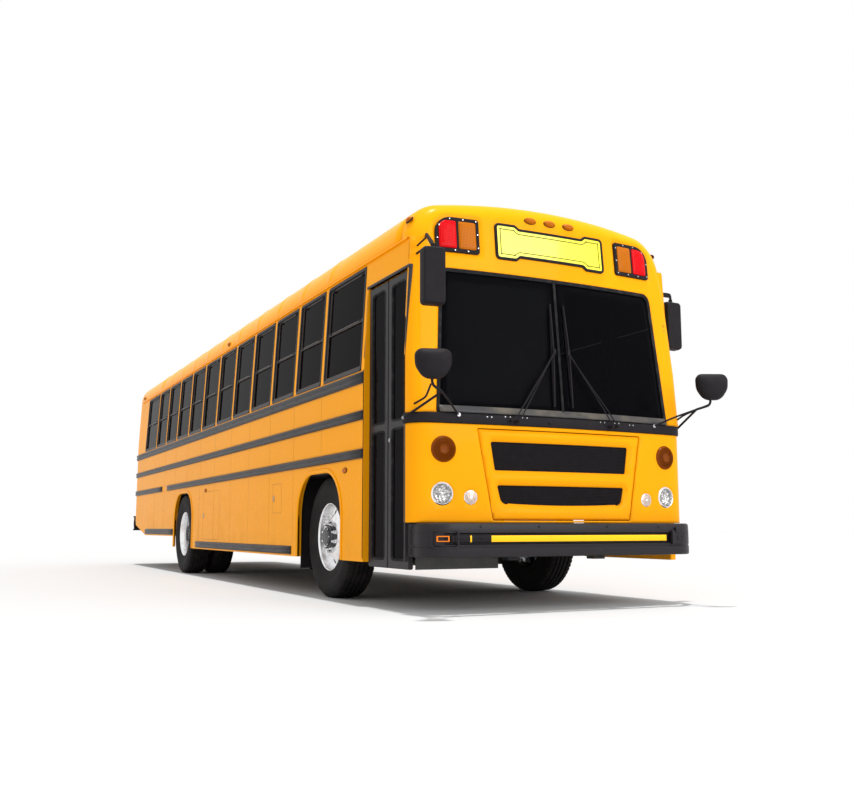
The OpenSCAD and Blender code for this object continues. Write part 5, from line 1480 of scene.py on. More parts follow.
def wipers():
    """Parked wipers: two rods side by side up to each blade, a thin blade with its bridge."""
    shape = Shape()
    for side in (-1, 1):
        x = side * 0.42
        base = np.array([x, FACE_Y - 0.026, COWL_Z + 0.03])
        shape.lathe([(0.0005, 0.026), (0.011, 0.026), (0.015, 0.02), (0.016, -0.014)], placed(base),
            16)
        shape.lathe([(0.0005, 0.02), (0.008, 0.02), (0.011, 0.014), (0.011, -0.014)],
            placed(base + [side * 0.052, 0.004, 0.004]), 14)
        tip = on_face(np.array([side * 0.064, COWL_TOP_Z + 0.5, 0.04]))
        for shift in (0, side * 0.045):
            a = base + [shift, -0.022, 0]
            b = tip + [shift * 0.25, 0, -abs(shift) * 0.6]
            shape.tube(curve_through([a, a * 0.7 + b * 0.3 + [0, -0.006, 0], b], 6), 0.0048, 8)
        z = np.linspace(COWL_TOP_Z + 0.08, COWL_TOP_Z + 0.88, 24)
        bladex = side * (0.082 - 0.022 * (z - z[0]) / (z[-1] - z[0]))
        blade = on_face(np.c_[bladex, z, np.full(24, 0.01)])
        shape.sweep(blade, [1.0, 0, 0], OUT_OF_FACE,
            rectangle(-0.003, -0.009, 0.003, 0.004, 0.001, 1), False)
        spring = on_face(np.c_[bladex, z, 0.018 + 0.018 * np.sin(np.linspace(0, math.pi, 24))])
        shape.sweep(spring, [1.0, 0, 0], OUT_OF_FACE,
            rectangle(-0.0055, -0.003, 0.0055, 0.003, 0.001, 1), False)
        block(shape, tuple(tip + [-0.012, -0.006, -0.02]), tuple(tip + [0.012, 0.01, 0.02]), 0.003)
    shape.build("wiper_set", "root", ["plastic"], replaces=["wipers"], closed=False, angle=40)
# ---------------------------------------------------------------- sides, doors and roof

PILLAR_W, WINDOW_PITCH = 0.064, 0.738
FIRST_PILLAR = -0.058
WINDOW_EDGES = [-0.947 - PILLAR_W / 2, *(FIRST_PILLAR + i * WINDOW_PITCH for i in range(11))]
WINDOW_EDGES.append(FIRST_PILLAR + 10 * WINDOW_PITCH + 0.9 + PILLAR_W / 2)
DRIVER_WINDOW = (-1.64, -1.06)
WINDOW_TOP_Z, MEETING_Z = 2.69, BELT_Z + 0.43
DOORWAY = (at_axle(-1.745), at_axle(-1.008))


def on_side(side, lean=True):
    """Sets (y, z, h) on a side wall, h outwards; side is 1 for +X. The points keep their
    winding seen from outside on both sides."""

    def place(points):
        y, z, h = np.moveaxis(np.asarray(points, float), -1, 0)
        x = HALF_W - (np.maximum(z - BELT_Z, 0) * SIDE_LEAN if lean else 0) + h
        return np.stack([side * x, y, z], -1)

    return place


def plate(shape, outer, holes, place, low, high, bevel=0.003, step=0.1, mark=0):
    """A sheet with holes, both faces and every edge, its edges bevelled."""
    outer = resampled(outer, step, True)
    holes = [resampled(hole, step, True) for hole in holes]
    loops = [(outer, outer - line_normals(outer, True) * bevel)]
    loops += [(hole, hole + line_normals(hole, True) * bevel) for hole in holes]
    for h, turned in ((high, False), (low, True)):
        points, faces = panel(loops[0][1], [loop[1] for loop in loops[1:]], step)
        shape.add(raised(place, points, h), faces[:, ::-1] if turned else faces, mark)
    for loop, shrunk in loops:
        rows = [(shrunk, high), (loop, high - bevel), (loop, low + bevel), (shrunk, low)]
        shape.rings(place, [(p, h) for p, h in rows], mark=mark)


def frame_sweep(shape, outline, place, profile, mark=0, step=0.2):
    """A moulding around a closed outline: (a, b) of the profile is outwards in the plane and
    out of it."""
    outline = resampled(outline, step, True)
    n = line_normals(outline, True)
    rows = [raised(place, outline + n * a, b) for a, b in profile]
    return shape.grid(np.array(rows), wrap_u=True, wrap_v=True, mark=mark)


def windows():
    """Split-sash windows: an outer frame, two sash rims, a meeting rail with latches, and a seal
    line around each pane. Panes stay those of the frame."""
    frames, seals = Shape(), Shape()
    outer_profile = [(0.0, 0.0015), (-0.006, 0.005), (-0.02, 0.005), (-0.026, 0.001),
        (-0.026, -0.014), (0.0, -0.014)]
    sash_profile = [(0.0, -0.012), (0.0, -0.003), (-0.004, 0.0), (-0.013, 0.0), (-0.017, -0.004),
        (-0.017, -0.014)]
    for side in (-1, 1):
        place = on_side(side)
        spans = [(a + PILLAR_W / 2, b - PILLAR_W / 2)
            for a, b in zip(WINDOW_EDGES[:-1], WINDOW_EDGES[1:])]
        if side > 0:
            spans.append(DRIVER_WINDOW)
        for a, b in spans:
            y0, y1 = at_axle(a), at_axle(b)
            frame_sweep(frames, rectangle(y0, BELT_Z, y1, WINDOW_TOP_Z, 0.042, 5), place,
                outer_profile)
            for z0, z1, lift in ((BELT_Z + 0.022, MEETING_Z + 0.006, -0.002),
                    (MEETING_Z - 0.012, WINDOW_TOP_Z - 0.022, -0.008)):
                sash = [(p, q + lift) for p, q in sash_profile]
                frame_sweep(frames, rectangle(y0 + 0.022, z0, y1 - 0.022, z1, 0.024, 4), place,
                    sash)
                frame_sweep(seals, rectangle(y0 + 0.04, z0 + 0.018, y1 - 0.04, z1 - 0.018, 0.018,
                    4), place,
                    [(0.001, lift - 0.01), (0.001, lift - 0.004), (-0.005, lift - 0.005),
                        (-0.005, lift - 0.012)])
            for y in (y0 + 0.1, y1 - 0.1):
                for z, h in ((MEETING_Z - 0.001, 0.0005), (WINDOW_TOP_Z - 0.045, -0.006)):
                    q = rectangle(y - 0.022, z - 0.006, y + 0.022, z + 0.006, 0.003, 2)
                    rows = frames.rings(place, [(q, k) for k in (h - 0.004, h + 0.004)], mark=1)
                    frames.filled(rows[1], 1)
    tail = on_tail()
    for side in (-1, 1):
        x0, x1 = sorted((side * 0.47, side * 1.0))
        frame_sweep(frames, rectangle(x0, 1.85, x1, 2.48, 0.05, 5), tail,
            [(0.014, -0.002), (0.01, 0.006), (-0.01, 0.006), (-0.024, 0.0), (-0.024, -0.018),
                (0.014, -0.018)])
    frames.build("window_mouldings", "root", ["black", "plastic"], replaces=["window_frames"],
        closed=True, angle=40)
    seals.build("window_seals", "root", "seal", closed=True)
    paint("window", "window_glass")


def on_tail():
    """Sets (x, z, h) on the bowed rear face, h outwards (to the rear); x runs to +X."""

    def place(points):
        x, z, h = np.moveaxis(np.asarray(points, float), -1, 0)
        return np.stack([x, TAIL_Y + h - 2 * BOW_R + np.sqrt(4 * BOW_R**2 - x**2), z], -1)

    return place


def arch_line(y, foot):
    """A wheel opening's edge from its front foot over the top to its rear foot."""
    half, top, r = 0.57, 1.1, 0.4
    line = np.concatenate([[[-half, foot]], arc([r - half, top - r], r, 180, 90, 14),
        arc([half - r, top - r], r, 90, 0, 14), [[half, foot]]])
    return resampled(line, 0.05) + [y, 0]


# Service flaps of each side: from and to behind the front axle, foot and head
FLAPS = {
    1: ((2.15, 3.05, 0.47, 1.05), (6.15, 6.95, 0.62, 1.06)),
    -1: ((1.02, 1.3, 0.74, 1.02), (3.35, 4.15, 0.46, 1.04)),
}


def side_details():
    """Rolled wheel-arch lips, seams and screws, a drip rail, small lamps, flap outlines."""
    lips, dark, lamps, screws = Shape(), Shape(), Shape(), Shape()
    for side in (-1, 1):
        place = on_side(side)
        for y, foot in ((AXLE_Y, SKIRT_Z + 0.002), (REAR_AXLE_Y, SKIRT_Z + 0.002)):
            line = arch_line(y, foot)
            n = line_normals(line, False) * -1
            rows = [raised(place, line - n * a, h)
                for a, h in ((0.04, -0.001), (0.034, 0.006), (0.022, 0.009), (0.006, 0.009),
                    (0.0, 0.004), (0.0, -0.03), (0.004, -0.03))]
            lips.grid(np.array(rows))
        # drip rail over the windows
        line = np.array([[y, 2.708] for y in np.linspace(CAP_SIDE_Y + 0.02, TAIL_CAP_Y - 0.02, 30)])
        rows = [raised(place, line + [0, z], h)
            for z, h in ((-0.004, -0.001), (-0.004, 0.014), (0.004, 0.017), (0.008, 0.015),
                (0.003, 0.01), (0.018, -0.001))]
        lips.grid(np.array(rows))
        # panel seams below the belt, between the rails
        for i in range(1, 12):
            y = at_axle(FIRST_PILLAR + (i - 1) * WINDOW_PITCH)
            near = min(abs(y - AXLE_Y), abs(y - REAR_AXLE_Y))
            for z0, z1 in ((1.52, 1.72), (1.217, 1.431)):
                strip_groove(dark, place, y, z0, y, z1, 0.0016)
            if near > 0.62:
                strip_groove(dark, place, y, 0.44 if y < REAR_AXLE_Y else 0.6, y, 1.128, 0.0016)
            bolt(screws, place, y, 2.71, 0.0, 0.005, 0, 8)
        for z in (1.829, 1.719, 1.521, 1.43, 1.218, 1.127):
            strip_groove(dark, place, at_axle(-0.99 if side < 0 else -1.69), z, TAIL_Y - 0.13, z,
                0.0012)
        for a, b, z0, z1 in FLAPS[side]:
            outline = rectangle(at_axle(a), z0, at_axle(b), z1, 0.02, 4)
            frame_sweep(dark, outline, place, [(0.0015, 0.0006), (-0.0015, 0.0006),
                (-0.0015, -0.001), (0.0015, -0.001)])
            q = rectangle(at_axle(b) - 0.06, (z0 + z1) / 2 - 0.03, at_axle(b) - 0.035,
                (z0 + z1) / 2 + 0.03, 0.01, 3)
            rows = screws.rings(place, [(q, k) for k in (0, 0.005)])
            screws.filled(rows[1])
        for y in (-0.62, 4.05):
            dome_lamp(lamps, place, at_axle(y), 1.058, 0.046, 0.021, 0.0, 0.016)
    lips.build("side_mouldings", "root", "yellow", closed=False)
    dark.build("side_seams", "root", "seam", closed=False)
    lamps.build("side_lamps", "root", ["amber_lens", "plastic"], closed=False)
    screws.build("side_screws", "root", "steel", closed=False)
    paint("wall", "left_wall", "right_wall")


def strip_groove(shape, place, y0, z0, y1, z1, width):
    """A thin dark line on a panel: a seam between two sheets."""
    n = max(2, int(math.hypot(y1 - y0, z1 - z0) / 0.3))
    t = np.linspace(0, 1, n)[:, None]
    line = np.array([y0, z0]) * (1 - t) + np.array([y1, z1]) * t
    across = np.array([0, 1.0]) if abs(y1 - y0) > abs(z1 - z0) else np.array([1.0, 0])
    rows = [raised(place, line + across * a, h)
        for a, h in ((-width, -0.001), (-width * 0.7, 0.0006), (width * 0.7, 0.0006),
            (width, -0.001))]
    shape.grid(np.array(rows))


def rub_rails():
    """Pressed rub rails: two ribs with a valley between, sloped edges, rounded ends and screws."""
    shape = Shape()
    for side in (-1, 1):
        place = on_side(side, False)
        front = -1.7 if side > 0 else -1.0
        spans = [(front, 8.913, 1.725, 1.823), (front, 8.913, 1.436, 1.515),
            (front, 6.35, 1.133, 1.212), (6.74, 8.913, 1.133, 1.212),
            (0.7, 4.483, 0.352, 0.432), (5.873, 7.953, 0.502, 0.587)]
        for a, b, z0, z1 in spans:
            w = z1 - z0
            profile = [(0.0, -0.001), (0.06, 0.008), (0.14, 0.017), (0.22, 0.0195), (0.32, 0.0185),
                (0.42, 0.012), (0.58, 0.012), (0.68, 0.0185), (0.78, 0.0195), (0.86, 0.017),
                (0.94, 0.008), (1.0, -0.001)]
            ends = [(a, 0.0), (a + 0.006, 0.6), (a + 0.018, 1.0),
                *((y, 1.0) for y in np.linspace(a + 0.3, b - 0.3, 8)), (b - 0.018, 1.0),
                (b - 0.006, 0.6), (b, 0.0)]
            rows = [place(np.array([[at_axle(y), z0 + w * t, h * k] for t, h in profile]))
                for y, k in ends]
            shape.grid(np.array(rows))
            for y in np.arange(a + 0.1, b - 0.05, 0.369):
                bolt(shape, place, at_axle(y), (z0 + z1) / 2, 0.0135, 0.0045, 0, 8)
    place = on_tail()
    for side in (-1, 1):
        for z0, z1 in ((1.725, 1.823), (1.436, 1.515), (1.133, 1.212)):
            x0, x1 = sorted((side * 0.392, side * 1.068))
            w = z1 - z0
            rows = [place(np.array([[x, z0 + w * t, h * k]
                for t, h in ((0, -0.004), (0.08, 0.007), (0.2, 0.0135), (0.4, 0.01), (0.6, 0.01),
                    (0.8, 0.0135), (0.92, 0.007), (1, -0.004))]))
                for x, k in ((x0, 0), (x0 + 0.01, 1), (x1 - 0.01, 1), (x1, 0))]
            shape.grid(np.array(rows))
    shape.build("rub_rail_set", "root", "black", replaces=["rub_rails"], closed=False, angle=40)


def entrance_door():
    """Two hinged leaves with tall framed lights, rubber edges, a push bar and a lock."""
    hinge_r = 0.019
    for name in ("front", "rear"):
        is_front = name == "front"
        leaf = span(name + "_door_leaf")
        x_out, x_in = -leaf[0][0], -leaf[1][0]
        y0, y1 = leaf[0][1], leaf[1][1]
        z0, z1 = leaf[0][2], leaf[1][2] - 0.01
        middle, bar = 1.35, 0.063
        place = placed([0, 0, 0], (0, 1, 0), (0, 0, 1), (-1, 0, 0))
        shape, seal = Shape(), Shape()
        outer = rectangle(y0 + 0.0005, z0, y1 - 0.0005, z1, 0.012, 4)
        holes = [rectangle(y0 + bar, a, y1 - bar, b, 0.03, 5)
            for a, b in ((z0 + bar, middle - bar / 2), (middle + bar / 2, z1 - bar))]
        plate(shape, outer, holes, place, x_in, x_out, 0.008, 0.25)
        for hole in holes:
            frame_sweep(seal, hole, place, [(0.008, x_out - 0.001), (0.006, x_out + 0.003),
                (-0.006, x_out + 0.001), (-0.012, x_out - 0.01), (-0.012, x_out - 0.022),
                (0.0, x_out - 0.022)])
            frame_sweep(seal, hole, place, [(0.008, x_in + 0.001), (0.006, x_in - 0.003),
                (-0.006, x_in), (-0.012, x_in + 0.008), (0.0, x_in + 0.01)])
        y = y1 - 0.003 if is_front else y0 + 0.003
        seal.sweep(np.array([[-x_out + 0.019, y, z]
            for z in np.linspace(z0 + 0.02, z1 - 0.02, 10)]),
            [1.0, 0, 0], np.array([0, 1.0, 0]), ring([0, 0], 0.0085, 10), False)
        if is_front:
            shape.lathe([(0.016, x_out - 0.002), (0.016, x_out + 0.005), (0.012, x_out + 0.008),
                (0.0005, x_out + 0.008)],
                placed([0, y1 - 0.03, 1.24], (0, 1, 0), (0, 0, 1), (-1, 0, 0)), 20, mark=1)
        inner = x_in - 0.018
        yb = (y0 + y1) / 2
        shape.tube(bent(place(np.array([[yb, 1.05, x_in + 0.004], [yb, 1.05, inner - 0.01],
            [yb, 1.32, inner - 0.01], [yb, 1.32, x_in + 0.004]])), 0.03), 0.009, 10, mark=1)
        yh = y0 + hinge_r if is_front else y1 - hinge_r
        for z in (z0 + 0.1, middle, z1 - 0.1):
            shape.lathe([(0.0005, z - 0.05), (0.0155, z - 0.05), (0.0155, z + 0.05),
                (0.0005, z + 0.05)],
                placed([-x_out + hinge_r, yh, 0], *UPWARD), 14)
        shape.lathe([(0.008, z1 - 0.005), (0.008, z1 + 0.01 + 0.0055), (0.0005, z1 + 0.0156)],
            placed([-x_out + hinge_r, yh, 0], *UPWARD), 12)
        body = name + "_leaf"
        shape.build(body + "_frame", body, ["black", "steel"], replaces=[name + "_door_leaf"],
            closed=True, angle=40)
        seal.build(body + "_rubber", body, "rubber", closed=True)
        paint("window", body + "_glass")
    # frame of the doorway and a rain lip above it
    trim = Shape()
    bar = rectangle(-0.011, -0.02, 0.011, 0.004, 0.003, 2)
    for z0, z1, lean in ((0.36, 1.83, False), (1.83, 2.478, True)):
        place = on_side(-1, lean)
        for y in (DOORWAY[0] - 0.012, DOORWAY[1] + 0.012):
            path = place(np.array([[y, z, -0.004] for z in np.linspace(z0, z1, 8)]))
            trim.sweep(path, [0, 1.0, 0], np.array([-1.0, 0, 0]), bar, False)
    path = place(np.array([[y, 2.492, -0.004]
        for y in np.linspace(DOORWAY[0] - 0.023, DOORWAY[1] + 0.023, 8)]))
    trim.sweep(path, [0, 0, 1.0], np.array([-1.0, 0, 0]),
        rectangle(-0.011, -0.02, 0.011, 0.01, 0.003, 2), False)
    trim.build("doorway_trim", "root", "black", closed=True)


def roof():
    """The rolled roof skin with pressed ribs across it, open under both hatches, and its lining."""
    line = section(HEADER_Z)
    x = line[:, 0]
    for edge in (-0.3, 0.3):
        line[np.argmin(np.abs(x - edge)), 0] = edge
    ribs = [at_axle(FIRST_PILLAR + i * WINDOW_PITCH) for i in range(11)]
    hatches = [at_axle(1.15), at_axle(6.35)]
    marks = {CAP_ROOF_Y + 0.002, TAIL_CAP_Y - 0.002}
    for y in ribs:
        marks |= {y - 0.022, y - 0.012, y + 0.012, y + 0.022}
    for y in hatches:
        marks |= {y - 0.3, y + 0.3}
    marks |= set(np.arange(CAP_ROOF_Y + 0.15, TAIL_CAP_Y - 0.1, 0.25).tolist())
    y = np.array(sorted(marks))
    y = y[np.concatenate([[True], np.diff(y) > 0.004])]
    n = line_normals(line, False)
    raised = sum((np.abs(y - rib) < 0.014).astype(float) for rib in ribs) * 0.0035
    ups = raised[:, None] * smooth_step(line[:, 1], HEADER_Z + 0.02, HEADER_Z + 0.08)
    points = np.stack([line[:, 0] + n[:, 0] * ups, y[:, None] + 0 * ups,
        line[:, 1] + n[:, 1] * ups], -1)
    nu, nv = points.shape[:2]
    u, v = np.meshgrid(np.arange(nu - 1), np.arange(nv - 1), indexing="ij")
    quads = np.stack([u * nv + v, (u + 1) * nv + v, (u + 1) * nv + v + 1, u * nv + v + 1],
        -1).reshape(-1, 4)
    middle = points.reshape(-1, 3)[quads].mean(1)
    keep = np.ones(len(quads), bool)
    for hatch in hatches:
        keep &= ~((np.abs(middle[:, 0]) < 0.3) & (np.abs(middle[:, 1] - hatch) < 0.3))
    shape = Shape()
    shape.add(points.reshape(-1, 3), quads[keep])
    shape.build("roof_skin", "root", ["yellow", "lining"], replaces=["roof"], closed=False,
        thick=0.03, lined=True)
    lids = ("front_roof_hatch", "rear_roof_hatch")
    for lid, yc in zip(lids, hatches):
        low, high = span(lid)
        top = Shape()
        outline = rectangle(-0.328, yc - 0.328, 0.328, yc + 0.328, 0.05, 6)
        place = placed([0, 0, 0], *UPWARD)
        layers = [(0.004, high[2] - 0.034), (0, high[2] - 0.026), (0.003, high[2] - 0.008),
            (0.016, high[2] - 0.002), (0.04, high[2] - 0.001), (0.046, high[2] - 0.005),
            (0.09, high[2] - 0.005), (0.096, high[2] - 0.001), (0.2, high[2] - 0.001)]
        top.loft(outline, layers, place)
        skirt = rectangle(-0.29, yc - 0.29, 0.29, yc + 0.29, 0.02, 4)
        top.rings(place, [(skirt, z) for z in (high[2] - 0.034, low[2] + 0.001)])
        for sx in (-1, 1):
            top.tube(bent(np.array([[sx * 0.05, yc + 0.2, low[2] + 0.004],
                [sx * 0.05, yc + 0.2, low[2] + 0.012], [sx * 0.05, yc + 0.2, low[2] + 0.02]]),
                0.002), 0.004, 6, mark=1)
        top.build(lid + "_lid", lid, ["plastic", "steel"], replaces=[lid], closed=False, angle=40)


def tail():
    """Rear details: door mouldings and handle, hinges, round tail lamps, warning lamps, bumper."""
    place = on_tail()
    shape, seal, red, amber = Shape(), Shape(), Shape(), Shape()
    z0, z1 = 1.106, 2.56
    holes = [rectangle(-0.23, a, 0.23, b, 0.035, 5) for a, b in ((1.6, 2.44), (1.18, 1.48))]
    skin = Shape()
    plate(skin, rectangle(-0.3295, z0, 0.3295, z1, 0.03, 5), holes, place, -0.049, -0.0005, 0.004,
        0.2)
    for hole in holes:
        frame_sweep(seal, hole, place, [(0.014, -0.001), (0.011, 0.006), (-0.004, 0.006),
            (-0.012, -0.004), (-0.012, -0.028), (0.0, -0.028)])
    for z in (1.3, 1.85, 2.35):
        skin.lathe([(0.0005, z), (0.0088, z), (0.0088, z + 0.06), (0.0005, z + 0.06)],
            placed([-0.333, TAIL_Y + 0.01, 0], *UPWARD), 12, mark=1)
        block(skin, (-0.326, TAIL_Y - 0.001, z), (-0.297, TAIL_Y + 0.004, z + 0.06), 0.002, 1)
    handle = [[0.255, TAIL_Y, 1.52], [0.255, TAIL_Y + 0.03, 1.52], [0.15, TAIL_Y + 0.034, 1.545],
        [0.14, TAIL_Y + 0.03, 1.545]]
    skin.tube(bent(handle, 0.02), 0.009, 10, mark=1)
    skin.lathe([(0.028, -0.001), (0.028, 0.006), (0.02, 0.009), (0.0005, 0.009)],
        placed([0.255, TAIL_Y, 1.52], *REARWARD), 20, mark=1)
    skin.build("emergency_door_skin", "emergency_door", ["yellow", "steel"],
        replaces=["emergency_door"], closed=True, angle=40)
    seal.build("emergency_door_rubber", "emergency_door", "rubber", closed=True)
    paint("window", "emergency_door_glass")
    gasket = Shape()
    frame_sweep(gasket, rectangle(-0.336, z0 - 0.006, 0.336, z1 + 0.006, 0.03, 5), place,
        [(0.012, -0.001), (0.009, 0.004), (0.001, 0.004), (0.0, -0.002)])
    gasket.build("tail_gasket", "root", "rubber", closed=True)
    for side in (-1, 1):
        for node_shape, a, b in ((amber, 0.7, 0.9), (red, 0.905, 1.06)):
            x0, x1 = sorted((side * a, side * b))
            outline = rectangle(x0, 2.552, x1, 2.728, 0.02, 4)
            rows = node_shape.rings(place,
                [(outline + (np.array([(x0 + x1) / 2, 2.64]) - outline) * k, h)
                    for k, h in ((0, -0.004), (0.02, 0.012), (0.12, 0.018), (0.4, 0.0195))],
                flip=True)
            node_shape.filled(rows[-1], flip=True)
        for z in (1.04, 1.32):
            at = placed([side * 1.01, TAIL_Y - 0.004, z], *REARWARD)
            red.lathe([(0.06, 0.0), (0.06, 0.012), (0.052, 0.018), (0.03, 0.021), (0.0005, 0.0215)],
                at, 32)
            shape.lathe([(0.072, -0.002), (0.07, 0.008), (0.06, 0.01)], at, 32)
    for x in (-0.177, 0, 0.177):
        dome_lamp(red, place, x, 2.76, 0.029, 0.02, 0.0, 0.018)
    red.build("tail_red", "root", ["red_lens", "plastic"], slot="red_lens", replaces=["red_lamps"],
        closed=False)
    amber.build("tail_amber", "root", "amber_lens", slot="amber_lens", replaces=["amber_lamps"],
        closed=False)
    x1, y1 = span("rear_bumper")[1][:2]
    z0, z1, r = 0.56, 0.8, 0.05
    line = np.concatenate([[[-x1, TAIL_Y + 0.002]], arc([r - x1, y1 - r], r, 180, 90, 8),
        arc([x1 - r, y1 - r], r, 90, 0, 8), [[x1, TAIL_Y + 0.002]]])
    n = line_normals(line, False) * -1
    profile = [(-0.014, z0 + 0.02), (-0.012, z0 + 0.001), (0.0, z0), (0.0, z0 + 0.07),
        (-0.004, z0 + 0.08), (-0.004, z1 - 0.08), (0.0, z1 - 0.07), (0.0, z1), (-0.012, z1 - 0.001),
        (-0.014, z1 - 0.02)]
    shape.grid(np.array([np.c_[line - n * h, np.full(len(line), z)] for h, z in profile]))
    for side in (-1, 1):
        x0, x2 = sorted((side * 0.37, side * 0.43))
        block(shape, (x0, TAIL_Y - 0.32, 0.602), (x2, TAIL_Y - 0.001, 0.688), 0.004)
    plate_at = rectangle(-0.16, 0.86, 0.16, 1.02, 0.012, 4)
    rows = shape.rings(place, [(plate_at, k) for k in (0, 0.004)], mark=1)
    shape.filled(rows[1], 1, flip=True)
    shape.build("rear_fittings", "root", ["black", "white"], replaces=["rear_bumper"], closed=False,
        angle=40)
    paint("yellow", "rear_wall")


def stop_arm():
    """A plain red octagon with a white edge band and two lamps, on its swing bracket."""
    low, high = span("stop_arm")
    x0, x1 = low[0], high[0]
    bracket = span("stop_arm_bracket")
    centre = np.array([(low[1] + high[1]) / 2, (low[2] + high[2]) / 2])
    r = (high[2] - low[2]) / 2
    centre[0] = low[1] + r
    a = np.radians(np.arange(8) * 45 + 22.5)
    octagon = centre + np.c_[np.cos(a), np.sin(a)] * r / math.cos(math.pi / 8)
    shape = Shape()
    place = placed([0, 0, 0], (0, 1, 0), (0, 0, 1), (1, 0, 0))
    mid = (x0 + x1) / 2
    plate(shape, rounded(octagon, 0.01, 3), [], place, mid - 0.004, mid + 0.004, 0.002, 0.1)
    for h in (mid + 0.0046, mid - 0.0046):
        outer, inner = (centre + (octagon - centre) * k for k in (0.955, 0.9))
        shape.rings(place, [(q, h) for q in (outer, inner)], mark=1)
    for dz in (-0.125, 0.125):
        for s in (-1, 1):
            at = placed([mid, centre[0], centre[1] + dz], (0, 1, 0), (0, 0, 1), (s, 0, 0))
            shape.lathe([(0.045, 0.003), (0.045, 0.008), (0.038, 0.013),
                (0.0005, (x1 - x0) / 2 - 0.001)], at, 28, mark=2)
    block(shape, (mid - 0.005, centre[0] + r - 0.03, centre[1] - 0.06),
        (mid + 0.005, high[1] - 0.004, centre[1] + 0.06), 0.003, 3)
    pin = high[1] - 0.018
    shape.lathe([(0.0005, -0.068), (0.0145, -0.068), (0.0145, 0.068), (0.0005, 0.068)],
        placed([(bracket[0][0] + bracket[1][0]) / 2 + 0.013, pin, centre[1]], *UPWARD), 16, mark=3)
    shape.build("stop_arm_blade", "stop_arm", ["stop", "white", "red_lens", "plastic"],
        slot="stop_red", replaces=["stop_arm"], closed=True, angle=40)
    paint("black", "stop_arm_bracket")
# ---------------------------------------------------------------- wheels


def wheel_place(side, x):
    """Local axes of a wheel: height runs outwards along X from its middle plane."""
    return placed([side * x, AXLE_Y, AXLE_Z], (0, 1, 0), (0, 0, 1), (side, 0, 0))


def tyre_mesh(shape, place, count=144):
    """A tyre as a lathe: bead, bowed wall with rings, shoulder, crown with four grooves; then a
    shoulder row of staggered blocks cut into it by pulling every other step inwards."""
    half = TYRE_W / 2
    wall = [(0.289, 0.104), (0.296, 0.116), (0.305, 0.12), (0.33, 0.124), (0.345, 0.1255),
        (0.349, 0.1275), (0.353, 0.1255), (0.375, 0.13), (0.4, half - 0.0015),
        (0.425, half - 0.0005), (0.445, half - 0.003), (0.449, half - 0.001),
        (0.455, half - 0.004), (0.47, 0.131), (0.484, 0.127), (0.494, 0.1235)]
    tread, r = [], TYRE_R
    for x, drop in ((0.1205, 0.016), (0.116, 0.01), (0.108, 0.0055), (0.09, 0.0018), (0.072, 0.001),
            (0.068, 0.014), (0.06, 0.014), (0.056, 0.0006), (0.028, 0.0002), (0.024, 0.014),
            (0.017, 0.014), (0.013, 0.0001)):
        tread.append((r - drop, x))
    profile = wall + tread
    profile = profile + [(q, -h) for q, h in profile[::-1]]
    q, h = np.array(profile).T
    a = full_turn(count * 2)
    step = np.arange(count * 2)
    cut = np.zeros((len(q), count * 2))
    shoulder = (q > 0.484) & (np.abs(h) > 0.074)
    cut[shoulder] = np.where(step % 4 == 0, 0.011, 0)
    ribs = (q > r - 0.003) & (np.abs(h) < 0.074)
    cut[ribs] = np.where((step % 4 == 2), 0.004, 0)
    radius = q[:, None] - cut
    points = np.stack([radius * np.cos(a), radius * np.sin(a), h[:, None] + 0 * radius], -1)
    shape.grid(place(points), wrap_v=True)
    for k in range(2):
        for b in full_turn(8):
            side = 1 if k else -1
            t = np.linspace(b, b + 0.42, 12)
            line = np.c_[0.418 * np.cos(t), 0.418 * np.sin(t), np.full(12, side * (half - 0.0012))]
            shape.tube(place(line), 0.0016, 5)
    return shape


def disc_mesh(shape, place, levels, holes, hole_r, hole_at, bore, rim_r, mark=0):
    """A wheel disc: a ring with round hand holes, its height a smooth line through the levels
    (radius, height), with a rolled edge round each hole."""
    centres = [(hole_at * math.cos(a), hole_at * math.sin(a))
        for a in np.radians(np.arange(holes) * 360 / holes + 18)]
    points, faces = panel(ring([0, 0], rim_r, 96),
        [ring([0, 0], bore, 48), *(ring(c, hole_r, 24) for c in centres)], 0.016,
        [ring(c, hole_r + 0.008, 24) for c in centres])
    radius = np.hypot(points[:, 0], points[:, 1])
    radii, heights = np.array(levels).T
    h = np.interp(radius, radii, heights)
    for c in centres:
        h -= 0.006 * (1 - smooth_step(np.hypot(points[:, 0] - c[0], points[:, 1] - c[1]) - hole_r,
            0, 0.008))
    shape.add(place(np.c_[points, h]), faces, mark)
    for c in centres:
        t = full_turn(24)
        base = np.interp(hole_at, radii, heights) - 0.006
        rows = [place(np.c_[c[0] + hole_r * np.cos(t), c[1] + hole_r * np.sin(t),
            np.full(24, base
                + (np.interp(np.hypot(c[0] + hole_r * np.cos(t), c[1] + hole_r * np.sin(t)), radii,
                    heights) - 0.006 - base) - d)]) for d in (0, 0.014)]
        shape.grid(np.array(rows), wrap_v=True, mark=mark)


def nuts(shape, place, count, radius, base, mark, size=0.0165, tall=0.03):
    """Wheel nuts: hexagons on washers, each with its stud."""
    for i in range(count):
        a = 2 * math.pi * (i + 0.5) / count
        c = [radius * math.cos(a), radius * math.sin(a)]
        hexagon = ring(c, size, 6)
        shape.rings(place, [(c + (hexagon - c) * k, base + h)
            for k, h in ((1, -0.004), (1, tall * 0.85), (0.86, tall), (0.52, tall))], mark=mark)
        at = lambda p, c=c: place(np.asarray(p) + [*c, 0])
        shape.lathe([(size * 1.35, base - 0.004), (size * 1.35, base + 0.003),
            (size * 0.9, base + 0.004)], at, 16, mark=mark)
        shape.lathe([(0.0098, base + tall - 0.004), (0.0098, base + tall + 0.01),
            (0.007, base + tall + 0.013), (0.0005, base + tall + 0.013)], at, 10, mark=mark)


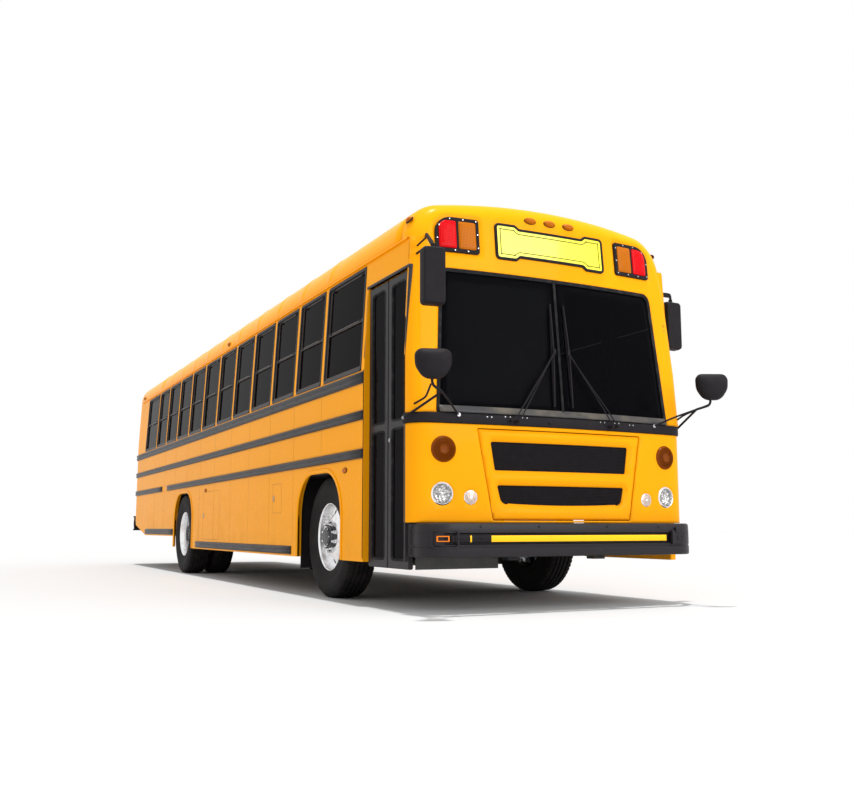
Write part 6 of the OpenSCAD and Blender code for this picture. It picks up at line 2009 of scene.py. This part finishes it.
def front_wheel(side):
    """Polished disc wheel with ten hand holes, dark hub, ten nuts and studs, a bright cap edge."""
    name = "left" if side > 0 else "right"
    body = f"front_{name}_wheel"
    x = (FRONT_TYRE[0][0] + FRONT_TYRE[1][0]) / 2
    place = wheel_place(side, x)
    tyre_mesh(Shape(), place).build(body + "_tyre", body, "tyre", slot="tyre",
        replaces=[f"front_{name}_tyre"], closed=True, angle=32)
    shape = Shape()
    shape.lathe([(0.2875, 0.104), (0.2905, 0.111), (0.289, 0.115), (0.285, 0.115), (0.279, 0.11),
        (0.276, 0.1), (0.272, 0.08), (0.266, 0.066), (0.262, 0.04), (0.26, -0.02), (0.264, -0.08),
        (0.272, -0.104), (0.287, -0.112), (0.2875, -0.104)], place, 96)
    levels = [(0.088, 0.098), (0.14, 0.098), (0.152, 0.096), (0.17, 0.088), (0.205, 0.072),
        (0.235, 0.06), (0.255, 0.056), (0.266, 0.058)]
    disc_mesh(shape, place, levels, 10, 0.0185, 0.214, 0.1, 0.266)
    nuts(shape, place, 10, 0.126, 0.099, 1)
    shape.lathe([(0.104, 0.094), (0.104, 0.106), (0.1, 0.11), (0.094, 0.112), (0.092, 0.128),
        (0.082, 0.134), (0.078, 0.15), (0.07, 0.153), (0.066, 0.158), (0.03, 0.16), (0.0005, 0.16)],
        place, 48, mark=2)
    for i in range(6):
        a = math.radians(i * 60)
        bolt(shape, place, 0.074 * math.cos(a), 0.074 * math.sin(a), 0.151, 0.006, 1)
    t = math.radians(40)
    valve = np.array([[0.262, 0.06], [0.25, 0.09], [0.24, 0.118]])
    shape.tube(place(np.c_[valve[:, 0] * math.cos(t), valve[:, 0] * math.sin(t), valve[:, 1]]),
        0.0042, 8, mark=1)
    shape.lathe([(0.094, -0.03), (0.094, 0.09)], place, 32, mark=2)
    shape.build(body + "_rim", body, ["aluminium", "bright", "hub"], slot="wheel",
        replaces=[f"front_{name}_rim"], closed=False, angle=40)


def rear_wheels(side):
    """Twin tyres on deep-dished discs, with the axle flange and its nuts in the dish."""
    name = "left" if side > 0 else "right"
    body = f"rear_{name}_wheels"
    outer, inner = 1.074, 0.752

    def at(x):
        return placed([side * x, REAR_AXLE_Y, AXLE_Z], (0, 1, 0), (0, 0, 1), (side, 0, 0))

    tyres = Shape()
    for x in (outer, inner):
        tyre_mesh(tyres, at(x), 120)
    tyres.build(body + "_tyres", body, "tyre", slot="tyre", replaces=[f"rear_{name}_tyres"],
        closed=True, angle=32)
    shape = Shape()
    rim = [(0.2875, 0.104), (0.2905, 0.111), (0.289, 0.1125), (0.285, 0.1125), (0.279, 0.108),
        (0.274, 0.098), (0.264, 0.076), (0.26, 0.02), (0.259, -0.06), (0.264, -0.09),
        (0.275, -0.106), (0.287, -0.112), (0.2875, -0.104)]
    shape.lathe(rim, at(outer), 96)
    shape.lathe(rim, at(inner), 64, mark=2)
    levels = [(0.08, -0.092), (0.15, -0.092), (0.165, -0.088), (0.205, -0.066), (0.24, -0.052),
        (0.262, -0.05)]
    disc_mesh(shape, at(outer), levels, 10, 0.0185, 0.214, 0.108, 0.2615)
    nuts(shape, at(outer), 10, 0.13, -0.091, 1)
    shape.lathe([(0.112, -0.094), (0.112, -0.03), (0.106, -0.022), (0.098, -0.018), (0.094, 0.03),
        (0.088, 0.038), (0.05, 0.042), (0.03, 0.05), (0.0005, 0.051)], at(outer), 40, mark=2)
    for i in range(8):
        a = math.radians(i * 45)
        bolt(shape, at(outer), 0.076 * math.cos(a), 0.076 * math.sin(a), 0.037, 0.009, 1)
    shape.lathe([(0.258, 0.086), (0.1, 0.092), (0.1, 0.098), (0.258, 0.094)], at(inner), 48, mark=2)
    shape.lathe([(0.11, -0.06), (0.11, 0.22)], at(inner), 24, mark=2)
    shape.build(body + "_rims", body, ["aluminium", "bright", "hub"], slot="wheel",
        replaces=[f"rear_{name}_rims"], closed=False, angle=40)


def running_gear():
    """Axles, frame and engine keep their frame shapes, with rough iron finishes, air tanks,
    their bands and straps, and hoses added."""
    paint("chassis", "chassis_frame", "front_axle", "rear_axle", "left_knuckle", "right_knuckle",
        "drive_shaft", "exhaust")
    paint("engine", "engine")
    paint("black", "fuel_tank")
    paint("plastic", "wheel_housings", "mud_flaps")
    shape = Shape()
    for x in (0.25, -0.25):
        y = at_axle(4.1)
        at = placed([x, y, 0.56], *REARWARD)
        shape.lathe([(0.0005, -0.402), (0.05, -0.398), (0.095, -0.37), (0.11, -0.33), (0.11, 0.33),
            (0.095, 0.37), (0.05, 0.398), (0.0005, 0.402)], at, 28)
        for d in (-0.2, 0.2):
            shape.lathe([(0.1105, d - 0.02), (0.114, d - 0.018), (0.114, d + 0.018),
                (0.1105, d + 0.02)], at, 28, mark=1)
            block(shape, (x - 0.02, y + d - 0.02, 0.665), (x + 0.02, y + d + 0.02, 0.76), 0.004, 1)
    for side in (-1, 1):
        for line in (
            ((0.33, -0.9, 0.72), (0.36, -0.45, 0.7), (0.47, -0.22, 0.66)),
            ((0.34, 4.6, 0.72), (0.4, 4.9, 0.66), (0.46, 5.1, 0.6)),
        ):
            path = curve_through([[side * x, at_axle(y), z] for x, y, z in line], 8)
            shape.tube(path, 0.011, 8, mark=2)
    for y in np.arange(1.0, 8.4, 0.74):
        if abs(y - 5.283) > 0.8 and abs(y) > 0.8:
            shape.tube(np.array([[0.445, at_axle(y), 0.8], [0.445, at_axle(y + 0.5), 0.8]]), 0.007,
                6, mark=2)
    shape.build("air_tanks_and_lines", "root", ["black", "steel", "rubber"], closed=False)
# ---------------------------------------------------------------- inside

SEAT_ROWS, ROW_PITCH, FIRST_ROW = 12, 0.735, -0.04


def pillow(low, high, axis, puff, seams, count):
    """A stuffed block: a rounded box whose faces swell by a smooth crown, sunk along each seam."""
    low, high = np.array(low, float), np.array(high, float)
    size, centre = (high - low) / 2, (high + low) / 2
    nu, nv = count
    u = full_turn(nu * 2)
    v = np.linspace(-math.pi / 2, math.pi / 2, nv)
    power = 0.28
    cu, su = np.cos(u), np.sin(u)
    ring_x, ring_y = np.sign(cu) * np.abs(cu) ** power, np.sign(su) * np.abs(su) ** power
    cv, sv = np.cos(v), np.sin(v)
    flat, up = np.abs(cv) ** power, np.sign(sv) * np.abs(sv) ** power
    points = np.stack([flat[:, None] * ring_x, flat[:, None] * ring_y,
        up[:, None] * np.ones(len(u))], -1)
    order = {2: (0, 1, 2), 1: (0, 2, 1), 0: (2, 1, 0)}[axis]
    points = points[..., order]
    others = [i for i in range(3) if i != axis]
    crown = np.prod([1 - points[..., i] ** 2 * 0.75 for i in others], axis=0)
    for seam in seams:
        crown = crown * (1 - 0.75
            * np.exp(-(((points[..., 0] * size[0] + centre[0]) - seam) / 0.012) ** 2))
    swell = np.zeros(points.shape)
    swell[..., axis] = np.sign(points[..., axis]) * crown * puff
    return points * (size - np.where(np.arange(3) == axis, puff, 0)) + centre + swell


def benches():
    """Bench cushions with two seams and high padded backs, one pair of benches a piece."""
    for row in range(SEAT_ROWS):
        y = at_axle(FIRST_ROW + row * ROW_PITCH)
        shape = Shape()
        for side in (-1, 1):
            x0, x1 = sorted((side * 0.179, side * 1.158))
            shape.grid(pillow((x0, y, 1.431), (x1, y + 0.388, 1.554), 2, 0.016,
                [x0 + (x1 - x0) / 3, x0 + 2 * (x1 - x0) / 3], (18, 9)), wrap_v=True)
            a, b = sorted((side * 0.2095, side * 1.158))
            shape.grid(pillow((a, y + 0.397, 1.431), (b, y + 0.475, 2.173), 1, 0.012, [], (18, 9)),
                wrap_v=True)
        pads = shape.build(f"bench_pads_{row + 1}", "root", "seat", slot="seat_vinyl",
            replaces=["seat_pads"], closed=True, angle=60)
    paint("black", "seat_frames")


def driver_place():
    """Driver's seat with bolsters on a pedestal, the wheel, dash, engine cover."""
    x, y = 0.72, at_axle(-0.95)
    seat = Shape()
    seat.grid(pillow((x - 0.234, y - 0.149, 1.4), (x + 0.234, y + 0.329, 1.51), 2, 0.02,
        [x - 0.15, x + 0.15], (26, 14)), wrap_v=True)
    seat.grid(pillow((x - 0.234, y + 0.302, 1.5), (x + 0.234, y + 0.429, 2.03), 1, 0.018,
        [x - 0.15, x + 0.15], (26, 14)), wrap_v=True)
    seat.grid(pillow((x - 0.15, y + 0.33, 2.035), (x + 0.15, y + 0.425, 2.208), 1, 0.012, [],
        (16, 9)), wrap_v=True)
    made = seat.build("driver_seat_pads", "root", "driver_seat", slot="seat_vinyl",
        replaces=["driver_seat"], closed=True, angle=60)
    base = Shape()
    block(base, (x - 0.165, y - 0.055, 1.121), (x + 0.165, y + 0.235, 1.15), 0.006)
    rows = []
    for z, k in ((1.15, 0.86), (1.2, 0.7), (1.24, 0.82), (1.28, 0.7), (1.32, 0.84), (1.36, 0.92),
            (1.398, 0.98)):
        q = rectangle(x - 0.15 * k, y + 0.09 - 0.13 * k, x + 0.15 * k, y + 0.09 + 0.13 * k, 0.03, 4)
        rows.append(np.c_[q, np.full(len(q), z)])
    base.grid(np.array(rows), wrap_v=True)
    for dx in (-0.06, 0.06):
        base.tube(np.array([[x + dx, y + 0.38, 2.0], [x + dx, y + 0.38, 2.06]]), 0.007, 8, mark=1)
    base.build("driver_seat_base", "root", ["plastic", "bright"], closed=False)
    top = np.array([0.72, at_axle(-1.36), 1.64])
    tilt = math.atan2(0.23, 0.32)
    axis = np.array([0, math.sin(tilt), math.cos(tilt)])
    place = placed(top, (1, 0, 0), (0, math.cos(tilt), -math.sin(tilt)), axis)
    wheel = Shape()
    t = full_turn(56)
    wheel.tube(place(np.c_[0.222 * np.cos(t), 0.222 * np.sin(t), np.full(56, 0.0263)]), 0.0136, 12,
        closed=True)
    for a in np.radians([30, 150, 270]):
        spoke = np.array([[r * math.cos(a), r * math.sin(a), h]
            for r, h in ((0.03, 0.02), (0.1, 0.021), (0.21, 0.026))])
        wheel.sweep(place(spoke), np.tile(place([[-math.sin(a), math.cos(a), 0]])[0] - top, (3, 1)),
            axis, rectangle(-0.013, -0.005, 0.013, 0.005, 0.003, 2), False, 1)
    wheel.lathe([(0.0445, 0.001), (0.0445, 0.018), (0.038, 0.027), (0.02, 0.03), (0.0005, 0.0305)],
        place, 32)
    wheel.build("steering_wheel_rim", "steering_wheel", ["plastic", "steel"],
        replaces=["steering_wheel"], closed=True)
    paint("plastic", "dashboard", "engine_cover")
    extra = Shape()
    at = placed([0.72, at_axle(-1.458), 1.35], (-1, 0, 0), (0, 0, 1), (0, 1, 0))
    for dx in (-0.16, -0.055, 0.055, 0.16):
        here = lambda p, dx=dx: at(np.asarray(p) + [dx, 0, 0])
        extra.lathe([(0.046, 0.0), (0.046, 0.01), (0.041, 0.012), (0.04, 0.006), (0.0005, 0.006)],
            here, 28, mark=1)
    for i in range(8):
        block(extra, (0.46 + i * 0.02, at_axle(-1.458), 1.3),
            (0.472 + i * 0.02, at_axle(-1.449), 1.325), 0.002, 2)
    # entrance grab rails and the rail round the driver
    extra.tube(bent(np.array([[-0.47, at_axle(-0.98), 1.2], [-0.47, at_axle(-0.98), 1.95],
        [-0.62, at_axle(-1.0), 2.02], [-1.1, at_axle(-0.99), 2.02]]), 0.1), 0.016, 12, mark=1)
    extra.tube(bent(np.array([[-1.02, at_axle(-1.735), 0.62], [-0.98, at_axle(-1.71), 1.35],
        [-0.6, at_axle(-1.7), 1.62], [-0.5, at_axle(-1.7), 1.46]]), 0.1), 0.015, 12, mark=1)
    lever = np.array([[0.38, at_axle(-1.3), 1.432], [0.38, at_axle(-1.33), 1.52],
        [0.37, at_axle(-1.36), 1.63]])
    extra.tube(curve_through(lever, 8), 0.01, 10, mark=2)
    extra.build("cab_fittings", "root", ["plastic", "bright", "steel"], closed=False)
    paint("floor_rubber", "floor", "entry_steps")
# ---------------------------------------------------------------- studio


# Low in front of the entrance side, tilted up a little and turned to the rear
CAMERA_AT = (-4.1089, -11.3159, 0.5923)
CAMERA_TURN = (math.pi / 2 + 0.1328, 0.0007, -0.4632)


def studio(looks):
    """A pale floor, an even bright sky, a large key light ahead, a weak fill, a sun, the camera."""
    scene = bpy.context.scene
    floor = Shape()
    size = looks.floor_size
    floor.add([[-size, -size, -0.001], [size, -size, -0.001], [size, size, -0.001],
        [-size, size, -0.001]], [[0, 1, 2, 3]])
    obj = floor.build("studio_floor", "root", "paper", closed=False)
    obj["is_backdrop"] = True
    world = bpy.data.worlds.new("studio")
    world.use_nodes = True
    scene.world = world
    back = world.node_tree.nodes["Background"]
    back.inputs["Color"].default_value = (1, 1, 1, 1)
    back.inputs["Strength"].default_value = looks.sky_strength
    for name, at, width, power, target in (
        ("key", (3.0, -14.0, 5.0), 6.0, looks.key_power, (0, -3, 1.5)),
        ("fill", (-16.0, 0.0, 6.0), 8.0, looks.key_power * 0.06, (0, 0, 1.5)),
    ):
        light = bpy.data.lights.new(name, "AREA")
        light.energy, light.size = power, width
        lamp = bpy.data.objects.new(name, light)
        lamp.location = at
        aim = np.array(target) - np.array(at)
        lamp.rotation_euler = (math.atan2(math.hypot(aim[0], aim[1]), -aim[2]), 0,
            math.atan2(aim[1], aim[0]) - math.pi / 2)
        scene.collection.objects.link(lamp)
    sun = bpy.data.lights.new("sun", "SUN")
    sun.energy, sun.angle = looks.sun_power, math.radians(2)
    scene.collection.objects.link(bpy.data.objects.new("sun", sun))
    camera = bpy.data.cameras.new("camera")
    camera.lens, camera.sensor_width = looks.lens, 36
    camera.clip_end = 200
    eye = bpy.data.objects.new("camera", camera)
    eye.location = CAMERA_AT
    eye.rotation_euler = CAMERA_TURN
    scene.collection.objects.link(eye)
    scene.camera = eye
    scene.view_settings.view_transform = "Standard"
    scene.render.resolution_x, scene.render.resolution_y = 854, 800


# ---------------------------------------------------------------- add-on


class BusLooks(bpy.types.PropertyGroup):
    """Colours and studio settings of the bus."""

    body_color: FloatVectorProperty(name="Body colour", description="Paint of the body",
        subtype="COLOR", size=3, min=0, max=1, default=(0.93, 0.36, 0.004))
    trim_color: FloatVectorProperty(name="Trim colour", description="Rails, bumpers and frames",
        subtype="COLOR", size=3, min=0, max=1, default=(0.018, 0.016, 0.018))
    red_color: FloatVectorProperty(name="Red lens colour", description="Red lamp lenses",
        subtype="COLOR", size=3, min=0, max=1, default=(0.74, 0.003, 0.007))
    amber_color: FloatVectorProperty(name="Amber lens colour", description="Amber lamp lenses",
        subtype="COLOR", size=3, min=0, max=1, default=(0.56, 0.15, 0.004))
    sign_color: FloatVectorProperty(name="Sign colour", description="Reflective sign sheet",
        subtype="COLOR", size=3, min=0, max=1, default=(0.9, 0.84, 0.02))
    floor_color: FloatVectorProperty(name="Floor colour", description="Studio floor",
        subtype="COLOR", size=3, min=0, max=1, default=(0.5, 0.5, 0.5))


class BusStudio(bpy.types.PropertyGroup):
    """The studio around the bus."""

    floor_size: FloatProperty(name="Floor size", description="Half the width of the studio floor",
        default=60.0, min=10, max=500, unit="LENGTH")
    sky_strength: FloatProperty(name="Sky strength", description="Brightness of the surroundings",
        subtype="FACTOR", default=1.0, min=0, max=10)
    key_power: FloatProperty(name="Key light power", description="Power of the large light",
        default=520.0, min=0, max=10000, unit="POWER")
    sun_power: FloatProperty(name="Sun power", description="Strength of the overhead light",
        subtype="FACTOR", default=3.1, min=0, max=20)
    lens: FloatProperty(name="Lens", description="Focal length of the camera", default=40.45,
        min=10, max=200, unit="CAMERA")


class BUS_OT_front(bpy.types.Operator):
    """Builds the front cap, nose, cowl and windshield"""

    bl_idname = "bus.front"
    bl_label = "Front"

    def execute(self, context):
        front_cap()
        fascia()
        cowl()
        windshield()
        return {"FINISHED"}


class BUS_OT_fittings(bpy.types.Operator):
    """Builds lamps, sign, bumper, crossing gate, mirrors and wipers"""

    bl_idname = "bus.fittings"
    bl_label = "Front fittings"

    def execute(self, context):
        warning_lamps()
        sign()
        front_lamps()
        bumper()
        mirrors()
        wipers()
        return {"FINISHED"}


class BUS_OT_body(bpy.types.Operator):
    """Builds windows, rails, doors, roof, tail and stop arm"""

    bl_idname = "bus.body"
    bl_label = "Sides, roof and tail"

    def execute(self, context):
        windows()
        side_details()
        rub_rails()
        entrance_door()
        roof()
        tail()
        stop_arm()
        return {"FINISHED"}


class BUS_OT_wheels(bpy.types.Operator):
    """Builds the wheels and running gear"""

    bl_idname = "bus.wheels"
    bl_label = "Wheels"

    def execute(self, context):
        for side in (-1, 1):
            front_wheel(side)
            rear_wheels(side)
        running_gear()
        return {"FINISHED"}


class BUS_OT_inside(bpy.types.Operator):
    """Builds seats, driver's place and cab fittings"""

    bl_idname = "bus.inside"
    bl_label = "Inside"

    def execute(self, context):
        benches()
        driver_place()
        return {"FINISHED"}


class BUS_OT_stage(bpy.types.Operator):
    """Builds the studio, lights and camera"""

    bl_idname = "bus.stage"
    bl_label = "Studio"

    def execute(self, context):
        studio(context.scene.bus_studio)
        return {"FINISHED"}


STEPS = (BUS_OT_front, BUS_OT_fittings, BUS_OT_body, BUS_OT_wheels, BUS_OT_inside, BUS_OT_stage)


class BUS_PT_panel(bpy.types.Panel):
    """Settings and buttons of the school bus"""

    bl_label = "School bus"
    bl_space_type = "VIEW_3D"
    bl_region_type = "UI"
    bl_category = "School bus"

    def draw(self, context):
        for group in (context.scene.bus_looks, context.scene.bus_studio):
            for key in type(group).__annotations__:
                self.layout.prop(group, key)
        for step in STEPS:
            self.layout.operator(step.bl_idname)


CLASSES = (BusLooks, BusStudio, *STEPS, BUS_PT_panel)


def register():
    """Adds the classes and the two groups of settings to Blender."""
    for item in CLASSES:
        bpy.utils.register_class(item)
    bpy.types.Scene.bus_looks = PointerProperty(type=BusLooks)
    bpy.types.Scene.bus_studio = PointerProperty(type=BusStudio)


def unregister():
    """Takes them away again."""
    del bpy.types.Scene.bus_studio
    del bpy.types.Scene.bus_looks
    for item in reversed(CLASSES):
        bpy.utils.unregister_class(item)


def main():
    """Runs every step."""
    register()
    bpy.ops.bus.front()
    bpy.ops.bus.fittings()
    bpy.ops.bus.body()
    bpy.ops.bus.wheels()
    bpy.ops.bus.inside()
    bpy.ops.bus.stage()
    sizes = {"cad": CAD_BOX, "final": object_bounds()}
    plain = {key: [[round(float(v), 5) for v in corner] for corner in box]
        for key, box in sizes.items()}


if __name__ == "__main__":
    main()
